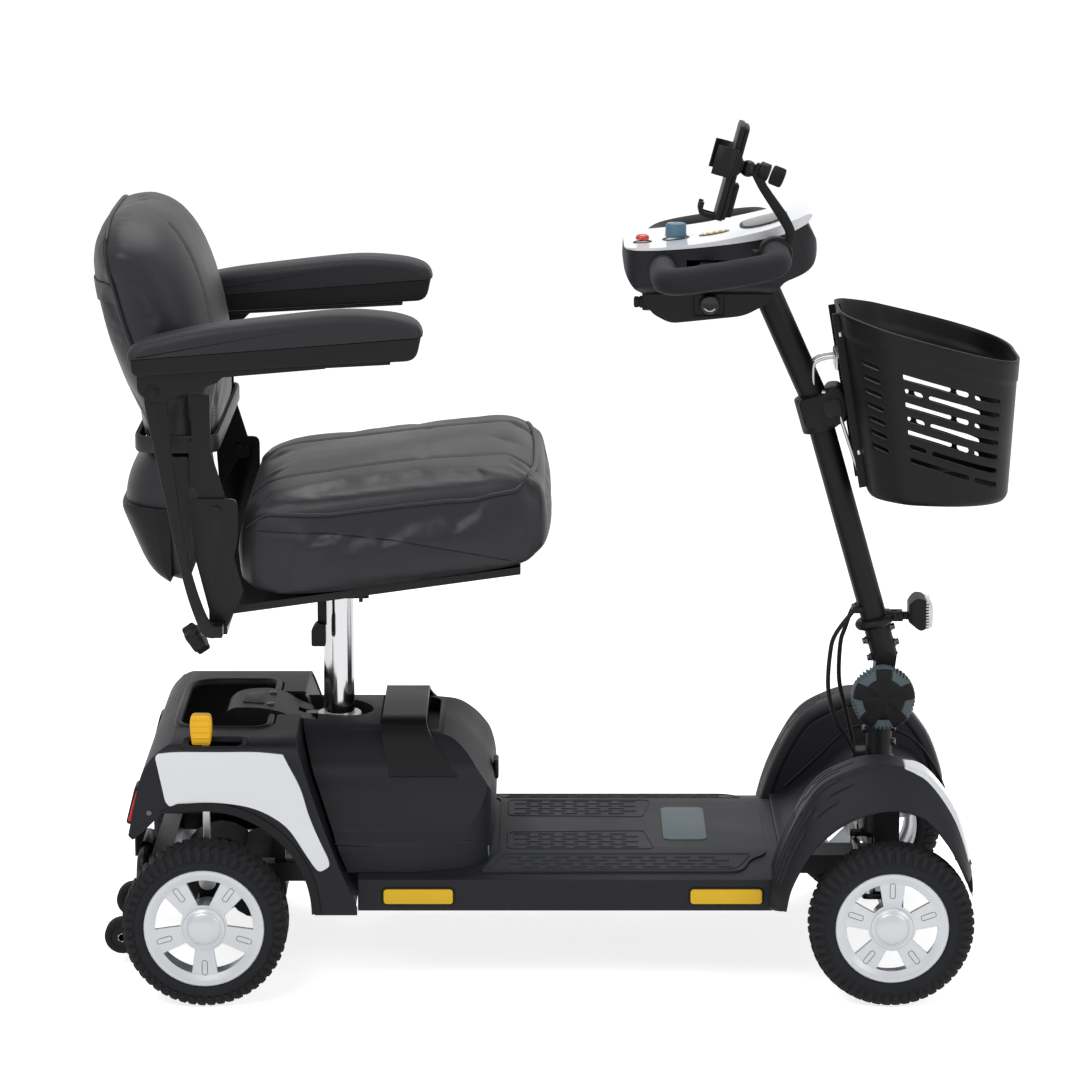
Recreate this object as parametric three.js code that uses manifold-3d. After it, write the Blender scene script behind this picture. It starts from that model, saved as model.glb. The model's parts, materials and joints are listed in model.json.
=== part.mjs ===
// Four-wheeled mobility scooter with a lift-off battery box, a swivelling seat with flip-up arms,
// a tilting tiller, a basket and a phone holder.
// Millimetres. +X is the way the scooter drives, +Y is the rider's left, +Z is up, the floor is z = 0.
import * as THREE from 'three';
import { mergeVertices } from 'three/addons/utils/BufferGeometryUtils.js';
import Module from 'manifold-3d';

const wasm = await Module();
wasm.setup();

// ---- Driving dimensions -------------------------------------------------------------------------
const GAP = 0.3; // between pieces that touch
const RUNNING = 0.5; // round a shaft, bar or pin that moves
const WHEEL_RADIUS = 108;
const WHEELBASE = 893;
const HALF_WIDTH = 270; // to the outer face of the tyres
const REAR_TYRE_WIDTH = 76;
const FRONT_TYRE_WIDTH = 60;
const REAR_RIM_RADIUS = 79.7;
const FRONT_RIM_RADIUS = 74.9;
const AXLE_RADIUS = 8;
const KINGPIN_RADIUS = 7;
const STEER_ARM = 30;
const DECK_HALF_WIDTH = 204;
const DECK_SKIRT = 42;
const DECK_WALL = 5;
const MAT_THICKNESS = 2.5;
const BEAM_HALF_WIDTH = 30;
const SHROUD_WALL = 4;
const SHROUD_HALF_WIDTH = 226;
const SHROUD_HEIGHT = 173; // above the deck
const BATTERY_HEIGHT = 163; // above the deck
const HANDLE_BAND = 6;
const POST_RADIUS = 20.5;
const POST_WALL = 4.5; // of the post tube, with the post's running clearance
const POST_TUBE_RADIUS = POST_RADIUS + POST_WALL;
const COLLAR_RADIUS = POST_TUBE_RADIUS + POST_WALL;
const STEM_RADIUS = 17;
const TILLER_RADIUS = 17;
const TILT_KNOB_RADIUS = 43;
const SEAT_HEIGHT = 506; // top of the seat post
const SEAT_HALF_WIDTH = 226;
const BACK_HALF_WIDTH = 200;
const BACK_PLATE = 5;
const CUSHION_FOOT = 91; // underside of the back cushion above the back's hinge
const ARM_SPACING = 244; // from the middle to the middle of an arm pad
const PAD_WIDTH = 56;
const ARM_BAR = 15; // square bar that slides in the receiver
const RECEIVER_WALL = 3;
const BASKET_WALL = 3.5;
const BASKET_HALF_WIDTH = 135;
const CONSOLE_HALF_WIDTH = 98;
const LOOP_HALF_WIDTH = 230;
const LOOP_RADIUS = 17.5;
const CABLE_RADIUS = 3;

// ---- Places worked out from them ----------------------------------------------------------------
const AXLE_Z = WHEEL_RADIUS;
const REAR_X = -436;
const FRONT_X = REAR_X + WHEELBASE;
const DECK_REAR = REAR_X + WHEEL_RADIUS + 89;
const DECK_FRONT = FRONT_X - WHEEL_RADIUS - 31;
const DECK_TOP = AXLE_Z + 62;
const POST_X = DECK_REAR - 31;
const BEAM_Z = [AXLE_Z + 4, AXLE_Z + 29.5];
const REAR_RAIL_Z = [AXLE_Z + 25, AXLE_Z + 50];
const REAR_WHEEL_Y = HALF_WIDTH - REAR_TYRE_WIDTH / 2;
const FRONT_WHEEL_Y = HALF_WIDTH - FRONT_TYRE_WIDTH / 2;
const KINGPIN_Y = FRONT_WHEEL_Y - 14;
const TILT = { x: FRONT_X + 1, z: DECK_TOP + 192 };
const TILLER_LEAN = THREE.MathUtils.degToRad(16);
const TILLER_FOOT = new THREE.Vector3(TILT.x + 5, 0, TILT.z + 46);
const TILLER_BEND = alongTiller(374);
const TILLER_HEAD = TILLER_BEND.clone().add(new THREE.Vector3(-66, 0, 146)); // inside the console
const HINGE = { x: POST_X - 145, z: SEAT_HEIGHT + 145 };
const ARM_PIVOT = { x: POST_X - 219, z: SEAT_HEIGHT + 307 };
const RECEIVER = { x: POST_X - 144, z: SEAT_HEIGHT - 6, half: ARM_BAR / 2 + RUNNING + RECEIVER_WALL };
const PLATE_Y = BACK_HALF_WIDTH + 12; // inner face of the seat's hinge plates
const CONSOLE = { x: TILLER_HEAD.x - 57, z: TILLER_HEAD.z + 29 };

function alongTiller(distance) {
  const along = new THREE.Vector3(-Math.sin(TILLER_LEAN), 0, Math.cos(TILLER_LEAN));
  return TILLER_FOOT.clone().addScaledVector(along, distance);
}

// ---- Looks --------------------------------------------------------------------------------------
const LOOKS = {
  tyre: { color: 0x1b1b1c, roughness: 0.85, metalness: 0 },
  rim: { color: 0xc9ccd0, roughness: 0.3, metalness: 0.7 },
  frame: { color: 0x17181b, roughness: 0.35, metalness: 0.4 },
  steel: { color: 0xb4b6ba, roughness: 0.25, metalness: 0.9 },
  body: { color: 0x26272b, roughness: 0.5, metalness: 0 },
  mat: { color: 0x2f3032, roughness: 0.8, metalness: 0 },
  vinyl: { color: 0x2a2b2e, roughness: 0.55, metalness: 0 },
  white: { color: 0xf3f4f6, roughness: 0.2, metalness: 0 },
  yellow: { color: 0xf4b400, roughness: 0.5, metalness: 0 },
  red: { color: 0xd3221d, roughness: 0.3, metalness: 0 },
  blue: { color: 0x4f7287, roughness: 0.5, metalness: 0 },
  lens: { color: 0xdfe3e6, roughness: 0.1, metalness: 0 },
  black: { color: 0x151517, roughness: 0.6, metalness: 0 },
};
const materials = Object.fromEntries(Object.entries(LOOKS).map(makeMaterial));

function makeMaterial([name, look]) {
  return [name, new THREE.MeshStandardMaterial({ name, ...look })];
}

const group = new THREE.Group();

function add(name, look, body) {
  const mesh = new THREE.Mesh(geometryOf(body), materials[look]);
  mesh.name = name;
  group.add(mesh);
}

// ---- Solids -------------------------------------------------------------------------------------
function solid(geometry) {
  geometry.deleteAttribute('normal');
  geometry.deleteAttribute('uv');
  const merged = mergeVertices(geometry, 1e-4);
  const vertProperties = new Float32Array(merged.attributes.position.array);
  const triVerts = new Uint32Array(merged.index.array);
  return new wasm.Manifold(new wasm.Mesh({ numProp: 3, vertProperties, triVerts }));
}

function geometryOf(body) {
  const { vertProperties, triVerts } = body.getMesh();
  const geometry = new THREE.BufferGeometry();
  geometry.setAttribute('position', new THREE.BufferAttribute(vertProperties, 3));
  geometry.setIndex(new THREE.BufferAttribute(triVerts, 1));
  return geometry;
}

function join(...bodies) {
  return bodies.reduce((whole, body) => whole.add(body));
}

function cut(body, ...tools) {
  return tools.reduce((rest, tool) => rest.subtract(tool), body);
}

function both(make) {
  return join(make(1), make(-1));
}

function box(x0, x1, y0, y1, z0, z1) {
  const geometry = new THREE.BoxGeometry(x1 - x0, Math.abs(y1 - y0), z1 - z0);
  return solid(geometry.translate((x0 + x1) / 2, (y0 + y1) / 2, (z0 + z1) / 2));
}

function rod(from, to, radius, sides = 12) {
  const direction = to.clone().sub(from);
  const geometry = new THREE.CylinderGeometry(radius, radius, direction.length(), sides);
  const turn = new THREE.Quaternion().setFromUnitVectors(new THREE.Vector3(0, 1, 0), direction.normalize());
  const middle = from.clone().add(to).multiplyScalar(0.5);
  return solid(geometry.applyQuaternion(turn).translate(middle.x, middle.y, middle.z));
}

const point = (x, y, z) => new THREE.Vector3(x, y, z);
const rodX = (x0, x1, y, z, radius, sides) => rod(point(x0, y, z), point(x1, y, z), radius, sides);
const rodY = (y0, y1, x, z, radius, sides) => rod(point(x, y0, z), point(x, y1, z), radius, sides);
const rodZ = (z0, z1, x, y, radius, sides) => rod(point(x, y, z0), point(x, y, z1), radius, sides);

// An outline of [a, b] corners; a third number rounds that corner.
function outline(corners, originA = 0, originB = 0) {
  const shape = new THREE.Shape();
  corners.forEach(([a, b, radius], index) => {
    const corner = new THREE.Vector2(a + originA, b + originB);
    if (!radius) {
      if (index === 0) shape.moveTo(corner.x, corner.y);
      else shape.lineTo(corner.x, corner.y);
      return;
    }
    const before = corners.at(index - 1);
    const after = corners[(index + 1) % corners.length];
    const start = towards(corner, before[0] + originA, before[1] + originB, radius);
    const end = towards(corner, after[0] + originA, after[1] + originB, radius);
    if (index === 0) shape.moveTo(start.x, start.y);
    else shape.lineTo(start.x, start.y);
    shape.quadraticCurveTo(corner.x, corner.y, end.x, end.y);
  });
  return shape;
}

function towards(corner, a, b, distance) {
  const step = new THREE.Vector2(a, b).sub(corner);
  const reach = step.length();
  return corner.clone().addScaledVector(step.normalize(), Math.min(distance, reach * 0.48));
}

function extrude(shape, depth, steps = 3) {
  return new THREE.ExtrudeGeometry(shape, { depth, bevelEnabled: false, curveSegments: steps });
}

// An (x, z) outline carried from y0 to y1.
function sideways(shape, y0, y1, steps) {
  const low = Math.min(y0, y1);
  const high = Math.max(y0, y1);
  return solid(extrude(shape, high - low, steps).rotateX(Math.PI / 2).translate(0, high, 0));
}

// An (x, y) outline carried from z0 to z1.
function upward(shape, z0, z1, steps) {
  return solid(extrude(shape, z1 - z0, steps).translate(0, 0, z0));
}

// A (y, z) outline carried from x0 to x1.
function forward(shape, x0, x1, steps) {
  const turn = new THREE.Matrix4().makeBasis(point(0, 1, 0), point(0, 0, 1), point(1, 0, 0));
  return solid(extrude(shape, x1 - x0, steps).applyMatrix4(turn).translate(x0, 0, 0));
}

// Mirrors half an outline, given from the middle outwards, into a whole one.
function mirrored(half) {
  const other = half.filter(([a]) => a !== 0).map(([a, b, radius]) => [-a, b, radius]);
  return [...half, ...other.reverse()];
}

// A round tube along a curve, or along a smooth path through a list of points.
function tube(route, radius, sides = 10, steps = 12) {
  const path = Array.isArray(route) ? new THREE.CatmullRomCurve3(route) : route;
  const section = new THREE.Shape().absarc(0, 0, radius, 0, Math.PI * 2);
  const options = { steps, extrudePath: path, curveSegments: sides / 2, bevelEnabled: false };
  return solid(new THREE.ExtrudeGeometry(section, options));
}

// A turned piece round a sideways axle: profile points are [radius, y], in either direction.
function turned(profile, x, z, sides) {
  const points = profile.map(([radius, y]) => new THREE.Vector2(radius, y));
  if (THREE.ShapeUtils.area(points) < 0) points.reverse();
  const geometry = new THREE.LatheGeometry(points, sides).rotateY(Math.PI / sides);
  return solid(geometry.translate(x, 0, z));
}

// A closed skin through rings of equally many points, closed at both ends.
function loft(rings) {
  const count = rings[0].length;
  const places = [];
  const faces = [];
  rings.forEach((ring) => ring.forEach((place) => places.push(place.x, place.y, place.z)));
  for (let row = 0; row < rings.length - 1; row += 1) {
    for (let side = 0; side < count; side += 1) {
      const a = row * count + side;
      const b = row * count + ((side + 1) % count);
      faces.push(a, b, b + count, a, b + count, a + count);
    }
  }
  const capEnds = [[0, true], [rings.length - 1, false]];
  capEnds.forEach(([row, reversed]) => {
    const middle = new THREE.Vector3();
    rings[row].forEach((place) => middle.addScaledVector(place, 1 / count));
    const centre = places.length / 3;
    places.push(middle.x, middle.y, middle.z);
    for (let side = 0; side < count; side += 1) {
      const a = row * count + side;
      const b = row * count + ((side + 1) % count);
      faces.push(...(reversed ? [centre, b, a] : [centre, a, b]));
    }
  });
  if (signedVolume(places, faces) < 0) faces.reverse();
  const geometry = new THREE.BufferGeometry();
  geometry.setAttribute('position', new THREE.Float32BufferAttribute(places, 3));
  geometry.setIndex(faces);
  return solid(geometry);
}

function signedVolume(places, faces) {
  const corner = (index) => new THREE.Vector3().fromArray(places, index * 3);
  let volume = 0;
  for (let face = 0; face < faces.length; face += 3) {
    const [a, b, c] = faces.slice(face, face + 3).map(corner);
    volume += a.dot(b.cross(c)) / 6;
  }
  return volume;
}

// ---- Wheels -------------------------------------------------------------------------------------
const WHEEL_SIDES = 24;

function tyre(x, y, width, rimRadius) {
  const sides = WHEEL_SIDES;
  const outer = WHEEL_RADIUS / Math.cos(Math.PI / sides);
  const half = width / 2;
  const profile = [
    [rimRadius + GAP, -half + 7],
    [rimRadius + 9, -half],
    [outer - 15, -half],
    [outer, -half + 16],
    [outer, half - 16],
    [outer - 15, half],
    [rimRadius + 9, half],
    [rimRadius + GAP, half - 7],
    [rimRadius + GAP, -half + 7],
  ];
  return turned(profile.map(([radius, across]) => [radius, across + y]), x, AXLE_Z, sides);
}

// The hub's bore is open on the inner side only.
function rim(side, x, width, radius, hubLength) {
  const sides = WHEEL_SIDES;
  const outside = HALF_WIDTH - 4;
  const inside = HALF_WIDTH - width + 4;
  const edge = radius * Math.cos(Math.PI / sides);
  const profile = [
    [0, outside],
    [22, outside],
    [25, outside - 4],
    [edge - 14, outside - 8],
    [edge, outside - 1],
    [edge, inside],
    [edge - 5, inside],
    [edge - 8, outside - 18],
    [24, outside - 16],
    [20, outside - hubLength],
    [AXLE_RADIUS + RUNNING, outside - hubLength],
    [AXLE_RADIUS + RUNNING, outside - 6],
    [0, outside - 6],
  ];
  const wheel = turned(profile.map(([r, y]) => [r, y * side]), x, AXLE_Z, sides);
  const windows = [];
  for (let spoke = 0; spoke < 5; spoke += 1) {
    const middle = Math.PI * (0.5 + 0.4 * spoke + 0.2) + (x < 0 ? Math.PI : 0);
    windows.push(spokeWindow(x, middle, edge - 13));
  }
  return cut(wheel, ...windows);
}

function spokeWindow(x, middle, reach) {
  const corners = [[30, -0.3], [reach, -0.4], [reach + 3, 0], [reach, 0.4], [30, 0.3]];
  const places = corners.map(([radius, turn]) => {
    const angle = middle + turn;
    return [x + radius * Math.cos(angle), AXLE_Z + radius * Math.sin(angle)];
  });
  return sideways(outline(places), -HALF_WIDTH - 5, HALF_WIDTH + 5);
}

function addWheels() {
  const names = { 1: 'left', [-1]: 'right' };
  [1, -1].forEach((side) => {
    add(`rear_tyre_${names[side]}`, 'tyre',
      tyre(REAR_X, REAR_WHEEL_Y * side, REAR_TYRE_WIDTH, REAR_RIM_RADIUS));
    add(`rear_rim_${names[side]}`, 'rim', rim(side, REAR_X, REAR_TYRE_WIDTH, REAR_RIM_RADIUS, 60));
    add(`front_tyre_${names[side]}`, 'tyre',
      tyre(FRONT_X, FRONT_WHEEL_Y * side, FRONT_TYRE_WIDTH, FRONT_RIM_RADIUS));
    add(`front_rim_${names[side]}`, 'rim', rim(side, FRONT_X, FRONT_TYRE_WIDTH, FRONT_RIM_RADIUS, 16));
  });
}

// ---- Chassis ------------------------------------------------------------------------------------
const REAR_RISER_X = REAR_X + 91;
const HEAD_TUBE_TOP = DECK_TOP + 76;
const FREEWHEEL = { x: REAR_X, z: AXLE_Z + 42 };
const PADDLE = { x: POST_X - POST_TUBE_RADIUS - 12, z: DECK_TOP + 152 };

function rearFrame() {
  const rail = (side) => box(REAR_X - 82, DECK_REAR - GAP, 110 * side, 135 * side, ...REAR_RAIL_Z);
  const tail = box(REAR_X - 82, REAR_X - 57, -135, 135, ...REAR_RAIL_Z);
  const beamHalf = POST_TUBE_RADIUS + 5;
  const beamFront = Math.min(POST_X + beamHalf, DECK_REAR - GAP);
  const seatBeam = box(POST_X - beamHalf, beamFront, -135, 135, ...REAR_RAIL_Z);
  const riser = (side) => box(REAR_RISER_X - 7, REAR_RISER_X + 7, 110 * side, 124 * side, REAR_RAIL_Z[0],
    shroudUnder(124) - GAP);
  const postTube = rodZ(REAR_RAIL_Z[0], DECK_TOP + 133, POST_X, 0, POST_TUBE_RADIUS, 16);
  const ear = box(PADDLE.x - 8, PADDLE.x + 19, -9, 9, DECK_TOP + 110, PADDLE.z + 8);
  const bore = rodZ(REAR_RAIL_Z[0] + 4, PADDLE.z + 20, POST_X, 0, POST_RADIUS + RUNNING, 16);
  const collarRoom = rodZ(DECK_TOP + 133, PADDLE.z + 20, POST_X, 0, COLLAR_RADIUS + GAP, 16);
  const pinHole = rodY(-20, 20, PADDLE.x, PADDLE.z, 4 + RUNNING);
  const antiTipStub = rodX(REAR_X - 104, REAR_X - 70, 0, AXLE_Z + 37.5, 9);
  const whole = join(both(rail), tail, seatBeam, both(riser), postTube, ear, antiTipStub);
  return cut(whole, bore, collarRoom, pinHole);
}

function frontFrame() {
  const beam = box(DECK_REAR, FRONT_X, -BEAM_HALF_WIDTH, BEAM_HALF_WIDTH, ...BEAM_Z);
  const rearBar = box(DECK_REAR, DECK_REAR + 31, -118, 118, BEAM_Z[0], DECK_TOP - DECK_WALL - GAP);
  const pads = [DECK_REAR + 160, DECK_FRONT - 90].map((x) => (
    box(x, x + 40, -BEAM_HALF_WIDTH, BEAM_HALF_WIDTH, BEAM_Z[1] - 5, DECK_TOP - DECK_WALL - GAP)));
  const cross = box(FRONT_X - 10, FRONT_X + 17, -KINGPIN_Y, KINGPIN_Y, ...BEAM_Z);
  const gusset = (side) => box(FRONT_X - 6, FRONT_X + 28, 17 * side, 25 * side, BEAM_Z[0], HEAD_TUBE_TOP);
  const headTube = rodZ(AXLE_Z + 58, HEAD_TUBE_TOP, FRONT_X, 0, 23, 16);
  const headBore = rodZ(AXLE_Z + 40, NUT_TOP, FRONT_X, 0, STEM_RADIUS + RUNNING, 16);
  const sleeve = (side) => rodZ(AXLE_Z - 14, BEAM_Z[1], FRONT_X, KINGPIN_Y * side, 12);
  const kingpinBore = (side) => rodZ(0, DECK_TOP, FRONT_X, KINGPIN_Y * side, KINGPIN_RADIUS + RUNNING);
  const whole = join(beam, rearBar, ...pads, cross, both(gusset), headTube, both(sleeve));
  return cut(whole, headBore, both(kingpinBore));
}

function transaxle() {
  const axle = rodY(-HALF_WIDTH + 14, HALF_WIDTH - 14, REAR_X, AXLE_Z, AXLE_RADIUS);
  const housing = rodY(-182, 182, REAR_X, AXLE_Z, 19, 16);
  const gearbox = rodY(-20, 62, REAR_X, AXLE_Z, 52, 18);
  const motor = rodY(-98, 60, REAR_X + 58, AXLE_Z + 3, 40, 18);
  const saddle = (side) => box(REAR_X - 18, REAR_X + 18, 112 * side, 133 * side, AXLE_Z, REAR_RAIL_Z[0] - GAP);
  const frameSpace = box(REAR_X - 60, DECK_REAR, 105, 140, REAR_RAIL_Z[0] - GAP, DECK_TOP);
  const leverPost = box(FREEWHEEL.x - 12, FREEWHEEL.x + 12, -180, -170, AXLE_Z, FREEWHEEL.z + 10);
  const leverPin = rodY(-194, -170, FREEWHEEL.x, FREEWHEEL.z, 4);
  return cut(join(axle, housing, gearbox, motor, both(saddle), leverPost, leverPin), frameSpace);
}

function crown(offset) {
  return [[0, offset], [120, offset], [192, offset - 11], [DECK_HALF_WIDTH + offset, offset - 15]];
}

function footDeck() {
  const top = crown(0);
  const under = crown(-DECK_WALL).reverse();
  const skirt = [[DECK_HALF_WIDTH, -15 - DECK_SKIRT], [DECK_HALF_WIDTH - DECK_WALL, -15 - DECK_SKIRT]];
  const half = [...top, ...skirt, ...under];
  const shell = forward(outline([...half, ...mirrorTail(half)], 0, DECK_TOP), DECK_REAR + GAP, DECK_FRONT);
  return cut(shell, both(sideCorner));
}

function mirrorTail(half) {
  return half.filter(([a]) => a !== 0).map(([a, b]) => [-a, b]).reverse();
}

function sideCorner(side) {
  const corners = [[DECK_FRONT - 26, DECK_HALF_WIDTH + 9], [DECK_FRONT + 9, DECK_HALF_WIDTH - 26],
    [DECK_FRONT + 9, DECK_HALF_WIDTH + 9]];
  return upward(outline(corners.map(([x, y]) => [x, y * side])), 0, DECK_TOP + 9);
}

function deckMat() {
  const top = crown(GAP + MAT_THICKNESS);
  const under = crown(GAP).reverse();
  const half = [...top, ...under];
  const front = DECK_FRONT - 18;
  const sheet = forward(outline([...half, ...mirrorTail(half)], 0, DECK_TOP), DECK_REAR + 150, front);
  const corners = [[DECK_REAR + 185, 0], [DECK_REAR + 185, 128, 10], [DECK_REAR + 168, 170, 10],
    [DECK_REAR + 160, 186, 6], [front - 34, 186, 12], [front - 22, 150, 8], [front, 134, 8]];
  const mirroredCorners = corners.slice(1).map(([x, y, radius]) => [x, -y, radius]).reverse();
  return sheet.intersect(upward(outline([...corners, ...mirroredCorners]), 0, DECK_TOP + 20));
}

// ---- Rear shroud and battery box ----------------------------------------------------------------
// Both are drawn from the rear top edge of the deck: [forward, up].
const ROOF_FALL = 2; // the roof drops this much by its side edges
const shroudUnder = (y) => DECK_TOP + SHROUD_HEIGHT - SHROUD_WALL - ROOF_FALL * (y / 178);

const SEAM = [[-81, SHROUD_HEIGHT], [-61, 113], [-23, 8], [0, -46]];

function wheelArch() {
  const places = [];
  const reach = WHEEL_RADIUS + 34;
  const rise = 150;
  for (let step = 0; step <= 6; step += 1) {
    const angle = (Math.PI / 2) * (step / 6);
    places.push([REAR_X + reach * Math.cos(angle) - DECK_REAR,
      AXLE_Z + 6 + (rise - 6) * Math.sin(angle) - DECK_TOP]);
  }
  return places;
}

function rearShroud() {
  const side = [...SEAM, [0, -56], ...wheelArch(), [-255, 80], [-272, 62], [-291, 46], [-297, 52],
    [-279, 140, 20], [-243, SHROUD_HEIGHT, 30]];
  const top = SHROUD_HEIGHT;
  const half = [[0, top], [180, top - ROOF_FALL, 12], [208, top - 8, 12], [222, 90], [SHROUD_HALF_WIDTH, 60],
    [SHROUD_HALF_WIDTH, -60]];
  const wall = SHROUD_WALL;
  const innerHalf = [[0, top - wall], [178, top - wall - ROOF_FALL, 10], [204, top - wall - 7, 10], [218, 90],
    [SHROUD_HALF_WIDTH - wall, 60], [SHROUD_HALF_WIDTH - wall, -160]];
  const innerSide = [[40, top - wall], [-241, top - wall, 28], [-274, 138, 18], [-293, 52], [-293, -160],
    [40, -160]];
  const outerBody = sideways(outline(side, DECK_REAR, DECK_TOP), -300, 300)
    .intersect(forward(outline(mirrored(half), 0, DECK_TOP), REAR_X - 200, DECK_REAR + 10));
  const innerBody = sideways(outline(innerSide, DECK_REAR, DECK_TOP), -300, 300)
    .intersect(forward(outline(mirrored(innerHalf), 0, DECK_TOP), REAR_X - 200, DECK_REAR + 60));
  const apron = box(REAR_X - 99, REAR_X - 95, -150, 150, DECK_TOP + 2, DECK_TOP + 60);
  const slotX = [REAR_X - 22, REAR_X + 48];
  const leverSlot = upward(outline([[slotX[0], -198, 6], [slotX[1], -198, 6], [slotX[1], -182, 6],
    [slotX[0], -182, 6]]), DECK_TOP + 140, DECK_TOP + 190);
  const handHole = upward(outline([[REAR_X - 42, -128, 30], [REAR_X + 86, -128, 20], [REAR_X + 86, 128, 20],
    [REAR_X - 42, 128, 30]]), DECK_TOP + 150, DECK_TOP + 190);
  const paddleRoom = box(REAR_X + 80, POST_X, -62, 62, DECK_TOP + 100, DECK_TOP + 200);
  return cut(join(cut(outerBody, innerBody), apron), leverSlot, handHole, paddleRoom);
}

function releasePaddle() {
  const corners = [[-113, 18, 6], [-100, 27, 10], [-50, 27, 14], [-14, 10], [0, 7], [0, -7], [-30, -6],
    [-60, 6], [-96, 12], [-112, 12, 4]];
  const plate = sideways(outline(corners, PADDLE.x, PADDLE.z), -58, 58);
  const plan = outline([[-120, -46, 30], [-40, -58, 14], [0, -34], [0, 34], [-40, 58, 14], [-120, 46, 30]],
    PADDLE.x, 0);
  const barrel = rodY(-22, 22, PADDLE.x, PADDLE.z, 8);
  const earRoom = box(PADDLE.x - 18, PADDLE.x + 20, -9.6, 9.6, PADDLE.z - 30, PADDLE.z + 30);
  const pin = rodY(-22, 22, PADDLE.x, PADDLE.z, 4);
  const leaf = plate.intersect(upward(plan, PADDLE.z - 40, PADDLE.z + 40));
  return join(cut(join(leaf, barrel), earRoom), pin);
}

function batteryBox() {
  const top = BATTERY_HEIGHT;
  const lean = SEAM.map(([x, z]) => [x + 2, z]);
  const side = [[-78, top + 8], lean[1], lean[2], [-19, -12], [160, -12], [171, 0], [181, 36], [177, 91, 8],
    [135, top - 14, 16], [100, top - 5], [23, top]];
  const half = [[0, GAP], [120, GAP], [186, GAP - 10], [188, 26], [172, 43], [152, 94, 6], [148, 118],
    [95, top, 20], [0, top + 12]];
  const plan = [[-90, 200], [10, 200], [160, 168, 24], [181, 130, 24], [181, -130, 24], [160, -168, 24],
    [10, -200], [-90, -200]];
  const block = sideways(outline(side, DECK_REAR, DECK_TOP), -250, 250)
    .intersect(forward(outline(mirrored(half), 0, DECK_TOP), DECK_REAR - 200, DECK_REAR + 300))
    .intersect(upward(outline(plan, DECK_REAR, 0), 0, DECK_TOP + 300));
  const room = COLLAR_RADIUS + 16.5;
  const postRoom = rodZ(0, DECK_TOP + 300, POST_X, 0, room, 16);
  const postSlot = box(POST_X - 90, POST_X, -room, room, 0, DECK_TOP + 300);
  const fingerRoom = upward(outline([[26, -88, 14], [104, -88, 14], [104, 88, 14], [26, 88, 14]], DECK_REAR, 0),
    DECK_TOP + top - 22, DECK_TOP + 300);
  return join(cut(block, postRoom, postSlot, fingerRoom), batteryHandle());
}

function batteryHandle() {
  const top = BATTERY_HEIGHT + 19;
  const outer = [[0, top], [92, top, 12], [112, top - 18], [152, 112]];
  const inner = [[142, 112], [106, top - 22], [90, top - HANDLE_BAND, 10], [0, top - HANDLE_BAND]];
  const half = [...outer, ...inner];
  const band = forward(outline([...half, ...mirrorTail(half)], 0, DECK_TOP), DECK_REAR + 20, DECK_REAR + 140);
  const mask = [[30, top + 2], [87, top + 2], [130, 110], [44, 110], [28, top - 20]];
  return band.intersect(sideways(outline(mask, DECK_REAR, DECK_TOP), -200, 200));
}

// ---- Seat post and rear fittings ----------------------------------------------------------------
function postCollar() {
  const ring = rodZ(DECK_TOP + 133 + GAP, DECK_TOP + 160, POST_X, 0, COLLAR_RADIUS, 16);
  return cut(ring, rodZ(0, SEAT_HEIGHT, POST_X, 0, POST_RADIUS + RUNNING, 16));
}

function seatPost() {
  return rodZ(REAR_RAIL_Z[0] + 60, SEAT_HEIGHT, POST_X, 0, POST_RADIUS, 16);
}

function freewheelLever() {
  const hub = rodY(-194, -186, FREEWHEEL.x, FREEWHEEL.z, 11);
  const stem = box(FREEWHEEL.x - 4, FREEWHEEL.x + 4, -192.5, -187.5, FREEWHEEL.z, DECK_TOP + 170);
  const corners = [[-13, 166, 3], [11, 166, 3], [13, 198], [11, 206, 4], [-13, 206, 4], [-15, 198]];
  const grip = sideways(outline(corners, FREEWHEEL.x - 4, DECK_TOP), -197, -183);
  return cut(join(hub, stem, grip), rodY(-200, -180, FREEWHEEL.x, FREEWHEEL.z, 4 + RUNNING));
}

const ANTI_TIP = { x: REAR_X - 124, y: 62, z: 42, radius: 24 };

function antiTipArm() {
  const leg = (side) => tube([
    point(REAR_X - 96, 26 * side, AXLE_Z + 37),
    point(REAR_X - 98, 52 * side, AXLE_Z + 30),
    point(REAR_X - 100, ANTI_TIP.y * side, AXLE_Z - 12),
    point(ANTI_TIP.x, ANTI_TIP.y * side, ANTI_TIP.z)], 8, 8, 8);
  const bar = rodY(-31, 31, REAR_X - 97, AXLE_Z + 37, 13);
  const axle = rodY(-ANTI_TIP.y - 34, ANTI_TIP.y + 34, ANTI_TIP.x, ANTI_TIP.z, 5);
  return cut(join(both(leg), bar, axle), rodX(REAR_X - 125, REAR_X - 50, 0, AXLE_Z + 37.5, 9 + GAP));
}

function antiTipWheel(side) {
  const width = 22;
  const inner = ANTI_TIP.y + 9;
  const disc = rodY(inner * side, (inner + width) * side, ANTI_TIP.x, ANTI_TIP.z, ANTI_TIP.radius, 16);
  return cut(disc, rodY((inner - 1) * side, (inner + width + 1) * side, ANTI_TIP.x, ANTI_TIP.z, 5 + RUNNING));
}

// ---- Front end ----------------------------------------------------------------------------------
const NUT_TOP = DECK_TOP + 96;
const CLIP_HEIGHT = 70; // along the tiller
const ARM_TOP = AXLE_Z + 37;

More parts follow.
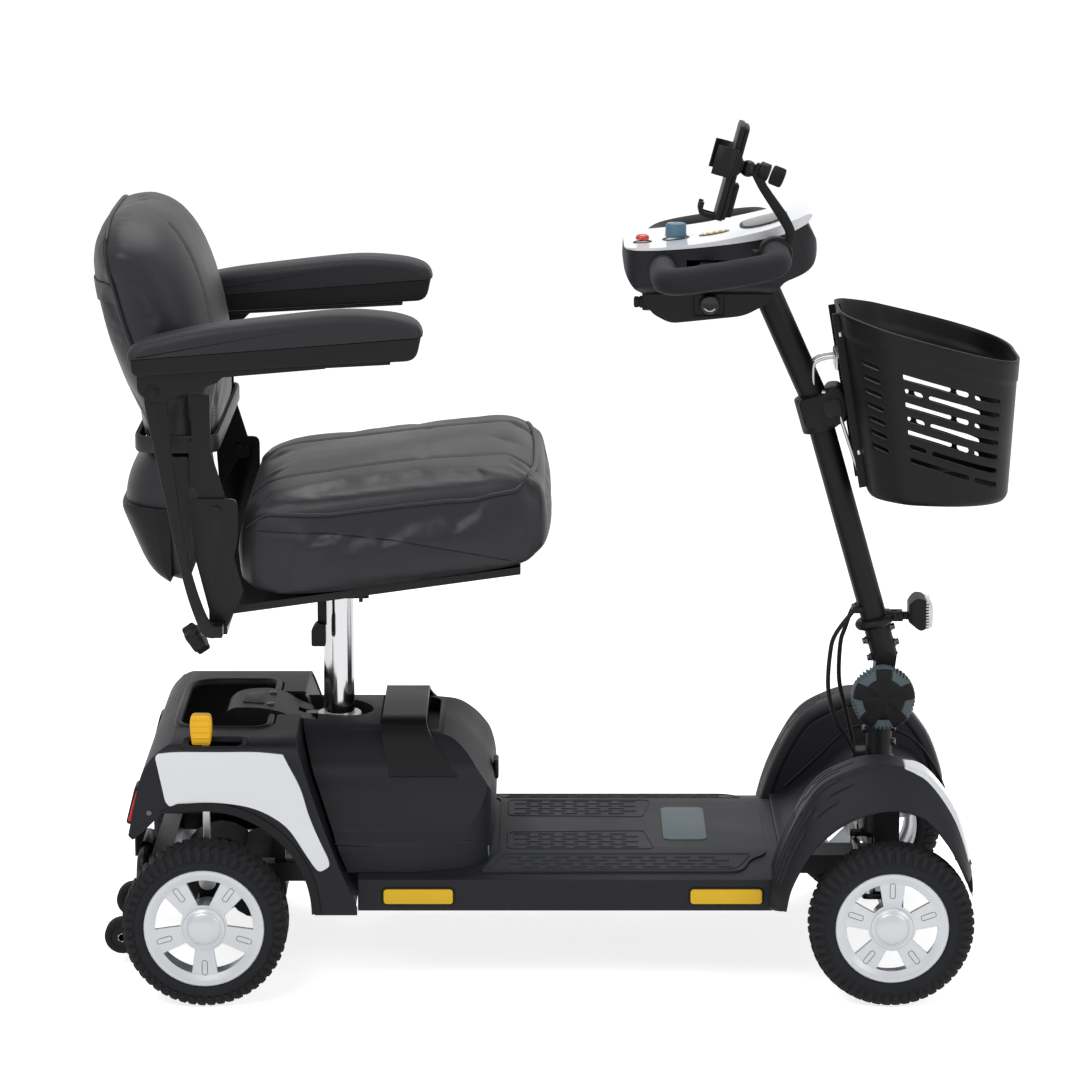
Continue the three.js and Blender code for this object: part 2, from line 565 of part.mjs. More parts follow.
function knuckle(side) {
  const y = KINGPIN_Y * side;
  const pin = rodZ(AXLE_Z - 18, ARM_TOP - 2, FRONT_X, y, KINGPIN_RADIUS);
  const topPlate = join(rodZ(BEAM_Z[1] + GAP, ARM_TOP, FRONT_X, y, 13),
    box(FRONT_X - STEER_ARM, FRONT_X, y - 7, y + 7, BEAM_Z[1] + GAP, ARM_TOP),
    rodZ(BEAM_Z[1] + GAP, ARM_TOP, FRONT_X - STEER_ARM, y, 7));
  const lowPlate = rodZ(AXLE_Z - 21, AXLE_Z - 14 - GAP, FRONT_X, y, 13);
  const web = box(FRONT_X - 10, FRONT_X + 10, (KINGPIN_Y + 13) * side, (KINGPIN_Y + 19) * side, AXLE_Z - 21,
    ARM_TOP);
  const ledge = (z0, z1) => box(FRONT_X - 10, FRONT_X + 10, y, (KINGPIN_Y + 19) * side, z0, z1);
  const stub = rodY((KINGPIN_Y + 15) * side, (HALF_WIDTH - 11) * side, FRONT_X, AXLE_Z, AXLE_RADIUS);
  const rodPin = rodZ(ARM_TOP - 2, ARM_TOP + 12, FRONT_X - STEER_ARM, y, 3.5);
  return join(pin, topPlate, lowPlate, web, ledge(BEAM_Z[1] + GAP, ARM_TOP),
    ledge(AXLE_Z - 21, AXLE_Z - 14 - GAP),
    stub, rodPin);
}

function tieRod() {
  const low = ARM_TOP + GAP;
  const high = ARM_TOP + 12;
  const x = FRONT_X - STEER_ARM;
  const bar = rodY(-KINGPIN_Y, KINGPIN_Y, x, (low + high) / 2, 5);
  const eyes = [-KINGPIN_Y, 0, KINGPIN_Y].map((y) => rodZ(low, high, x, y, 7.5));
  const holes = [-KINGPIN_Y, 0, KINGPIN_Y].map((y) => rodZ(low - 2, high + 2, x, y, 3.5 + RUNNING));
  return cut(join(bar, ...eyes), ...holes);
}

function steeringStem() {
  const low = ARM_TOP + 12 + GAP;
  const shaft = rodZ(low, TILT.z - 26, FRONT_X, 0, STEM_RADIUS, 16);
  const nut = rodZ(HEAD_TUBE_TOP + GAP, NUT_TOP, FRONT_X, 0, 22, 6);
  const pitman = join(box(FRONT_X - STEER_ARM, FRONT_X, -7, 7, low, low + 7),
    rodZ(low, low + 7, FRONT_X - STEER_ARM, 0, 7));
  const pitmanPin = rodZ(ARM_TOP + 1, low + 2, FRONT_X - STEER_ARM, 0, 3.5);
  const ear = (side) => sideways(outline([[-16, -30], [16, -30], [16, 8, 9], [6, 16, 6], [-6, 16, 6],
    [-16, 8, 9]],
    TILT.x, TILT.z), 18 * side, 24 * side);
  const block = box(TILT.x - 16, TILT.x + 16, -24, 24, TILT.z - 32, TILT.z - 20);
  const whole = join(shaft, nut, pitman, pitmanPin, both(ear), block);
  return cut(whole, rodY(-30, 30, TILT.x, TILT.z, 5 + RUNNING));
}

function tiltKnob() {
  const shape = new THREE.Shape();
  const lobes = 5;
  const steps = lobes * 8;
  for (let step = 0; step < steps; step += 1) {
    const angle = (step / steps) * Math.PI * 2;
    const radius = TILT_KNOB_RADIUS - 2.5 * (1 - Math.cos(angle * lobes)) / 2;
    const place = [TILT.x + radius * Math.sin(angle), TILT.z + radius * Math.cos(angle)];
    if (step === 0) shape.moveTo(...place);
    else shape.lineTo(...place);
  }
  const head = sideways(shape, -62, -34);
  const neck = rodY(-35, -24 - GAP, TILT.x, TILT.z, 13);
  const bolt = rodY(-26, 30, TILT.x, TILT.z, 5);
  const nut = rodY(24 + GAP, 31, TILT.x, TILT.z, 9, 6);
  return join(head, neck, bolt, nut);
}

function tillerTube() {
  const tongue = cut(sideways(outline([[-13, -6, 6], [-6, -14, 6], [6, -14, 6], [13, -6, 6], [20, 50],
    [-6, 60]],
    TILT.x, TILT.z), -18 + RUNNING, 18 - RUNNING), rodY(-30, 30, TILT.x, TILT.z, 5 + RUNNING));
  const lower = rod(TILLER_FOOT, TILLER_BEND, TILLER_RADIUS, 16);
  const upper = rod(TILLER_BEND, TILLER_HEAD, TILLER_RADIUS + 1, 16);
  const knee = solid(new THREE.SphereGeometry(TILLER_RADIUS + 1, 12, 6).translate(...TILLER_BEND.toArray()));
  return join(tongue, lower, upper, knee);
}

function clampRing(from, to, radius) {
  const ring = rod(alongTiller(from), alongTiller(to), radius, 16);
  return cut(ring, rod(alongTiller(from - 3), alongTiller(to + 3), TILLER_RADIUS + GAP, 16));
}

const LAMP = { x: alongTiller(50).x + 33, z: alongTiller(50).z + 8 };

function headlightBracket() {
  const ring = clampRing(42, 58, TILLER_RADIUS + 7);
  const ear = (side) => box(LAMP.x - 24, LAMP.x + 4, 4 * side, 9 * side, LAMP.z - 8, LAMP.z + 6);
  const root = box(LAMP.x - 26, LAMP.x - 12, -9, 9, LAMP.z - 12, LAMP.z + 6);
  const tubeRoom = rod(alongTiller(20), alongTiller(90), TILLER_RADIUS + GAP, 16);
  return cut(join(ring, both(ear), root), tubeRoom, rodY(-15, 15, LAMP.x, LAMP.z, 3 + RUNNING));
}

function headlight() {
  const corners = [[13, 21, 5], [24, 28, 5], [38, 23, 5], [43, 13], [42, -14, 4], [30, -17, 5], [16, -8, 4],
    [13, -6]];
  const shell = sideways(outline(corners, LAMP.x, LAMP.z), -24, 24);
  const plan = outline([[12, -17], [18, -22, 8], [43, -24, 8], [43, 24, 8], [18, 22, 8], [12, 17]], LAMP.x, 0);
  const tongue = join(rodY(-4 + RUNNING, 4 - RUNNING, LAMP.x, LAMP.z, 6),
    box(LAMP.x, LAMP.x + 16, -4 + RUNNING, 4 - RUNNING, LAMP.z - 6, LAMP.z + 4));
  const pin = rodY(-11, 11, LAMP.x, LAMP.z, 3);
  return join(shell.intersect(upward(plan, LAMP.z - 60, LAMP.z + 60)), tongue, pin);
}

function harness() {
  const start = alongTiller(CLIP_HEIGHT);
  const highClip = cut(box(start.x - 27, start.x - 8, -14, 14, start.z - 8, start.z + 2),
    rod(alongTiller(CLIP_HEIGHT - 30), alongTiller(CLIP_HEIGHT + 30), TILLER_RADIUS + GAP, 16));
  const lowClip = cut(box(FRONT_X - STEM_RADIUS - 19, FRONT_X - 8, -16, 16, NUT_TOP + GAP, NUT_TOP + 12),
    rodZ(NUT_TOP - 10, NUT_TOP + 20, FRONT_X, 0, STEM_RADIUS + GAP, 16));
  const outerCable = [point(start.x - 24, -8, start.z - 4), point(TILT.x - 68, -12, TILT.z + 58),
    point(TILT.x - 71, -13, TILT.z + 3), point(TILT.x - 59, -13, TILT.z - 41),
    point(TILT.x - 33, -12, TILT.z - 86)];
  const innerCable = [point(start.x - 24, 8, start.z - 4), point(TILT.x - 54, 10, TILT.z + 62),
    point(TILT.x - 55, 11, TILT.z + 12), point(TILT.x - 42, 11, TILT.z - 40),
    point(TILT.x - 33, 12, TILT.z - 86)];
  const cables = [outerCable, innerCable].map((route) => tube(route, CABLE_RADIUS, 8, 14));
  return join(highClip, lowClip, ...cables);
}

// Crown and lip of a front mudguard, drawn from the front axle: [forward, up].
const CROWN = [[-150, 62], [-133, 112], [-98, 172], [-55, 198], [-20, 206], [20, 202], [48, 190], [80, 150],
  [98, 105], [107, 62]];
const LIP = [[-139, 28], [-122, 66], [-94, 106], [-56, 137], [-20, 151], [12, 153], [44, 142], [72, 112],
  [88, 85], [100, 60]];

function mudguardRow(corners, y, inset) {
  const grown = WHEEL_RADIUS / 108;
  return corners.map(([x, z]) => {
    const reach = Math.hypot(x, z);
    const shrink = (reach * grown - inset) / reach;
    return point(FRONT_X + x * shrink, y, AXLE_Z + z * shrink);
  });
}

function mudguard(side) {
  const wall = SHROUD_WALL;
  const sections = [[CROWN, 152, 10], [CROWN, 168, 1], [CROWN, 214, 0], [blend(0.45), 238, 0], [LIP, 254, 0]];
  const outer = sections.map(([corners, y, inset]) => mudguardRow(corners, y * side, inset));
  const inner = sections.map(([corners, y, inset]) => (
    mudguardRow(corners, (y - 1) * side, inset + wall))).reverse();
  const rings = CROWN.map((corner, index) => [...outer, ...inner].map((row) => row[index]));
  return loft(rings);
}

function blend(share) {
  return CROWN.map(([x, z], index) => [x + (LIP[index][0] - x) * share, z + (LIP[index][1] - z) * share]);
}

const VALLEY = [[-139, 62], [-118, 66], [-70, 102], [-36, 132], [-8, 140], [24, 138], [60, 122], [92, 84],
  [112, 40], [116, 12]];

function frontShroud() {
  const wall = SHROUD_WALL;
  const top = VALLEY.map(([x, z]) => [x, z]);
  const under = VALLEY.map(([x, z], index) => (
    [x - wall * (index / (VALLEY.length - 1)), z - wall])).reverse();
  const grownOutline = (corners) => outline(corners, FRONT_X, AXLE_Z);
  const valley = sideways(grownOutline([...top, ...under]), -154, 154);
  const cheekOutline = [...CROWN.map(([x, z]) => [x * 0.945, z * 0.945]), ...VALLEY.slice(1, -2).reverse()];
  const cheek = (side) => sideways(grownOutline(cheekOutline), 150 * side, 154 * side);
  const stemHole = rodZ(0, DECK_TOP + 200, FRONT_X, 0, 24, 16);
  const whole = join(valley, both(cheek), both(mudguard));
  const gussetRoom = box(FRONT_X - 8, FRONT_X + 30, -26, 26, 0, DECK_TOP + 78);
  return cut(whole, stemHole, gussetRoom);
}

// ---- Seat ---------------------------------------------------------------------------------------
const SEAT_RISE = 0.14; // the pan rises this much for each unit forward
const panUnder = (x) => SEAT_HEIGHT + 24 + (x - POST_X) * SEAT_RISE;
const SWIVEL = { y: -31, z: SEAT_HEIGHT - 8.5 };

function seatFrame() {
  const low = RECEIVER.x - RECEIVER.half;
  const front = POST_X + 245;
  const pan = sideways(outline([[low, panUnder(low)], [front, panUnder(front)], [front, panUnder(front) + 10],
    [low, panUnder(low) + 10]]), -BACK_HALF_WIDTH, BACK_HALF_WIDTH);
  const hub = box(POST_X - 34, POST_X + 34, -38, 34, SEAT_HEIGHT + GAP, panUnder(POST_X) + 5);
  const lug = (x) => box(x, x + 5, SWIVEL.y - 7, SWIVEL.y + 8, SEAT_HEIGHT - 16, SEAT_HEIGHT + 6);
  const tubeBody = box(low, RECEIVER.x + RECEIVER.half, -PLATE_Y - BACK_PLATE, PLATE_Y + BACK_PLATE,
    RECEIVER.z - RECEIVER.half, RECEIVER.z + RECEIVER.half);
  const inner = RECEIVER.half - RECEIVER_WALL;
  const bore = box(RECEIVER.x - inner, RECEIVER.x + inner, -300, 300, RECEIVER.z - inner, RECEIVER.z + inner);
  const plate = (side) => sideways(outline([[-33, 16, 8], [28, 16, 10], [28, -37, 12], [22, -60], [34, -105],
    [13, -151], [-11, -163], [-11, -130], [-28, -60]], HINGE.x, HINGE.z),
    PLATE_Y * side, (PLATE_Y + BACK_PLATE) * side);
  const bolt = (side) => rodY((PLATE_Y - 12) * side, (PLATE_Y + 9) * side, HINGE.x, HINGE.z, 7);
  const whole = join(pan, hub, lug(POST_X - 34), lug(POST_X + 29), tubeBody, both(plate), both(bolt));
  return cut(whole, bore, rodX(POST_X - 50, POST_X + 50, SWIVEL.y, SWIVEL.z, 4 + RUNNING), both(knobHole));
}

function swivelLever() {
  const bolt = rodX(POST_X - 40, POST_X + 42, SWIVEL.y, SWIVEL.z, 4);
  const hub = rodX(POST_X - 28, POST_X - 12, SWIVEL.y, SWIVEL.z, 7.5);
  const arm = box(POST_X - 26, POST_X - 14, SWIVEL.y - 11, SWIVEL.y - 6, SEAT_HEIGHT - 46, SWIVEL.z + 2);
  const grip = sideways(outline([[-34, -73, 3], [-15, -73, 3], [-15, -44], [-28, -40, 6], [-34, -52]],
    POST_X, SEAT_HEIGHT), SWIVEL.y - 22, SWIVEL.y - 6);
  return join(bolt, hub, arm, grip);
}

// The cushion's sections, back to front: [forward of the post, half width, bottom, top].
const CUSHION = [[-112, 196, 46, 138], [-106, 214, 34, 152], [-60, 222, 30, 162], [60, 226, 44, 178],
  [180, 226, 60, 192], [246, 222, 68, 196], [270, 212, 76, 182], [280, 200, 92, 160]];

function seatCushion() {
  const rings = CUSHION.map(([x, half, bottom, top]) => {
    const share = half / 226;
    const halfWidth = SEAT_HALF_WIDTH * share;
    const low = Math.max(bottom + SEAT_HEIGHT, panUnder(POST_X + x) + 10 + GAP);
    const high = top + SEAT_HEIGHT;
    const edge = 20;
    const corners = [[-halfWidth, low + edge], [-halfWidth + 14, low], [halfWidth - 14, low],
      [halfWidth, low + edge],
      [halfWidth, high - edge - 6], [halfWidth - edge, high - 4], [0, high], [-halfWidth + edge, high - 4],
      [-halfWidth, high - edge - 6]];
    return corners.map(([y, z]) => point(POST_X + x, y, z));
  });
  return loft(rings);
}

const BACK_WEB = 34; // rear face of the back's cross plate, behind the hinge

function backFrame() {
  const plate = (side) => sideways(outline([[-14, -14, 10], [14, -14, 10], [14, 10], [-6, 76], [-6, 150],
    [-30, 150],
    [-30, 40]], HINGE.x, HINGE.z), (PLATE_Y - BACK_PLATE - GAP) * side, (PLATE_Y - GAP) * side);
  const web = box(HINGE.x - BACK_WEB, HINGE.x - BACK_WEB + BACK_PLATE, -PLATE_Y + GAP, PLATE_Y - GAP,
    HINGE.z + 30,
    HINGE.z + CUSHION_FOOT - GAP);
  const boltHole = rodY(-300, 300, HINGE.x, HINGE.z, 7 + RUNNING);
  return cut(join(both(plate), web), boltHole);
}

function backCushion() {
  const side = [[2, CUSHION_FOOT, 10], [-6, 200], [-24, 280], [-58, 352, 30], [-110, 376, 24],
    [-150, 366, 24], [-163, 345, 20],
    [-142, 230], [-112, 120], [-98, CUSHION_FOOT, 14]];
  const half = [[0, 376], [120, 372, 40], [BACK_HALF_WIDTH - 12, 330, 60], [BACK_HALF_WIDTH, 240],
    [BACK_HALF_WIDTH, CUSHION_FOOT - 3]];
  const frontal = outline([...half, ...mirrorTail(half)], 0, HINGE.z);
  return sideways(outline(side, HINGE.x, HINGE.z), -250, 250)
    .intersect(forward(frontal, HINGE.x - 250, HINGE.x + 50));
}

function backPocket() {
  const side = [[-BACK_WEB - GAP, 82], [-96, 82, 10], [-118, 40, 24], [-126, 0, 20], [-116, -28, 16],
    [-90, -88, 22],
    [-60, -101, 14], [-BACK_WEB - GAP - 3, -100]];
  return sideways(outline(side, HINGE.x, HINGE.z), -BACK_HALF_WIDTH + 4, BACK_HALF_WIDTH - 4);
}

// ---- Arms ---------------------------------------------------------------------------------------
const UPRIGHT_Y = [ARM_SPACING + 3, ARM_SPACING + 9];

function armUpright(side) {
  const corners = [[-12, 4, 8], [0, 13, 8], [13, 4, 8], [26, -120], [40, -220], [54, -270], [66, -300, 10],
    [82, -318, 8], [70, -322, 8], [56, -318, 8], [36, -262], [16, -160], [-12, -16]];
  const bar = sideways(outline(corners, ARM_PIVOT.x, ARM_PIVOT.z), UPRIGHT_Y[0] * side, UPRIGHT_Y[1] * side);
  const half = ARM_BAR / 2;
  const slide = box(RECEIVER.x - half, RECEIVER.x + half, 70 * side, UPRIGHT_Y[1] * side,
    RECEIVER.z - half, RECEIVER.z + half);
  const pivotPin = rodY(UPRIGHT_Y[0] * side, (UPRIGHT_Y[1] + 9) * side, ARM_PIVOT.x, ARM_PIVOT.z, 6);
  return join(bar, slide, pivotPin);
}

function armBracket(side) {
  const outside = [UPRIGHT_Y[1] + GAP, UPRIGHT_Y[1] + 4.5];
  const cheek = [[-20, 20], [-20, 0, 8], [-4, -13, 8], [10, -12], [81, 12], [88, 19], [218, 30], [218, 35],
    [-16, 22]];
  const flange = [[-18, 18.2], [300, 35.2], [300, 38.6], [-18, 21.6]];
  const plate = sideways(outline(cheek, ARM_PIVOT.x, ARM_PIVOT.z), outside[0] * side, outside[1] * side);
  const shelf = sideways(outline(flange, ARM_PIVOT.x, ARM_PIVOT.z), (ARM_SPACING - 22) * side,
    outside[1] * side);
  return cut(join(plate, shelf), rodY(200 * side, 300 * side, ARM_PIVOT.x, ARM_PIVOT.z, 6 + RUNNING));
}

function armPad(side) {
  const corners = [[-30, 21.9, 6], [-32, 40, 8], [-28, 55, 10], [-14, 65, 6], [60, 83], [186, 98],
    [250, 104, 20],
    [312, 99, 14], [338, 88, 10], [344, 71, 10], [332, 41.8, 8]];
  return sideways(outline(corners, ARM_PIVOT.x, ARM_PIVOT.z), (ARM_SPACING - PAD_WIDTH / 2) * side,
    (ARM_SPACING + PAD_WIDTH / 2) * side);
}

const KNOB_AXIS = new THREE.Vector3(-0.82, 0, -0.57);
const KNOB_Y = PLATE_Y - 18;
const KNOB_START = ARM_BAR * 0.625 + 1.625; // just clear of the bar's corner
const KNOB_SHANK = 3.5;
const KNOB_HEAD = [30, 46];
const knobPlace = (side, distance) => (
  point(RECEIVER.x, KNOB_Y * side, RECEIVER.z).addScaledVector(KNOB_AXIS, distance));

function knobHole(side) {
  return rod(knobPlace(side, KNOB_START - 3), knobPlace(side, KNOB_HEAD[0]), KNOB_SHANK + RUNNING, 12);
}

function armKnob(side) {
  const shank = rod(knobPlace(side, KNOB_START), knobPlace(side, KNOB_HEAD[0] + 4), KNOB_SHANK, 12);
  const head = rod(knobPlace(side, KNOB_HEAD[0]), knobPlace(side, KNOB_HEAD[1]), 17, 10);
  return join(shank, head);
}

// ---- Basket -------------------------------------------------------------------------------------
const BASKET_TOP = { x: TILT.x - 66, z: TILT.z + 521 };
const BASKET_FALL = 0.26; // the rim drops this much for each unit forward

// Half of the rim seen from above, back to front: [forward of the rear wall, share of the half width].
const RIM_PLAN = [[0, 0.36], [14, 0.62], [52, 0.9], [120, 1], [182, 0.95], [222, 0.72], [236, 0.34]];

function basketRing(level, inset) {
  const rear = BASKET_TOP.x + 42 * (1 - level);
  const reach = (level < 1 ? 0.78 + 0.22 * level : 1) - inset / 120;
  const half = RIM_PLAN.map(([x, share]) => {
    const forwardX = rear + inset + x * reach;
    const y = (BASKET_HALF_WIDTH * (0.84 + 0.16 * level) - inset) * share;
    const rimZ = BASKET_TOP.z - (forwardX - BASKET_TOP.x) * BASKET_FALL;
    const floorZ = BASKET_TOP.z - 250 + inset;
    return [forwardX, y, floorZ + (rimZ - floorZ) * level];
  });
  const left = half.map(([x, y, z]) => point(x, y, z));
  const right = half.map(([x, y, z]) => point(x, -y, z)).reverse();
  return [...left, ...right];
}

function basket() {
  const wall = BASKET_WALL;
  const outer = loft([basketRing(0, 6), basketRing(0.04, 0), basketRing(1, 0)]);
  const inner = loft([basketRing(0, wall + 6), basketRing(0.06, wall), basketRing(1.12, wall)]);
  const wallAt = BASKET_TOP.x + 42 * 0.24;
  const lugZ = BASKET_TOP.z - 66;
  const lug = join(box(wallAt - 13, wallAt + 3, -28, 28, lugZ, lugZ + 8),
    box(wallAt - 13, wallAt - 9, -28, 28, lugZ - 16, lugZ + 8));
  return join(cut(outer, inner), lug);
}

function basketBracket() {
  const wallAt = BASKET_TOP.x + 42 * 0.24;
  const lugZ = BASKET_TOP.z - 66;
  const ring = clampRing(336, 366, TILLER_RADIUS + 8);
  const hook = box(wallAt - 8.4, wallAt - 5.4, -24, 24, lugZ - 60, lugZ - GAP);
  const arm = box(alongTiller(351).x + 16, wallAt - 5.4, -12, 12, lugZ - 60, lugZ - 44);
  const stay = (side) => rod(point(wallAt - 7, 20 * side, lugZ - 56),
    point(BASKET_TOP.x + 29, 30 * side, lugZ - 150), 2.5, 8);
  const tubeRoom = rod(alongTiller(300), alongTiller(374), TILLER_RADIUS + GAP, 16);
  return cut(join(ring, hook, arm, both(stay)), tubeRoom);
}

// ---- Console ------------------------------------------------------------------------------------
// Drawn from the middle of the console: [forward, up].
const CONSOLE_SEAM = [[-127, 24], [-55, 28], [18, 36], [81, 47], [110, 58]];
const CONSOLE_PLAN = [[-129, -60, 30], [-110, -92, 40], [60, -CONSOLE_HALF_WIDTH, 50], [126, -66, 40],
  [126, 66, 40],
  [60, CONSOLE_HALF_WIDTH, 50], [-110, 92, 40], [-129, 60, 30]];
const LEVER_ROOM = { x: CONSOLE.x - 20, z: CONSOLE.z + 9 };
const LOOP_RISE = 0.16;

const LOOP = { rear: -78, front: 66, corner: 50 };
const loopAt = (x, y) => point(CONSOLE.x + x, y, CONSOLE.z + 16 + x * LOOP_RISE);

// One side of the hand loop: out from the middle, round two corners and back.
function loopHalf(side) {
  const { rear, front, corner } = LOOP;
  const far = LOOP_HALF_WIDTH;
  const at = (x, y) => loopAt(x, y * side);
  const path = new THREE.CurvePath();
  path.add(new THREE.LineCurve3(at(rear, -1), at(rear, far - corner)));
  path.add(new THREE.QuadraticBezierCurve3(at(rear, far - corner), at(rear, far), at(rear + corner, far)));
  path.add(new THREE.LineCurve3(at(rear + corner, far), at(front - corner, far)));
  path.add(new THREE.QuadraticBezierCurve3(at(front - corner, far), at(front, far), at(front, far - corner)));
  path.add(new THREE.LineCurve3(at(front, far - corner), at(front, -1)));
  return path;
}

function handlebar(radius) {
  return both((side) => tube(loopHalf(side), radius, 10, 24));
}

function consoleBody() {
  const side = [...CONSOLE_SEAM.slice().reverse(), [-129, 0, 12], [-120, -20, 14], [-104, -34],
    [-92, -62, 8], [-66, -76, 8],
    [30, -66, 8], [60, -50], [78, -16], [118, -2, 14], [126, 16, 14], [124, 36]];
  const half = [[0, -80], [46, -80, 8], [50, -36], [86, -26, 14], [CONSOLE_HALF_WIDTH, -4, 10],
    [CONSOLE_HALF_WIDTH, 80], [0, 80]];
  const block = sideways(outline(side, CONSOLE.x, CONSOLE.z), -150, 150)
    .intersect(forward(outline(mirrored(half), 0, CONSOLE.z), CONSOLE.x - 200, CONSOLE.x + 200))
    .intersect(upward(outline(CONSOLE_PLAN, CONSOLE.x, 0), CONSOLE.z - 100, CONSOLE.z + 100));
  const leverRoom = box(LEVER_ROOM.x - 27, LEVER_ROOM.x + 27, -130, 130, LEVER_ROOM.z - 6, LEVER_ROOM.z + 6);
  const pivot = rodZ(LEVER_ROOM.z - 8, LEVER_ROOM.z + 8, LEVER_ROOM.x, 0, 5);
  const tubeRoom = rod(TILLER_BEND, TILLER_HEAD.clone().add(point(-0.5, 0, 1.1)), TILLER_RADIUS + 1 + GAP, 16);
  const keyHole = rodX(CONSOLE.x - 110, CONSOLE.x - 82, -28, CONSOLE.z - 50, 5 + RUNNING);
  const capHole = rodY(-56, -44, CONSOLE.x - 22, CONSOLE.z - 52, 4 + RUNNING);
  const dials = [[HORN.x, HORN.y], [SPEED.x, SPEED.y]].map(([x, y]) => (
    rodZ(CONSOLE.z + 10, CONSOLE.z + 60, x, y, 5 + RUNNING)));
  const hollow = cut(block, handlebar(LOOP_RADIUS + GAP), leverRoom, tubeRoom, keyHole, capHole, ...dials);
  return join(hollow, pivot);
}

const HORN = { x: CONSOLE.x - 103, y: -30 };
const SPEED = { x: CONSOLE.x - 59, y: -20 };

function consoleTop() {
  const under = CONSOLE_SEAM.map(([x, z]) => [x, z + GAP]);
  const side = [...under, [116, 70, 6], [94, 66], [60, 55], [8, 43], [-32, 36], [-78, 31], [-111, 29],
    [-127, 26]];
  const lid = sideways(outline(side, CONSOLE.x, CONSOLE.z), -150, 150)
    .intersect(upward(outline(CONSOLE_PLAN, CONSOLE.x, 0), CONSOLE.z - 100, CONSOLE.z + 100));
  const holes = [[HORN.x, HORN.y], [SPEED.x, SPEED.y]].map(([x, y]) => (
    rodZ(CONSOLE.z, CONSOLE.z + 90, x, y, 5 + RUNNING)));
  return cut(lid, ...holes);
}

function hornButton() {
  const top = CONSOLE.z + 33;
  const base = rodZ(CONSOLE.z + 18, top, HORN.x, HORN.y, 5, 12);
  return join(base, rodZ(top, top + 7, HORN.x, HORN.y, 8, 16));
}

function speedKnob() {
  const top = CONSOLE.z + 35;
  const shaft = rodZ(CONSOLE.z + 18, top, SPEED.x, SPEED.y, 5, 12);
  return join(shaft, rodZ(top, top + 18, SPEED.x, SPEED.y, 14, 10));
}

function throttleLever() {
  const { x, z } = LEVER_ROOM;
  const bar = box(x - 9, x + 9, -104, 104, z - 4, z + 4);
  const paddle = (side) => upward(outline([[-9, 98], [9, 98], [12, 128, 8], [-4, 146, 8], [-14, 130, 6]]
    .map(([forwardX, y, radius]) => [x + forwardX, y * side, radius])), z - 4, z + 4);
  return cut(join(bar, both(paddle)), rodZ(z - 20, z + 20, x, 0, 5 + RUNNING));
}

function ignitionKey() {
  const shaft = rodX(CONSOLE.x - 108, CONSOLE.x - 84, -28, CONSOLE.z - 50, 5, 12);
  return join(shaft, rodX(CONSOLE.x - 112, CONSOLE.x - 103, -28, CONSOLE.z - 50, 8, 12));
}

function chargeCover() {
  const peg = rodY(-54, -46, CONSOLE.x - 22, CONSOLE.z - 52, 4, 12);
  return join(peg, rodY(-55, -50 - GAP, CONSOLE.x - 15, CONSOLE.z - 50, 13, 20));
}

// ---- Phone holder -------------------------------------------------------------------------------
const HOLDER_Y = -116;
const HOLDER_FOOT = loopAt(LOOP.front, HOLDER_Y);
const BALL = point(HOLDER_FOOT.x - 24, HOLDER_Y, HOLDER_FOOT.z + 110);
const CRADLE_LEAN = THREE.MathUtils.degToRad(15);
const CRADLE_X = BALL.x - 12;
const BALL_RADIUS = 11;

function phoneArm() {
  const clamp = rodY(HOLDER_Y - 8, HOLDER_Y + 8, HOLDER_FOOT.x, HOLDER_FOOT.z, LOOP_RADIUS + 5, 16);
  const corners = [[14, 10], [24, 14], [16, 48], [-16, 92], [-16, 110], [-24, 118, 4], [-32, 104], [-22, 86],
    [4, 44], [10, 18]];
  const strap = sideways(outline(corners, HOLDER_FOOT.x, HOLDER_FOOT.z), HOLDER_Y - 7, HOLDER_Y + 7);
  const boss = rod(BALL.clone().add(point(-2, 0, -1)), BALL.clone().add(point(14, 0, -6)), 11);
  const room = rodY(HOLDER_Y - 12, HOLDER_Y + 12, HOLDER_FOOT.x, HOLDER_FOOT.z, LOOP_RADIUS + GAP + 0.4, 16);
  const socket = solid(new THREE.SphereGeometry(BALL_RADIUS + 1.2, 12, 8).translate(CRADLE_X, BALL.y, BALL.z));
  const screwRoom = rod(BALL, BALL.clone().add(point(30, 0, -12)), 3 + RUNNING, 12);
  return cut(join(clamp, strap, boss), room, socket, screwRoom);
}

function phoneKnob() {
  const along = point(0.93, 0, -0.37);
  const at = (distance) => BALL.clone().addScaledVector(along, distance);
  return join(rod(at(2), at(22), 3, 12), rod(at(20), at(36), 12.5, 14));
}

function lean(body) {
  const pivot = point(CRADLE_X, 0, BALL.z);
  const back = body.translate([-pivot.x, 0, -pivot.z]);
  return back.rotate([0, THREE.MathUtils.radToDeg(CRADLE_LEAN), 0]).translate([pivot.x, 0, pivot.z]);
}

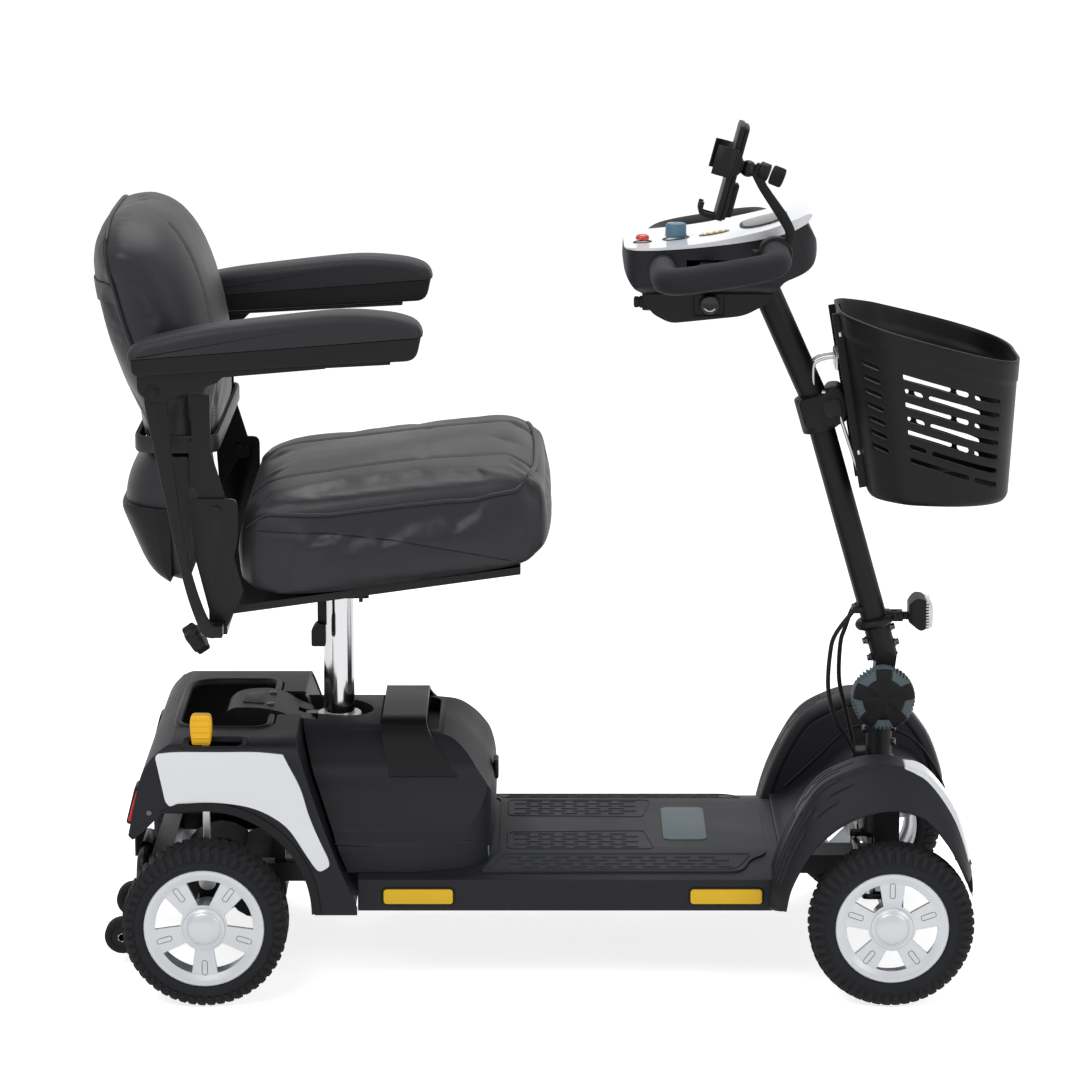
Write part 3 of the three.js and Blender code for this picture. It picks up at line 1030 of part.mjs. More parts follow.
function phoneCradle() {
  const x = CRADLE_X;
  const z = BALL.z;
  const ball = solid(new THREE.SphereGeometry(BALL_RADIUS, 12, 8).translate(x, HOLDER_Y, z));
  const neck = rodX(x - 14, x - 4, HOLDER_Y, z, 7);
  const back = forward(outline([[-30, 56, 14], [30, 56, 14], [30, -72, 6], [-30, -72, 6]], HOLDER_Y, z),
    x - 26, x - 13);
  const foot = join(box(x - 44, x - 20, HOLDER_Y - 16, HOLDER_Y - 10, z - 72, z - 67),
    box(x - 48, x - 44, HOLDER_Y - 16,
    HOLDER_Y - 10, z - 72, z - 56), box(x - 44, x - 20, HOLDER_Y + 10, HOLDER_Y + 16, z - 72, z - 67),
  box(x - 48, x - 44, HOLDER_Y + 10, HOLDER_Y + 16, z - 72, z - 56));
  const fixedJaw = join(box(x - 26, x - 20, HOLDER_Y + 29, HOLDER_Y + 40, z - 14, z + 24), box(x - 48, x - 20,
    HOLDER_Y + 37, HOLDER_Y + 41, z - 14, z + 24));
  const slot = box(x - 22, x - 17, HOLDER_Y - 31, HOLDER_Y + 10, z - 12, z + 22);
  return lean(cut(join(ball, neck, back, foot, fixedJaw), slot));
}

function phoneJaw() {
  const x = CRADLE_X;
  const z = BALL.z;
  const slider = box(x - 21.6, x - 17.4, HOLDER_Y - 38, HOLDER_Y - 4, z - 11.5, z + 21.5);
  const jaw = box(x - 48, x - 17.4, HOLDER_Y - 42, HOLDER_Y - 37, z - 14, z + 24);
  return lean(join(slider, jaw));
}

// ---- Assembly -----------------------------------------------------------------------------------
function addChassis() {
  add('rear_frame', 'frame', rearFrame());
  add('front_frame', 'frame', frontFrame());
  add('transaxle', 'black', transaxle());
  add('foot_deck', 'body', footDeck());
  add('deck_mat', 'mat', deckMat());
  add('front_shroud', 'body', frontShroud());
  add('rear_shroud', 'body', rearShroud());
  add('battery_box', 'body', batteryBox());
  add('post_collar', 'black', postCollar());
  add('release_paddle', 'black', releasePaddle());
  add('freewheel_lever', 'yellow', freewheelLever());
  add('anti_tip_arm', 'frame', antiTipArm());
  add('anti_tip_wheel_left', 'black', antiTipWheel(1));
  add('anti_tip_wheel_right', 'black', antiTipWheel(-1));
}

function addFrontEnd() {
  add('knuckle_left', 'frame', knuckle(1));
  add('knuckle_right', 'frame', knuckle(-1));
  add('tie_rod', 'steel', tieRod());
  add('steering_stem', 'frame', steeringStem());
  add('tilt_knob', 'black', tiltKnob());
  add('tiller_tube', 'frame', tillerTube());
  add('headlight_bracket', 'black', headlightBracket());
  add('headlight', 'lens', headlight());
  add('harness', 'black', harness());
  add('basket_bracket', 'frame', basketBracket());
  add('basket', 'black', basket());
}

function addConsole() {
  add('console_body', 'body', consoleBody());
  add('console_top', 'white', consoleTop());
  add('handlebar', 'black', handlebar(LOOP_RADIUS));
  add('throttle_lever', 'black', throttleLever());
  add('horn_button', 'red', hornButton());
  add('speed_knob', 'blue', speedKnob());
  add('ignition_key', 'black', ignitionKey());
  add('charge_cover', 'black', chargeCover());
  add('phone_arm', 'black', phoneArm());
  add('phone_knob', 'black', phoneKnob());
  add('phone_cradle', 'black', phoneCradle());
  add('phone_jaw', 'black', phoneJaw());
}

function addSeat() {
  add('seat_post', 'steel', seatPost());
  add('swivel_lever', 'black', swivelLever());
  add('seat_frame', 'frame', seatFrame());
  add('seat_cushion', 'vinyl', seatCushion());
  add('back_frame', 'frame', backFrame());
  add('back_cushion', 'vinyl', backCushion());
  add('back_pocket', 'vinyl', backPocket());
  [[1, 'left'], [-1, 'right']].forEach(([side, name]) => {
    add(`arm_upright_${name}`, 'frame', armUpright(side));
    add(`arm_bracket_${name}`, 'frame', armBracket(side));
    add(`arm_pad_${name}`, 'vinyl', armPad(side));
    add(`arm_knob_${name}`, 'black', armKnob(side));
  });
}

addWheels();
addChassis();
addFrontEnd();
addConsole();
addSeat();

// The origin is on the floor under the middle of the scooter's length and width.
const extent = new THREE.Box3().setFromObject(group);
const centre = extent.getCenter(new THREE.Vector3());
group.position.set(-centre.x, -centre.y, -extent.min.z);

export default group;
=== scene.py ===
"""Looks of a four-wheeled mobility scooter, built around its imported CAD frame.

Shapes are worked out in millimetres, with the rear axle at x = -436, +X forward and the floor at z = 0.
"""
import json
import math

import bmesh
import bpy
import numpy as np
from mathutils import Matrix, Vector
from mathutils.bvhtree import BVHTree

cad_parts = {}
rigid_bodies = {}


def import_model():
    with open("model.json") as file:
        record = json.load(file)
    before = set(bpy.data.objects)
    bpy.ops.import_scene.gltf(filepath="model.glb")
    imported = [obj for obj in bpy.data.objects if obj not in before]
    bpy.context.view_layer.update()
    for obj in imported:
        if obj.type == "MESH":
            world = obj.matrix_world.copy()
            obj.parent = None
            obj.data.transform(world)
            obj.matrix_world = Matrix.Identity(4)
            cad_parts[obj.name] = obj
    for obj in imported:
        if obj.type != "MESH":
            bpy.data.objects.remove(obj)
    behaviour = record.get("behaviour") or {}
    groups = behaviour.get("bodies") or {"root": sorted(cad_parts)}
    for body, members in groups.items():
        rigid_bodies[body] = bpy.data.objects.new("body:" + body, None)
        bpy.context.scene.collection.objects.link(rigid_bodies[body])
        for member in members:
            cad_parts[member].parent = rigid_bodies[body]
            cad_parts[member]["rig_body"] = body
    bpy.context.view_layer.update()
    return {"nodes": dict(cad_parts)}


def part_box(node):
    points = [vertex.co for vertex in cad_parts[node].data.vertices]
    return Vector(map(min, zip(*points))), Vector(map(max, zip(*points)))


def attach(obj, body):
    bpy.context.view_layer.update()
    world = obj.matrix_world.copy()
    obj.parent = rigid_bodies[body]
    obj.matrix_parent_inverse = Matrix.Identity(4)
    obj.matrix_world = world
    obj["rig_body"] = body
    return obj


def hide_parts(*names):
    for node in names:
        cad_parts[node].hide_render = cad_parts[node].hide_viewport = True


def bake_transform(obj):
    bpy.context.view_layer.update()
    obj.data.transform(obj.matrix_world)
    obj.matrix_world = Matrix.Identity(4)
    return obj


bl_info = {"name": "Mobility scooter looks",
    "version": (1, 0, 0),
    "blender": (4, 5, 0),
    "location": "View3D > Sidebar > Scooter",
    "description": "Builds the visible pieces of a mobility scooter around its CAD frame",
    "category": "Object"}

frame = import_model()

MM = 0.001
REAR_AXLE = -436.0
_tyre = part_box("rear_tyre_left")
ORIGIN = np.array([(_tyre[0].x + _tyre[1].x) / 2 - REAR_AXLE * MM, 0.0, 0.0])


def box_mm(node):
    """Lowest and highest corner of a CAD node, in this file's millimetres."""
    low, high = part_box(node)
    return (np.array(low) - ORIGIN) / MM, (np.array(high) - ORIGIN) / MM


# ---- Places taken from the frame ---------------------------------------------------------------
FRONT_AXLE = float(np.mean([corner[0] for corner in box_mm("front_tyre_left")]))
WHEEL_RADIUS = float(box_mm("rear_tyre_left")[1][2] / 2)
AXLE_Z = WHEEL_RADIUS
DECK_LOW, DECK_HIGH = box_mm("foot_deck")
DECK_TOP = float(DECK_HIGH[2])
DECK_REAR = float(DECK_LOW[0])
DECK_FRONT = float(DECK_HIGH[0])
DECK_HALF = float(DECK_HIGH[1])
POST_X = float(np.mean([corner[0] for corner in box_mm("seat_post")]))
SEAT_Z = float(box_mm("seat_post")[1][2])
HINGE = np.array([POST_X - 145, 0.0, SEAT_Z + 145])
ARM_PIVOT = np.array([POST_X - 219, 0.0, SEAT_Z + 307])
TILT = np.array([FRONT_AXLE + 1, 0.0, DECK_TOP + 192])
TILLER_FOOT = TILT + (5, 0, 46)
TILLER_LEAN = math.radians(16)
TILLER_AXIS = np.array([-math.sin(TILLER_LEAN), 0.0, math.cos(TILLER_LEAN)])
TILLER_BEND = TILLER_FOOT + 374 * TILLER_AXIS
TILLER_HEAD = TILLER_BEND + (-66, 0, 146)
CONSOLE = TILLER_HEAD + (-57, 0, 29)
PROUD = 0.4  # a tyre stands this much off its rim
SIDES = (("left", 1), ("right", -1))
FINISH = {}  # the materials by name, made by the first operator


# ---- Curves ------------------------------------------------------------------------------------
def smooth(points, count=None, closed=False):
    """A Catmull-Rom curve through the points, sampled evenly between each pair of them."""
    points = np.asarray(points, float)
    spans = len(points) if closed else len(points) - 1
    each = 8 if count is None else max(1, round(count / spans))
    if closed:
        padded = np.concatenate([points[-1:], points, points[:2]])
    else:
        padded = np.concatenate([2 * points[:1] - points[1:2], points, 2 * points[-1:] - points[-2:-1]])
    a, b, c, d = (padded[k:k + spans, None, :] for k in range(4))
    t = (np.arange(each) / each)[None, :, None]
    value = 0.5 * (2 * b + (c - a) * t + (2 * a - 5 * b + 4 * c - d) * t ** 2 + (3 * b - a - 3 * c + d) * t ** 3)
    value = value.reshape(-1, points.shape[1])
    return value if closed else np.concatenate([value, points[-1:]])


def resample(points, count, closed=False):
    """The same line with its points at even distances along it."""
    points = np.asarray(points, float)
    if closed:
        points = np.concatenate([points, points[:1]])
    reach = np.concatenate([[0], np.cumsum(np.linalg.norm(np.diff(points, axis=0), axis=1))])
    places = np.linspace(0, reach[-1], count + 1 if closed else count)
    if closed:
        places = places[:-1]
    return np.stack([np.interp(places, reach, points[:, k]) for k in range(points.shape[1])], -1)


def rounded(corners, steps=6):
    """A closed outline of (a, b, radius) corners, each turned through a quadratic curve."""
    corners = [tuple(corner) + (0,) * (3 - len(corner)) for corner in corners]
    t = np.linspace(0, 1, steps + 1)[:, None]
    places = []
    for index, (a, b, radius) in enumerate(corners):
        corner = np.array([a, b], float)
        before = np.array(corners[index - 1][:2], float) - corner
        after = np.array(corners[(index + 1) % len(corners)][:2], float) - corner
        if radius <= 0:
            places.append(corner[None])
            continue
        start = corner + before * min(radius / np.linalg.norm(before), 0.48)
        end = corner + after * min(radius / np.linalg.norm(after), 0.48)
        places.append((1 - t) ** 2 * start + 2 * t * (1 - t) * corner + t ** 2 * end)
    return np.concatenate(places)


def coords(*parts):
    """Points from their coordinates; a plain number holds for every point."""
    return np.stack(np.broadcast_arrays(*parts), -1)


def circle(radius, count=48, centre=(0, 0), start=0.0):
    angle = start + np.arange(count) * 2 * np.pi / count
    return coords(centre[0] + radius * np.cos(angle), centre[1] + radius * np.sin(angle))


def mirror_outline(half):
    """A whole outline from the half with a > 0, given from the middle outwards and back."""
    half = [tuple(corner) for corner in half]
    other = [(-corner[0], *corner[1:]) for corner in half if corner[0] != 0]
    return half + other[::-1]


def signed_area(outline):
    a, b = outline[:, 0], outline[:, 1]
    return 0.5 * np.sum(a * np.roll(b, -1) - np.roll(a, -1) * b)


def inset(outline, distance):
    """The outline moved inwards along the mean normal of its two edges at each point."""
    outline = np.asarray(outline, float)
    turn = 1 if signed_area(outline) > 0 else -1
    edge = np.roll(outline, -1, 0) - outline
    edge /= np.maximum(np.linalg.norm(edge, axis=1, keepdims=True), 1e-9)
    normal = coords(-edge[:, 1], edge[:, 0]) * turn
    mean = normal + np.roll(normal, 1, 0)
    mean /= np.maximum(np.linalg.norm(mean, axis=1, keepdims=True), 1e-9)
    stretch = np.clip(1 / np.maximum(np.sum(mean * normal, axis=1, keepdims=True), 0.4), 1, 2)
    return outline + mean * stretch * distance


# ---- Surfaces: each gives (points, faces) ------------------------------------------------------
def quads(rows, columns, wrap_rows=False, wrap_columns=True):
    """Faces of a rows by columns grid of points, joined end to end where it wraps."""
    i, j = np.meshgrid(np.arange(rows if wrap_rows else rows - 1),
        np.arange(columns if wrap_columns else columns - 1), indexing="ij")
    i2, j2 = (i + 1) % rows, (j + 1) % columns
    return np.stack([i * columns + j, i * columns + j2, i2 * columns + j2, i2 * columns + j], -1).reshape(-1, 4)


def skin(rings, caps=True, wrap_rows=False, wrap_columns=True):
    """A surface through rings of equally many points. caps closes its two ends with flat faces."""
    rings = np.asarray(rings, float)
    rows, columns = rings.shape[:2]
    faces = quads(rows, columns, wrap_rows, wrap_columns).tolist()
    if caps and wrap_columns and not wrap_rows:
        faces.append(list(range(columns))[::-1])
        faces.append(list(range((rows - 1) * columns, rows * columns)))
    return rings.reshape(-1, 3), faces


def turn_basis(axis):
    """Two unit vectors square to the axis, the first as near to straight up or forward as can be."""
    axis = np.asarray(axis, float) / np.linalg.norm(axis)
    guide = np.array([0, 0, 1.0]) if abs(axis[2]) < 0.9 else np.array([1.0, 0, 0])
    first = guide - axis * (guide @ axis)
    first /= np.linalg.norm(first)
    return axis, first, np.cross(axis, first)


def lathe(profile, centre, axis=(0, 1, 0), sides=64):
    """A turned shape: point(i, j) = centre + along_i axis + radius_i (cos t_j first + sin t_j second)."""
    profile = np.asarray(profile, float)
    axis, first, second = turn_basis(axis)
    angle = np.arange(sides) * 2 * np.pi / sides
    around = np.cos(angle)[:, None] * first + np.sin(angle)[:, None] * second
    rings = np.asarray(centre, float) + profile[:, 1, None, None] * axis + profile[:, 0, None, None] * around
    return skin(rings)


def rod(start, end, radius, sides=32, edge=0.8):
    """A round bar with softened ends."""
    start, end = np.asarray(start, float), np.asarray(end, float)
    length = np.linalg.norm(end - start)
    edge = min(edge, radius * 0.45, length * 0.45)
    profile = [[radius - edge, 0], [radius - edge * 0.3, edge * 0.3], [radius, edge], [radius, length - edge],
        [radius - edge * 0.3, length - edge * 0.3], [radius - edge, length]]
    return lathe(profile, start, end - start, sides)


def along(path, up=(0, 0, 1)):
    """Tangent, side and lift of a path: side is square to the tangent and to up, turned smoothly."""
    path = np.asarray(path, float)
    tangent = np.gradient(path, axis=0)
    tangent /= np.linalg.norm(tangent, axis=1, keepdims=True)
    side = np.cross(np.broadcast_to(up, tangent.shape), tangent)
    side /= np.maximum(np.linalg.norm(side, axis=1, keepdims=True), 1e-9)
    return tangent, side, np.cross(tangent, side)


def sweep(path, profile, up=(0, 0, 1), scale=None, caps=True, wrap=False):
    """A profile of (side, lift) points carried along a path."""
    path, profile = np.asarray(path, float), np.asarray(profile, float)
    tangent, side, lift = along(path, up)
    if wrap:
        tangent = np.roll(path, -1, 0) - np.roll(path, 1, 0)
        tangent /= np.linalg.norm(tangent, axis=1, keepdims=True)
        side = np.cross(np.broadcast_to(up, tangent.shape), tangent)
        side /= np.linalg.norm(side, axis=1, keepdims=True)
        lift = np.cross(tangent, side)
    scale = np.ones(len(path)) if scale is None else np.asarray(scale, float)
    rings = path[:, None] + scale[:, None, None] * (profile[None, :, 0, None] * side[:, None]
        + profile[None, :, 1, None] * lift[:, None])
    return skin(rings, caps=caps, wrap_rows=wrap)


def tube(path, radius, sides=20, up=(0, 0, 1), wrap=False):
    """A round tube along a path; radius is one number or one for each point."""
    scale = np.broadcast_to(np.asarray(radius, float), (len(path),))
    return sweep(path, circle(1.0, sides), up, scale, wrap=wrap)


def to_space(outline, height, across):
    """Puts (a, b) points at a height: across 'y' gives (a, height, b), 'z' (a, b, height), 'x' (height, a, b)."""
    outline = np.asarray(outline, float)
    level = np.broadcast_to(np.asarray(height, float), outline.shape[:1])
    order = {"y": (outline[:, 0], level, outline[:, 1]),
        "z": (outline[:, 0], outline[:, 1], level),
        "x": (level, outline[:, 0], outline[:, 1])}
    return np.stack(order[across], -1)


def slab(outline, low, high, across="y", edge=1.0, steps=3):
    """An outline with thickness, its two rims rolled over through a quarter circle of radius edge."""
    low, high = min(low, high), max(low, high)
    edge = min(edge, (high - low) * 0.49)
    turn = np.linspace(0, np.pi / 2, steps + 1)
    rings = []
    for angle in turn:
        rings.append(to_space(inset(outline, edge * (1 - math.sin(angle))), low + edge * (1 - math.cos(angle)),
            across))
    for angle in turn[::-1]:
        rings.append(to_space(inset(outline, edge * (1 - math.sin(angle))), high - edge * (1 - math.cos(angle)),
            across))
    return skin(rings)


def block(low, high, edge=1.0, corner=0.0):
    """A box with rolled edges and, seen from above, rounded corners."""
    corner = max(corner, edge)
    plan = rounded([(low[0], low[1], corner), (high[0], low[1], corner), (high[0], high[1], corner),
        (low[0], high[1], corner)], 3)
    return slab(plan, low[2], high[2], "z", edge)


def merged(*shapes):
    """Several (points, faces) as one."""
    points, faces, count = [], [], 0
    for shape_points, shape_faces in shapes:
        points.append(shape_points)
        faces += [[corner + count for corner in face] for face in shape_faces]
        count += len(shape_points)
    return np.concatenate(points), faces


def flipped(shape):
    """The shape with its faces turned round."""
    points, faces = shape
    return points, [list(face)[::-1] for face in faces]


def turned(points, centre, axis, degrees):
    """Points turned about an axis through a centre (Rodrigues' formula)."""
    axis = np.asarray(axis, float) / np.linalg.norm(axis)
    angle = math.radians(degrees)
    arm = np.asarray(points, float) - centre
    return (centre + arm * math.cos(angle) + np.cross(axis, arm) * math.sin(angle) + axis * (arm @ axis)[..., None]
        * (1 - math.cos(angle)))


def volume(points, faces):
    """Signed volume of a closed surface, from the fans of its faces."""
    total = 0.0
    sizes = {}
    for face in faces:
        sizes.setdefault(len(face), []).append(face)
    for size, group in sizes.items():
        corner = points[np.array(group)]
        for k in range(1, size - 1):
            total += np.einsum("ij,ij->i", corner[:, 0], np.cross(corner[:, k], corner[:, k + 1])).sum() / 6
    return total


def outwards(shape):
    """The closed shape with its faces turned outwards."""
    return flipped(shape) if volume(*shape) < 0 else shape


# ---- Objects -----------------------------------------------------------------------------------
def add_modifier(obj, kind, **values):
    modifier = obj.modifiers.new(kind.title(), kind)
    for key, value in values.items():
        setattr(modifier, key, value)
    return modifier


def soften(obj, width, angle=35, segments=2, harden=True):
    """Rounds the edges sharper than an angle in degrees; the width is in millimetres."""
    add_modifier(obj, "BEVEL", width=width * MM, segments=segments, limit_method="ANGLE",
        angle_limit=math.radians(angle), harden_normals=harden)


def thicken(obj, wall):
    """Gives an open surface a wall, on the side away from its faces."""
    add_modifier(obj, "SOLIDIFY", thickness=wall * MM, offset=-1.0)


def finished(obj, finish, body, replaces=(), sharp=32):
    """Gives a made object its finish, its body and the CAD nodes that it stands for."""
    obj.data.materials.clear()
    obj.data.materials.append(FINISH[finish])
    obj.data.shade_smooth()
    obj.data.set_sharp_from_angle(angle=math.radians(sharp))
    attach(obj, body)
    if replaces:
        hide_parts(*([replaces] if isinstance(replaces, str) else replaces))
    return obj


def linked(name, mesh):
    obj = bpy.data.objects.new(name, mesh)
    bpy.context.scene.collection.objects.link(obj)
    return obj


def loose(name, shape, closed=True):
    """A plain mesh object from a shape in millimetres, its faces outwards if it is closed."""
    points, faces = outwards(shape) if closed else shape
    mesh = bpy.data.meshes.new(name)
    mesh.from_pydata((points * MM + ORIGIN).tolist(), [], faces)
    mesh.validate()
    return linked(name, mesh)


def piece(name, shape, finish, body, replaces=(), sharp=32, closed=True, wall=0.0, bevel=0.0):
    """A finished piece from a shape in millimetres."""
    obj = loose(name, shape, closed)
    if wall:
        add_modifier(obj, "SOLIDIFY", thickness=wall * MM, offset=-1.0, use_even_offset=True)
    if bevel:
        soften(obj, bevel)
    return finished(obj, finish, body, replaces, sharp)


def refined(node, finish, bevel=0.8, sharp=32):
    """A merged copy of a CAD node with its hard edges softened, which stands for the node."""
    mesh = frame["nodes"][node].data.copy()
    work = bmesh.new()
    work.from_mesh(mesh)
    bmesh.ops.remove_doubles(work, verts=work.verts, dist=2e-6)
    bmesh.ops.dissolve_limit(work, angle_limit=math.radians(0.5), verts=work.verts, edges=work.edges)
    work.to_mesh(mesh)
    work.free()
    obj = linked(node + "_skin", mesh)
    soften(obj, bevel)
    body = frame["nodes"][node]["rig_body"]
    return finished(obj, finish, body, node, sharp)


# ---- Materials ---------------------------------------------------------------------------------
class Shader:
    """A small helper that adds nodes to one material and joins them up."""

    def __init__(self, name):
        self.material = bpy.data.materials.new(name)
        self.material.use_nodes = True
        self.tree = self.material.node_tree
        self.surface = self.tree.nodes["Principled BSDF"]
        self.place = self.node("ShaderNodeTexCoord").outputs["Object"]

    def node(self, kind, **values):
        node = self.tree.nodes.new(kind)
        for key, value in values.items():
            setattr(node, key, value)
        return node

    def join(self, output, target):
        self.tree.links.new(output, target)

    def set(self, **values):
        names = {"metallic": "Metallic",
            "coat": "Coat Weight",
            "coat_rough": "Coat Roughness",
            "sheen": "Sheen Weight",
            "specular": "Specular IOR Level",
            "roughness": "Roughness"}
        for key, value in values.items():
            self.surface.inputs[names[key]].default_value = value

    def stretched(self, scale):
        mapping = self.node("ShaderNodeMapping")
        mapping.inputs["Scale"].default_value = scale
        self.join(self.place, mapping.inputs["Vector"])
        return mapping.outputs["Vector"]

    def noise(self, scale, detail=2.0, place=None):
        noise = self.node("ShaderNodeTexNoise")
        noise.inputs["Scale"].default_value = scale
        noise.inputs["Detail"].default_value = detail
        self.join(place or self.place, noise.inputs["Vector"])
        return noise.outputs["Fac"]

    def cells(self, scale, feature="F1", randomness=1.0, place=None):
        cells = self.node("ShaderNodeTexVoronoi", feature=feature)
        cells.inputs["Scale"].default_value = scale
        cells.inputs["Randomness"].default_value = randomness
        self.join(place or self.place, cells.inputs["Vector"])
        return cells.outputs["Distance"]

    def spread(self, value, low, high, from_low=0.3, from_high=0.7):
        reach = self.node("ShaderNodeMapRange")
        for key, number in (("From Min", from_low), ("From Max", from_high), ("To Min", low), ("To Max", high)):
            reach.inputs[key].default_value = number
        self.join(value, reach.inputs["Value"])
        return reach.outputs["Result"]

    def sum(self, first, second, share):
        scaled = self.node("ShaderNodeMath", operation="MULTIPLY_ADD")
        scaled.inputs[1].default_value = share
        self.join(second, scaled.inputs[0])
        self.join(first, scaled.inputs[2])
        return scaled.outputs[0]

    def colour(self, factor, first, second):
        mix = self.node("ShaderNodeMix", data_type="RGBA")
        mix.inputs[6].default_value = (*first, 1)
        mix.inputs[7].default_value = (*second, 1)
        self.join(factor, mix.inputs["Factor"])
        self.join(mix.outputs[2], self.surface.inputs["Base Color"])

    def rough(self, factor, low, high):
        self.join(self.spread(factor, low, high), self.surface.inputs["Roughness"])

    def bump(self, height, strength, depth_mm):
        bump = self.node("ShaderNodeBump")
        bump.inputs["Strength"].default_value = strength
        bump.inputs["Distance"].default_value = depth_mm * MM
        self.join(height, bump.inputs["Height"])
        self.join(bump.outputs["Normal"], self.surface.inputs["Normal"])


def shade(colour, factor):
    return tuple(min(1.0, channel * factor) for channel in colour)


def moulded(name, colour, low, high, grain=700.0, depth=0.05, strength=0.5, mottle=0.08, **settings):
    """Moulded plastic or paint: a fine grain in the bump, cloudy roughness and a faint drift in colour."""
    shader = Shader(name)
    cloud = shader.noise(9.0, 3.0)
    fine = shader.noise(grain, 3.0)
    shader.colour(cloud, shade(colour, 1 - mottle), shade(colour, 1 + mottle))
    shader.rough(shader.sum(cloud, fine, 0.4), low, high)
    shader.bump(fine, strength, depth)
    shader.set(**settings)
    return shader.material


def vinyl(name, colour):
    """Upholstery vinyl: pebbled cells, long soft creases and a rubbed sheen on the high places."""
    shader = Shader(name)
    pebbles = shader.cells(620.0, "SMOOTH_F1")
    pores = shader.noise(1500.0, 2.0)
    creases = shader.noise(26.0, 5.0, shader.stretched((1.0, 1.6, 2.6)))
    rubbed = shader.noise(7.0, 4.0)
    height = shader.sum(shader.sum(pebbles, pores, 0.35), creases, 2.6)
    shader.colour(rubbed, shade(colour, 0.86), shade(colour, 1.16))
    shader.rough(shader.sum(rubbed, pebbles, 0.25), 0.36, 0.52)
    shader.bump(height, 0.32, 0.16)
    shader.set(specular=0.3, sheen=0.03)
    return shader.material


def metal(name, colour, low, high, brushed=(1, 1, 1), grain=400.0, depth=0.01, **settings):
    """Bare or plated metal: fine drawn lines along one way and a few cloudy smears."""
    shader = Shader(name)
    lines = shader.noise(grain, 3.0, shader.stretched(brushed))
    smear = shader.noise(14.0, 4.0)
    shader.colour(smear, shade(colour, 0.93), shade(colour, 1.04))
    shader.rough(shader.sum(smear, lines, 0.3), low, high)
    shader.bump(lines, 0.12, depth)
    shader.set(metallic=1.0, **settings)
    return shader.material


def tyre_rubber(name, colour):
    """Tyre rubber: moulding grain, faint dust in the low places."""
    shader = Shader(name)
    grain = shader.noise(900.0, 3.0)
    dust = shader.noise(34.0, 5.0)
    shader.colour(dust, shade(colour, 0.85), shade(colour, 1.35))
    shader.rough(shader.sum(dust, grain, 0.3), 0.58, 0.82)
    shader.bump(shader.sum(grain, dust, 1.2), 0.4, 0.08)
    shader.set(specular=0.15)
    return shader.material


def reflector(name, colour, pitch_mm):
    """A moulded reflector: rows of small cube corners under a smooth face, each with a painted highlight that makes
    it lighter in its middle and darker towards its edges.
    """
    shader = Shader(name)
    cells = shader.cells(1000.0 / pitch_mm, "F1", 0.0)
    # painted highlight: each cube corner's colour runs from lighter at its middle to darker at its edges
    shader.colour(shader.spread(cells, 0.0, 1.0, 0.1, 0.6), shade(colour, 1.05), shade(colour, 0.8))
    shader.rough(cells, 0.16, 0.3)
    shader.bump(cells, 0.5, 0.4)
    shader.set(specular=0.3)
    return shader.material


# ---- Settings ----------------------------------------------------------------------------------
def tint(name, description, value):
    return bpy.props.FloatVectorProperty(name=name, description=description, default=value, size=3, min=0, max=1,
        subtype="COLOR")


class ScooterColours(bpy.types.PropertyGroup):
    charcoal: tint("Charcoal", "Moulded covers, deck and console", (0.0125, 0.013, 0.0165))
    black: tint("Black", "Painted tubes, basket and small fittings", (0.004, 0.004, 0.005))
    vinyl: tint("Vinyl", "Seat, backrest and arm pads", (0.0115, 0.012, 0.0145))
    white: tint("White", "Console top and side panels", (0.84, 0.86, 0.89))
    yellow: tint("Yellow", "Freewheel lever", (0.96, 0.52, 0.004))
    red: tint("Red", "Horn button and tail lights", (0.6, 0.03, 0.02))
    blue: tint("Blue", "Speed knob", (0.078, 0.168, 0.242))


class ScooterSizes(bpy.types.PropertyGroup):
    tread_depth: bpy.props.FloatProperty(name="Tread depth", description="Height of the tyres' lugs", default=0.0028,
        min=0, max=0.006, unit="LENGTH")
    lugs: bpy.props.IntProperty(name="Lugs", description="Lugs round each tyre's shoulder", default=52, min=12,
        max=60)
    piping: bpy.props.FloatProperty(name="Piping", description="Radius of the cord sewn round the cushions",
        default=0.003, min=0.001, max=0.006, unit="LENGTH")
    cable: bpy.props.FloatProperty(name="Cable", description="Radius of the two cables down the tiller",
        default=0.003, min=0.001, max=0.006, unit="LENGTH")


# ---- Pieces kept from the frame -------------------------------------------------------------------
KEPT = (("rear_frame", "gloss_black", "frame"), ("front_frame", "gloss_black", "frame"),
    ("seat_frame", "gloss_black", "frame"), ("back_frame", "gloss_black", "frame"),
    ("knuckle_left", "gloss_black", "frame"), ("knuckle_right", "gloss_black", "frame"),
    ("transaxle", "drive", "drive"), ("tie_rod", "zinc", "steel"))


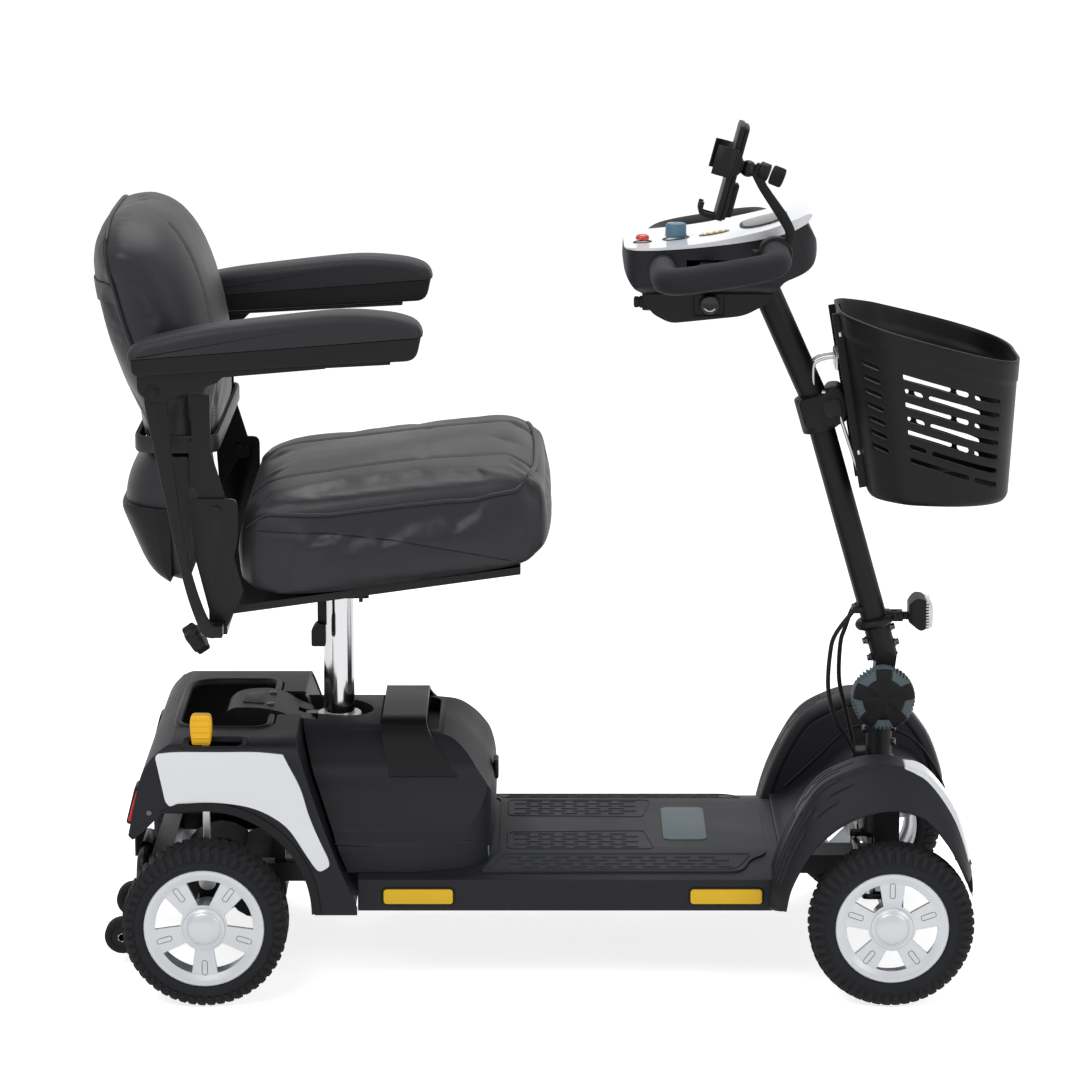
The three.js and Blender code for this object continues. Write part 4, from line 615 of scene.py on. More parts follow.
def finishes(colours):
    """Every finish of the scooter, by its name."""
    charcoal = tuple(colours.charcoal)
    black = tuple(colours.black)
    return {"charcoal": moulded("charcoal", charcoal, 0.42, 0.56, 850, 0.06, 0.45, specular=0.2),
        "grained": moulded("grained", charcoal, 0.46, 0.62, 420, 0.16, 0.6, specular=0.22),
        "gloss_black": moulded("gloss_black", black, 0.24, 0.36, 160, 0.02, 0.25, specular=0.22),
        "satin_black": moulded("satin_black", black, 0.38, 0.5, 700, 0.05, 0.35, specular=0.2),
        "drive": moulded("drive", shade(black, 0.9), 0.45, 0.6, 240, 0.12, 0.5, 0.2, specular=0.2),
        "gloss_white": moulded("gloss_white", tuple(colours.white), 0.12, 0.2, 60, 0.01, 0.15, 0.01, coat=0.6,
        coat_rough=0.06),
        "yellow": moulded("yellow", tuple(colours.yellow), 0.34, 0.46, 500, 0.04, 0.3, 0.04),
        "red": moulded("red", tuple(colours.red), 0.2, 0.3, 200, 0.02, 0.2, 0.05, coat=0.5, coat_rough=0.08),
        "blue": moulded("blue", tuple(colours.blue), 0.4, 0.52, 600, 0.04, 0.35, 0.05),
        "slate": moulded("slate", (0.095, 0.125, 0.14), 0.45, 0.6, 500, 0.06, 0.4, specular=0.3),
        "foam": moulded("foam", (0.014, 0.0145, 0.018), 0.55, 0.72, 950, 0.12, 0.6, specular=0.2),
        "ribbed_mat": moulded("ribbed_mat", (0.026, 0.027, 0.032), 0.5, 0.68, 520, 0.1, 0.55, specular=0.25),
        "vinyl": vinyl("vinyl", tuple(colours.vinyl)),
        "piping": moulded("piping", shade(tuple(colours.vinyl), 0.7), 0.34, 0.46, 600, 0.06, 0.4, specular=0.3),
        "grained_vinyl": moulded("grained_vinyl", shade(tuple(colours.vinyl), 1.1), 0.4, 0.55, 260, 0.3, 0.8,
        specular=0.28),
        "thread": moulded("thread", shade(tuple(colours.vinyl), 0.5), 0.5, 0.7, 1200, 0.1, 0.6, specular=0.2),
        "silver": moulded("silver", (0.60, 0.62, 0.645), 0.26, 0.36, 1400, 0.02, 0.35, 0.03, metallic=0.35, coat=0.3,
        coat_rough=0.15),
        # painted shade: near-black finish of the thin pieces laid along grooves, a gap and a seam where shade falls
        "painted_shade": moulded("painted_shade_line", (0.004, 0.004, 0.005), 0.6, 0.7, 300, 0.02, 0.2),
        # painted shade: darker silver of the loops laid in the spokes' grooves
        "silver_shade": moulded("silver_shade", (0.2, 0.21, 0.23), 0.3, 0.45, 900, 0.02, 0.3, metallic=0.3),
        "chrome": metal("chrome", (0.5, 0.5, 0.51), 0.06, 0.14, (1, 1, 0.1), 300, 0.004),
        "zinc": metal("zinc", (0.5, 0.5, 0.51), 0.26, 0.42, (1, 1, 6), 500),
        "dark_steel": metal("dark_steel", (0.1, 0.1, 0.105), 0.3, 0.42, (1, 1, 4), 500),
        "brass": metal("brass", (0.72, 0.56, 0.32), 0.2, 0.34, (1, 1, 1), 500),
        "tyre": tyre_rubber("tyre", (0.018, 0.0185, 0.02)),
        # amber and tail_red carry a painted highlight in the middle of each cube corner
        "amber": reflector("amber", (1.0, 0.6, 0.012), 3.4),
        "tail_red": reflector("tail_red", (0.75, 0.02, 0.02), 3.0),
        "lens": moulded("lens", (0.78, 0.8, 0.82), 0.08, 0.16, 90, 0.02, 0.2, 0.02, coat=0.8, coat_rough=0.04),
        "dark_glass": moulded("dark_glass", (0.006, 0.0065, 0.008), 0.08, 0.14, 60, 0.01, 0.1, specular=0.35)}


# ---- Wheels ------------------------------------------------------------------------------------
def ease(value):
    value = np.clip(value, 0, 1)
    return value * value * (3 - 2 * value)


def tyre_shape(centre, half, seat, lugs, tread):
    """A tyre: its section carried round the axle, with lugs raised along the section's normal.

    lift(t, s) is 1 inside a lug and 0 in a groove: shoulder lugs are trapezoids that narrow down the
    sidewall, and the two middle rows are slanted bars that meet in chevrons.
    """
    low = WHEEL_RADIUS - tread
    section = smooth([[seat, -half + 7], [seat + 2.5, -half + 2.4], [seat + 8, -half + 0.6], [seat + 12, -half + 1.0],
        [low - 15, -half + 1.6], [low - 8.5, -half + 4.2], [low - 3, -half + 9], [low - 0.6, -half + 16],
        [low, -half * 0.3], [low, half * 0.3], [low - 0.6, half - 16], [low - 3, half - 9], [low - 8.5, half - 4.2],
        [low - 15, half - 1.6], [seat + 12, half - 1.0], [seat + 8, half - 0.6], [seat + 2.5, half - 2.4],
        [seat, half - 7]], 17 * 4)
    slope = np.gradient(section, axis=0)
    slope /= np.linalg.norm(slope, axis=1, keepdims=True)
    normal = coords(slope[:, 1], -slope[:, 0])
    across = np.linspace(-1, 1, len(section))
    turn = np.arange(lugs * 12) / (lugs * 12)
    t, s = np.meshgrid(turn, across, indexing="ij")
    side = np.abs(s)
    row = np.where(s > 0, 0.5, 0.0)
    saw = np.abs((t * lugs + row) % 1.0 - 0.5) * 2
    width = 0.66 - 0.34 * ease((side - 0.42) / 0.25)
    shoulder = ease((width - saw) / 0.16) * ease((side - 0.27) / 0.03) * ease((0.66 - side) / 0.05)
    slant = np.abs((t * lugs + row + (side - 0.13) * 2.4) % 1.0 - 0.5) * 2
    middle = ease((0.72 - slant) / 0.16) * ease((side - 0.02) / 0.02) * ease((0.245 - side) / 0.02)
    lift = tread * np.maximum(shoulder, middle)
    radius = section[None, :, 0] + normal[None, :, 0] * lift
    offset = section[None, :, 1] + normal[None, :, 1] * lift
    radius = np.minimum(radius, WHEEL_RADIUS)
    angle = t * 2 * np.pi
    points = coords(centre[0] + radius * np.sin(angle), centre[1] + offset, centre[2] + radius * np.cos(angle))
    return skin(points, wrap_rows=True)


def rim_face(centre, edge, outside, side, first):
    """The spoked face, one 72 degree stretch at a time. Along a stretch the grid lines follow the spokes'
    straight edges, so that the faces between them can be left out: height(r) is dished between hub and rim."""
    radii = np.concatenate([np.linspace(22, 31, 4), np.linspace(35, edge - 15, 9), np.linspace(edge - 13, edge, 6)])
    steps = np.concatenate([np.linspace(-1, -0.5, 5), np.linspace(-0.4, 0.4, 9), np.linspace(0.5, 1, 5)])
    spoke_half = np.interp(radii, [22, 31, edge - 14, edge], [11.5, 12.0, 17.0, 17.0])
    edge_angle = np.arcsin(spoke_half / radii)
    middle = np.pi / 5
    share = np.abs(steps)
    inner = share <= 0.5
    angle = np.where(inner[None, :], np.sign(steps) * share / 0.5 * (middle - edge_angle[:, None]),
        np.sign(steps) * (middle - edge_angle[:, None] * (1 - (share - 0.5) / 0.5)))
    dish = np.interp(radii, [22, 27, 33, edge - 16, edge - 12, edge - 4, edge],
        [0.5, -2.5, -4.0, -6.5, -4.5, -0.8, -1.6])
    columns = len(steps)
    points, faces = [], []
    for spoke in range(5):
        turn = first + spoke * 2 * np.pi / 5 + angle
        level = np.broadcast_to((outside + dish)[:, None], turn.shape) * side
        start = sum(len(block_points) for block_points in points)
        points.append(coords(centre[0] + radii[:, None] * np.cos(turn), level,
            centre[2] + radii[:, None] * np.sin(turn)).reshape(-1, 3))
        cells = quads(len(radii), columns, wrap_columns=False)
        row, column = cells[:, 0] // columns, cells[:, 0] % columns
        window = (row >= 3) & (row < 12) & (steps[column] >= -0.501) & (steps[np.minimum(column + 1,
            columns - 1)] <= 0.501)
        faces += (cells[~window] + start).tolist()
    return np.concatenate(points), faces


def ring_shape(profile, centre, sides=64):
    """A closed ring: a closed profile of (radius, along) points turned about a level axle."""
    profile = np.asarray(profile, float)
    angle = np.arange(sides) * 2 * np.pi / sides
    rings = coords(centre[0] + profile[:, 0, None] * np.sin(angle), centre[1] + profile[:, 1, None],
        centre[2] + profile[:, 0, None] * np.cos(angle))
    return outwards(skin(rings, caps=False, wrap_rows=True))


def weld(obj, distance_mm=0.01):
    """Joins the points of an object that stand in the same place."""
    work = bmesh.new()
    work.from_mesh(obj.data)
    bmesh.ops.remove_doubles(work, verts=work.verts, dist=distance_mm * MM)
    work.to_mesh(obj.data)
    work.free()
    return obj


def wheel(end, side_name, side, sizes):
    """One wheel: tyre, spoked face, barrel with its hub, hub cap and the fine darker loops on the spokes, which are
    painted shade in their grooves.
    """
    low, high = box_mm(f"{end}_tyre_{side_name}")
    centre = (low + high) / 2
    half = (high[1] - low[1]) / 2
    rim_low, rim_high = box_mm(f"{end}_rim_{side_name}")
    edge = (rim_high[2] - rim_low[2]) / 2
    outside = abs(centre[1]) + half - 4
    inside = abs(centre[1]) - half + 4
    body = f"{end}_wheel_{side_name}"
    tread = tyre_shape(centre, half, edge + PROUD, sizes.lugs, sizes.tread_depth / MM)
    piece(f"{end}_tyre_{side_name}_tread", tread, "tyre", body, f"{end}_tyre_{side_name}", sharp=48)
    first = math.radians(90 if end == "rear" else -90)
    face = piece(f"{end}_rim_{side_name}_face", rim_face(centre, edge, outside, side, first), "silver", body,
        f"{end}_rim_{side_name}", closed=False, sharp=28)
    weld(face)
    face_towards(face, (0, side, 0))
    thicken(face, 7)
    soften(face, 0.9, 40)
    barrel = [[edge, outside - 2], [edge, inside], [edge - 4, inside], [edge - 7, inside + 10],
        [edge - 8, outside - 12], [edge - 11, outside - 8], [edge - 11, outside - 6]]
    hub = [[23, outside - 7], [23, min(inside, outside - 20)], [11, min(inside, outside - 20)], [11, outside - 9]]
    shapes = [ring_shape([(r, y * side) for r, y in profile], (centre[0], 0, centre[2])) for profile in (barrel, hub)]
    piece(f"{end}_rim_{side_name}_barrel", merged(*shapes), "silver", body, sharp=30)
    cap = [[0.01, outside + 3.9], [8, outside + 3.6], [15, outside + 2.6], [20, outside + 0.9], [22.4, outside - 0.9],
        [22.8, outside - 2.4], [24.2, outside - 2.6], [25.4, outside - 1.4], [27.2, outside - 1.5],
        [28.4, outside - 3.4], [28.4, outside - 5.5], [0.01, outside - 5.5]]
    piece(f"{end}_hub_cap_{side_name}", lathe([(r, y * side) for r, y in cap], (centre[0], 0, centre[2])), "silver",
        body, sharp=40)
    # painted shade: a thin darker loop along the groove on each spoke
    grooves = []
    for spoke in range(5):
        angle = first + math.pi / 5 + spoke * 2 * math.pi / 5
        loop = rounded([(edge - 34, -3.4, 3), (edge - 14, -3.4, 3), (edge - 14, 3.4, 3), (edge - 34, 3.4, 3)], 4)
        level = np.interp(loop[:, 0], [33, edge - 16, edge - 12], [outside - 4.0, outside - 6.5, outside - 4.5])
        x = centre[0] + loop[:, 0] * math.cos(angle) - loop[:, 1] * math.sin(angle)
        z = centre[2] + loop[:, 0] * math.sin(angle) + loop[:, 1] * math.cos(angle)
        grooves.append(sweep(coords(x, level * side, z), circle(0.55, 6), (0, 1, 0), wrap=True))
    piece(f"{end}_spoke_groove_shade_{side_name}", merged(*grooves), "silver_shade", body, closed=False)


def read(items, key):
    """One vector of each vertex or face, as an array."""
    values = np.zeros(len(items) * 3, np.float32)
    items.foreach_get(key, values)
    return values.reshape(-1, 3)


def face_towards(obj, way):
    """Turns an open surface so that most of it faces a direction, before it gets a wall."""
    if (read(obj.data.polygons, "normal").sum(0) * way).sum() < 0:
        obj.data.flip_normals()


class SCOOTER_OT_wheels(bpy.types.Operator):
    """Make the four wheels: tyres with lugs, spoked rims, barrels and hub caps"""
    bl_idname = "scooter.wheels"
    bl_label = "Wheels"

    def execute(self, context):
        for end in ("rear", "front"):
            for side_name, side in SIDES:
                wheel(end, side_name, side, context.scene.scooter_sizes)
        return {"FINISHED"}


# ---- Seat --------------------------------------------------------------------------------------
# The cushion's sections, back to front: [forward of the post, half width, bottom, top above the post].
CUSHION = np.array([[-110, 200, 40, 146], [-98, 212, 35, 153], [-60, 219, 32, 163], [0, 222, 35, 171],
    [60, 223, 42, 179], [120, 224, 51, 186], [180, 223, 60, 191], [228, 221, 68, 194], [254, 217, 75, 190],
    [268, 212, 88, 180]], float)
SEAM_Y = 118.0


def seat_rings(columns=96):
    """Cushion sections: a flat-bottomed rounded box whose top is crowned, closing in a rolled front and back."""
    rows = smooth(CUSHION, 54)
    rings = []
    for x, half, bottom, top in rows:
        corners = [(-half + 10, bottom, 12), (half - 10, bottom, 12), (half, bottom + 26, 26), (half, top - 26, 26),
            (half - 12, top - 3, 14), (half * 0.5, top + 2, 60), (-half * 0.5, top + 2, 60),
            (-half + 12, top - 3, 14), (-half, top - 26, 26), (-half, bottom + 26, 26)]
        ring = resample(rounded(corners, 5), columns, closed=True)
        rings.append(coords(POST_X + x, ring[:, 0], SEAT_Z + ring[:, 1]))
    rings = np.array(rings)
    front, back = rings[-1], rings[0]
    turn = np.linspace(0, np.pi / 2, 7)[1:]
    def rolled(ring, reach, shrink):
        centre = ring.mean(0)
        return [centre + (ring - centre) * (1 - shrink * (1 - np.cos(a)) * np.array([0, 1, 1])
            * np.array([1, 0.28, 1])) + np.array([reach * np.sin(a), 0, 0]) for a in turn]
    closing_front = rolled(front, 13, 0.42)
    closing_back = rolled(back, -8, 0.3)
    return np.concatenate([np.array(closing_back)[::-1], rings, np.array(closing_front)])


def inflated(obj, cap_mm, voxel_mm=6.0, frames=20, pressure=4.0, pinned=None):
    """Fills a soft piece like a cushion: an even remesh, a short run of cloth under inner pressure, and no
    point moved further than the cap. The cloth's shape is then the mesh's own."""
    bpy.context.view_layer.objects.active = obj
    remesh = add_modifier(obj, "REMESH", mode="VOXEL", voxel_size=voxel_mm * MM)
    bpy.ops.object.modifier_apply(modifier=remesh.name)
    before = read(obj.data.vertices, "co")
    if pinned is not None:
        group = obj.vertex_groups.new(name="held")
        held = np.nonzero(pinned((before - ORIGIN) / MM))[0]
        group.add(held.tolist(), 1.0, "REPLACE")
    cloth = obj.modifiers.new("Cloth", "CLOTH")
    settings = cloth.settings
    settings.quality = 4
    settings.mass = 0.3
    settings.use_pressure = True
    settings.uniform_pressure_force = pressure
    settings.tension_stiffness = settings.compression_stiffness = settings.shear_stiffness = 12
    settings.bending_stiffness = 2.0
    settings.effector_weights.gravity = 0
    if pinned is not None:
        settings.vertex_group_mass = "held"
    cloth.point_cache.frame_start, cloth.point_cache.frame_end = 1, frames
    for number in range(1, frames + 1):
        bpy.context.scene.frame_set(number)
    after = obj.evaluated_get(bpy.context.evaluated_depsgraph_get()).data
    step = read(after.vertices, "co") - before
    reach = np.linalg.norm(step, axis=1, keepdims=True)
    step *= np.minimum(1, cap_mm * MM / np.maximum(reach, 1e-9))
    obj.modifiers.remove(cloth)
    bpy.context.scene.frame_set(1)
    obj.data.vertices.foreach_set("co", (before + step).ravel())
    obj.data.update()


def pressed(obj, lines, depth, width):
    """Sewn channels: points near a line sink along their normal by depth times a bell of that width.
    Each line is an array of points in millimetres."""
    mesh = obj.data
    places, normals = read(mesh.vertices, "co"), read(mesh.vertices, "normal")
    local = (places - ORIGIN) / MM
    sink = np.zeros(len(places))
    for line in lines:
        line = resample(line, max(8, int(np.linalg.norm(np.diff(line, axis=0), axis=1).sum() / 4)))
        low, high = line.min(0) - 3 * width, line.max(0) + 3 * width
        near = np.nonzero(np.all((local > low) & (local < high), axis=1))[0]
        gap = np.full(len(near), 1e9)
        for start in range(0, len(line), 40):
            part = line[start:start + 40]
            gap = np.minimum(gap, np.linalg.norm(local[near][:, None] - part[None], axis=2).min(1))
        sink[near] = np.maximum(sink[near], np.exp(-(gap / width) ** 2))
    places -= normals * (sink * depth * MM)[:, None]
    mesh.vertices.foreach_set("co", places.ravel())
    mesh.update()


def surface_tree(obj):
    """The object's surface with its modifiers, ready to be hit by rays."""
    graph = bpy.context.evaluated_depsgraph_get()
    return BVHTree.FromObject(obj, graph)


def dropped(tree, line, direction, lift):
    """A line cast onto a surface along a direction, standing lift millimetres off it."""
    direction = Vector(direction).normalized()
    places = []
    for point in line:
        start = Vector(tuple(np.asarray(point) * MM + ORIGIN)) - direction * 0.15
        hit, normal, _, _ = tree.ray_cast(start, direction)
        if hit is None:
            continue
        if normal.dot(direction) > 0:
            normal = -normal
        place = hit + normal * (lift * MM)
        places.append((np.array(place) - ORIGIN) / MM)
    return np.array(places)


def relaxed(line, rounds=2):
    """The line with each inner point moved to the mean of its neighbours, a few times."""
    line = np.array(line)
    for _ in range(rounds):
        line[1:-1] = (line[:-2] + 2 * line[1:-1] + line[2:]) / 4
    return line


def stitches(name, line, body, finish, offset=2.4, pitch=4.2, size=0.45, up=(0, 0, 1)):
    """Short raised threads in a row beside a seam."""
    line = np.asarray(line)
    length = np.linalg.norm(np.diff(line, axis=0), axis=1).sum()
    places = resample(line, max(4, int(length / pitch)))
    tangent, side, _ = along(places, up)
    places = places + side * offset
    shapes = []
    for place, run in zip(places, tangent):
        ends = np.stack([place - run * pitch * 0.32, place, place + run * pitch * 0.32])
        shapes.append(tube(ends, [size * 0.6, size, size * 0.6], 6, up))
    return piece(name, merged(*shapes), finish, body, sharp=60)


class SCOOTER_OT_seat(bpy.types.Operator):
    """Make the seat cushion with its seams and piping"""
    bl_idname = "scooter.seat"
    bl_label = "Seat cushion"

    def execute(self, context):
        rings = seat_rings()
        cushion = piece("seat_cushion_cover", skin(rings), "vinyl", "seat", "seat_cushion", sharp=60)
        floor = SEAT_Z + 44
        inflated(cushion, 6, pinned=lambda p: (p[:, 2] < floor + (p[:, 0] - POST_X) * 0.14))
        top = lambda x: SEAT_Z + np.interp(x - POST_X, CUSHION[:, 0], CUSHION[:, 3]) + 10
        x = np.linspace(POST_X - 104, POST_X + 262, 60)
        bend = 10 * np.sin((x - x[0]) / (x[-1] - x[0]) * np.pi) ** 2
        seams = [coords(x, side * (SEAM_Y - bend), top(x)) for side in (1, -1)]
        across = coords(POST_X + 118, np.linspace(-SEAM_Y + 14, SEAM_Y - 14, 20), top(POST_X + 118))
        tree = surface_tree(cushion)
        on_top = [dropped(tree, seam, (0, 0, -1), 0.0) for seam in (*seams, across)]
        side_x = np.linspace(POST_X - 92, POST_X + 262, 50)
        sides = []
        for side in (1, -1):
            wave = np.interp(side_x - POST_X, [-92, 0, 90, 180, 262], [118, 116, 108, 92, 72])
            line = coords(side_x, side * 235.0, SEAT_Z + wave)
            sides.append(dropped(tree, line, (0, -side, 0), 0.0))
        pressed(cushion, on_top, 3.2, 4.5)
        pressed(cushion, sides, 1.6, 3.0)
        add_modifier(cushion, "SUBSURF", levels=1, render_levels=1)
        cushion.data.shade_smooth()
        tree = surface_tree(cushion)
        edge_x = np.linspace(POST_X - 106, POST_X + 246, 70)
        half = np.interp(edge_x - POST_X, CUSHION[:, 0], CUSHION[:, 1])
        front = np.linspace(-1, 1, 41)
        near = coords(edge_x, -(half - 7), top(edge_x))
        far = near * (1, -1, 1)
        nose = coords(POST_X + 246 + 18 * (1 - np.abs(front) ** 3.2), front * (half[-1] - 7), top(POST_X + 246))
        rim = np.concatenate([near, nose[1:-1], far[::-1]])
        rim = relaxed(dropped(tree, rim, (0, 0, -1), 1.2), 4)
        cord = tube(rim, context.scene.scooter_sizes.piping / MM, 12)
        piece("seat_piping", cord, "piping", "seat", sharp=70)
        threads = []
        for seam in seams:
            line = relaxed(dropped(tree, seam, (0, 0, -1), 0.2), 2)
            for offset in (-3.4, 3.4):
                threads.append((line, offset))
        for number, (line, offset) in enumerate(threads, 1):
            stitches(f"seat_stitching_{number}", line, "seat", "thread", offset)
        for (side_name, side), line in zip(SIDES, sides):
            shown = relaxed(dropped(tree, line + np.array([0, side * 10, 0]), (0, -side, 0), -0.3), 2)
            piece(f"seat_side_seam_{side_name}", tube(shown, 0.9, 8), "thread", "seat", sharp=70)
        return {"FINISHED"}


# ---- Backrest ----------------------------------------------------------------------------------
# Side view of the cushion from its hinge: front edge upwards, over the top, and down the rear.
BACK_FRONT = np.array([[-2, 84], [-2, 130], [-5, 190], [-13, 240], [-26, 287], [-46, 330], [-74, 360], [-106, 373]],
    float)
BACK_REAR = np.array([[-100, 84], [-106, 120], [-124, 170], [-142, 230], [-156, 300], [-161, 340], [-150, 366],
    [-128, 376]], float)
BACK_HALF = 198.0


def back_rings(columns=40, rows=48):
    """Backrest sections from side to side: each is the side view drawn in towards its middle line and down
    from the top as (1 - |y|^p)^(1/p) falls off."""
    front, rear = resample(smooth(BACK_FRONT, 40), columns), resample(smooth(BACK_REAR, 40), columns)
    side = np.concatenate([front, rear[::-1]])
    middle = np.concatenate([(front + rear) / 2, ((front + rear) / 2)[::-1]])
    share = np.sin(np.linspace(-np.pi / 2, np.pi / 2, rows))
    rings = []
    for value in share:
        depth = max(0.12, (1 - abs(value) ** 4.5) ** (1 / 2.6))
        y = value * BACK_HALF
        shoulder = (1 - abs(value) ** 4.2 * 0.16)
        ring = middle + (side - middle) * depth
        height = np.clip((ring[:, 1] - 84) / 292, 0, 1)
        z = 84 + (ring[:, 1] - 84) * (1 - (1 - shoulder) * height)
        rings.append(coords(HINGE[0] + ring[:, 0], y, HINGE[2] + z))
    return np.array(rings)


class SCOOTER_OT_backrest(bpy.types.Operator):
    """Make the back cushion, its piping, its hem strap, its map pocket and the lower shell"""
    bl_idname = "scooter.backrest"
    bl_label = "Backrest"

    def execute(self, context):
        cushion = piece("back_cushion_cover", skin(back_rings()), "vinyl", "backrest", "back_cushion",
            sharp=60)
        inflated(cushion, 7, pinned=lambda p: p[:, 2] < HINGE[2] + 96)
        tree = surface_tree(cushion)
        z = np.linspace(HINGE[2] + 92, HINGE[2] + 352, 60)
        lines = []
        for side in (1, -1):
            y = side * np.interp(z - HINGE[2], [90, 180, 260, 330, 352], [128, 122, 112, 100, 92])
            lines.append(dropped(tree, coords(HINGE[0] + 40, y, z), (-1, 0, 0), 0.0))
        pressed(cushion, lines, 3.0, 4.5)
        add_modifier(cushion, "SUBSURF", levels=1, render_levels=1)
        cushion.data.shade_smooth()
        tree = surface_tree(cushion)
        for number, line in enumerate(lines, 1):
            shown = relaxed(dropped(tree, line + np.array([60.0, 0, 0]), (-1, 0, 0), 0.2), 2)
            for offset in (-3.2, 3.2):
                stitches(f"back_stitching_{number}_{'in' if offset < 0 else 'out'}", shown, "backrest",
                    "thread", offset, up=(1, 0, 0))
        cushion_piping(tree)
        hem()
        shell_and_pocket(tree)
        return {"FINISHED"}


def cushion_piping(tree):
    """The cord sewn round the backrest's rear edge, up one side, over the top and down the other."""
    height = np.linspace(140, 345, 40)
    rise = np.interp(height, BACK_REAR[:, 1], BACK_REAR[:, 0]) + np.interp(height, [84, 200, 345], [44, 30, 20])
    near = coords(HINGE[0] + rise, -250.0, HINGE[2] + height)
    side = dropped(tree, near, (0, 1, 0), 1.0)
    y = np.linspace(-BACK_HALF * 0.86, BACK_HALF * 0.86, 40)
    over = coords(HINGE[0] - 138, y, HINGE[2] + 430)
    top = dropped(tree, over, (0, 0, -1), 1.0)
    rim = np.concatenate([side, top, (side * (1, -1, 1))[::-1]])
    rim = relaxed(resample(rim, 150), 6)
    piece("back_piping", tube(rim, 3.0, 12, (1, 0, 0)), "piping", "backrest", sharp=70)


def hem():
    """The folded hem at the foot of the cover: a flat band that follows its edge."""
    corners = rounded([(-106, -BACK_HALF - 3, 30), (3, -BACK_HALF - 3, 24), (4, BACK_HALF + 3, 24),
        (-106, BACK_HALF + 3, 30)], 6)
    ring = resample(corners, 160, closed=True) + (HINGE[0], 0)
    outer = ring
    inner = inset(ring, 6.0)
    rings = [to_space(inner, HINGE[2] + 74, "z"), to_space(inset(ring, 1.5), HINGE[2] + 72.5, "z"),
        to_space(outer, HINGE[2] + 75, "z"), to_space(outer, HINGE[2] + 92, "z"),
        to_space(inset(ring, 1.2), HINGE[2] + 95, "z"), to_space(inner, HINGE[2] + 94, "z")]
    piece("back_hem", skin(np.array(rings), caps=False, wrap_rows=True), "piping", "backrest", sharp=50)


def shell_and_pocket(tree):
    """The shell behind the hinge, a soft pouch over its lower half, and the map pocket's band higher up."""
    side = rounded([(-35, 74, 8), (-92, 74, 16), (-118, 42, 30), (-127, 0, 26), (-117, -30, 20), (-92, -84, 26),
        (-62, -100, 16), (-37, -99, 6)], 6)
    side = resample(side, 90, closed=True)
    middle = side.mean(0)
    share = np.sin(np.linspace(-np.pi / 2, np.pi / 2, 36))
    rings = []
    for value in share:
        depth = max(0.3, (1 - abs(value) ** 7) ** (1 / 2.5))
        pull = np.array([-36.0, middle[1]])
        ring = pull + (side - pull) * (depth, 0.88 + 0.12 * depth)
        rings.append(coords(HINGE[0] + ring[:, 0], value * 197, HINGE[2] + ring[:, 1]))
    piece("back_shell", skin(np.array(rings)), "vinyl", "backrest", "back_pocket", sharp=60)
    pouch = rounded([(-60, 2, 2), (-127, 2, 3), (-130, -6, 10), (-119, -32, 20), (-94, -87, 26), (-62, -103, 14),
        (-60, -96, 2)], 6)
    pouch = resample(pouch, 70, closed=True)
    rings = []
    for value in share:
        depth = max(0.3, (1 - abs(value) ** 8) ** (1 / 2.5))
        pull = np.array([-60.0, -45.0])
        ring = pull + (pouch - pull) * (depth, 0.9 + 0.1 * depth)
        rings.append(coords(HINGE[0] + ring[:, 0], value * 199, HINGE[2] + ring[:, 1]))
    piece("back_pouch", skin(np.array(rings)), "satin_black", "backrest", sharp=50)
    rows = []
    for level in np.linspace(262, 288, 5):
        y = np.linspace(-BACK_HALF * 0.9, BACK_HALF * 0.9, 61)
        line = coords(HINGE[0] - 220, y, HINGE[2] + level)
        rows.append(resample(dropped(tree, line, (1, 0, 0), 2.4), 60))
    piece("map_pocket_band", skin(np.array(rows), wrap_columns=False), "piping", "backrest", closed=False,
        wall=-2.0, bevel=0.6, sharp=50)


# ---- Arms --------------------------------------------------------------------------------------
ARM_Y = 244.0
PAD_OUTLINE = [(-30, 44, 6), (-32, 50, 8), (-27, 57, 10), (-12, 66, 8), (60, 83, 30), (186, 98, 60), (250, 104, 40),
    (312, 98, 20), (339, 87, 14), (344, 72, 6)]


def pad_halves(side_name, side, body):
    """The pad's grained upper half and its smooth lower half: two rounded slabs that reach past one long seam
    and are cut off flat along it."""
    x, z = ARM_PIVOT[0], ARM_PIVOT[2]
    middle, half = side * ARM_Y, 28.0
    top = rounded(shift([(344, 54), *PAD_OUTLINE[::-1][1:-1], (-30, 24)], x, z), 6)[::-1]
    low = rounded(shift([(345, 98, 9), (333, 42, 14), (-25.5, 21.5, 9), (-30, 66, 9)], x, z), 6)
    under = prism(shift([(-60, 41.1), (380, 75.2), (380, -40), (-60, -40)], x, z), -400, 400)
    below = prism(shift([(-60, 40.3), (380, 74.4), (380, -40), (-60, -40)], x, z), -400, 400)
    pad = carved(f"arm_pad_{side_name}_top", slab(top, middle - half, middle + half, "y", 13, 7),
        [("DIFFERENCE", under)], "grained_vinyl", body, f"arm_pad_{side_name}", 0.9, 50)
    carved(f"arm_pad_{side_name}_base", slab(low, middle - half + 0.8, middle + half - 0.8, "y", 4, 5),
        [("INTERSECT", below)], "satin_black", body, (), 0.8, 50)


class SCOOTER_OT_arms(bpy.types.Operator):
    """Make the arm pads, brackets, uprights and their clamp knobs"""
    bl_idname = "scooter.arms"
    bl_label = "Arms"

    def execute(self, context):
        for side_name, side in SIDES:
            body = f"arm_{side_name}"
            pad_halves(side_name, side, body)
            arm_metal(side_name, side, body)
        return {"FINISHED"}


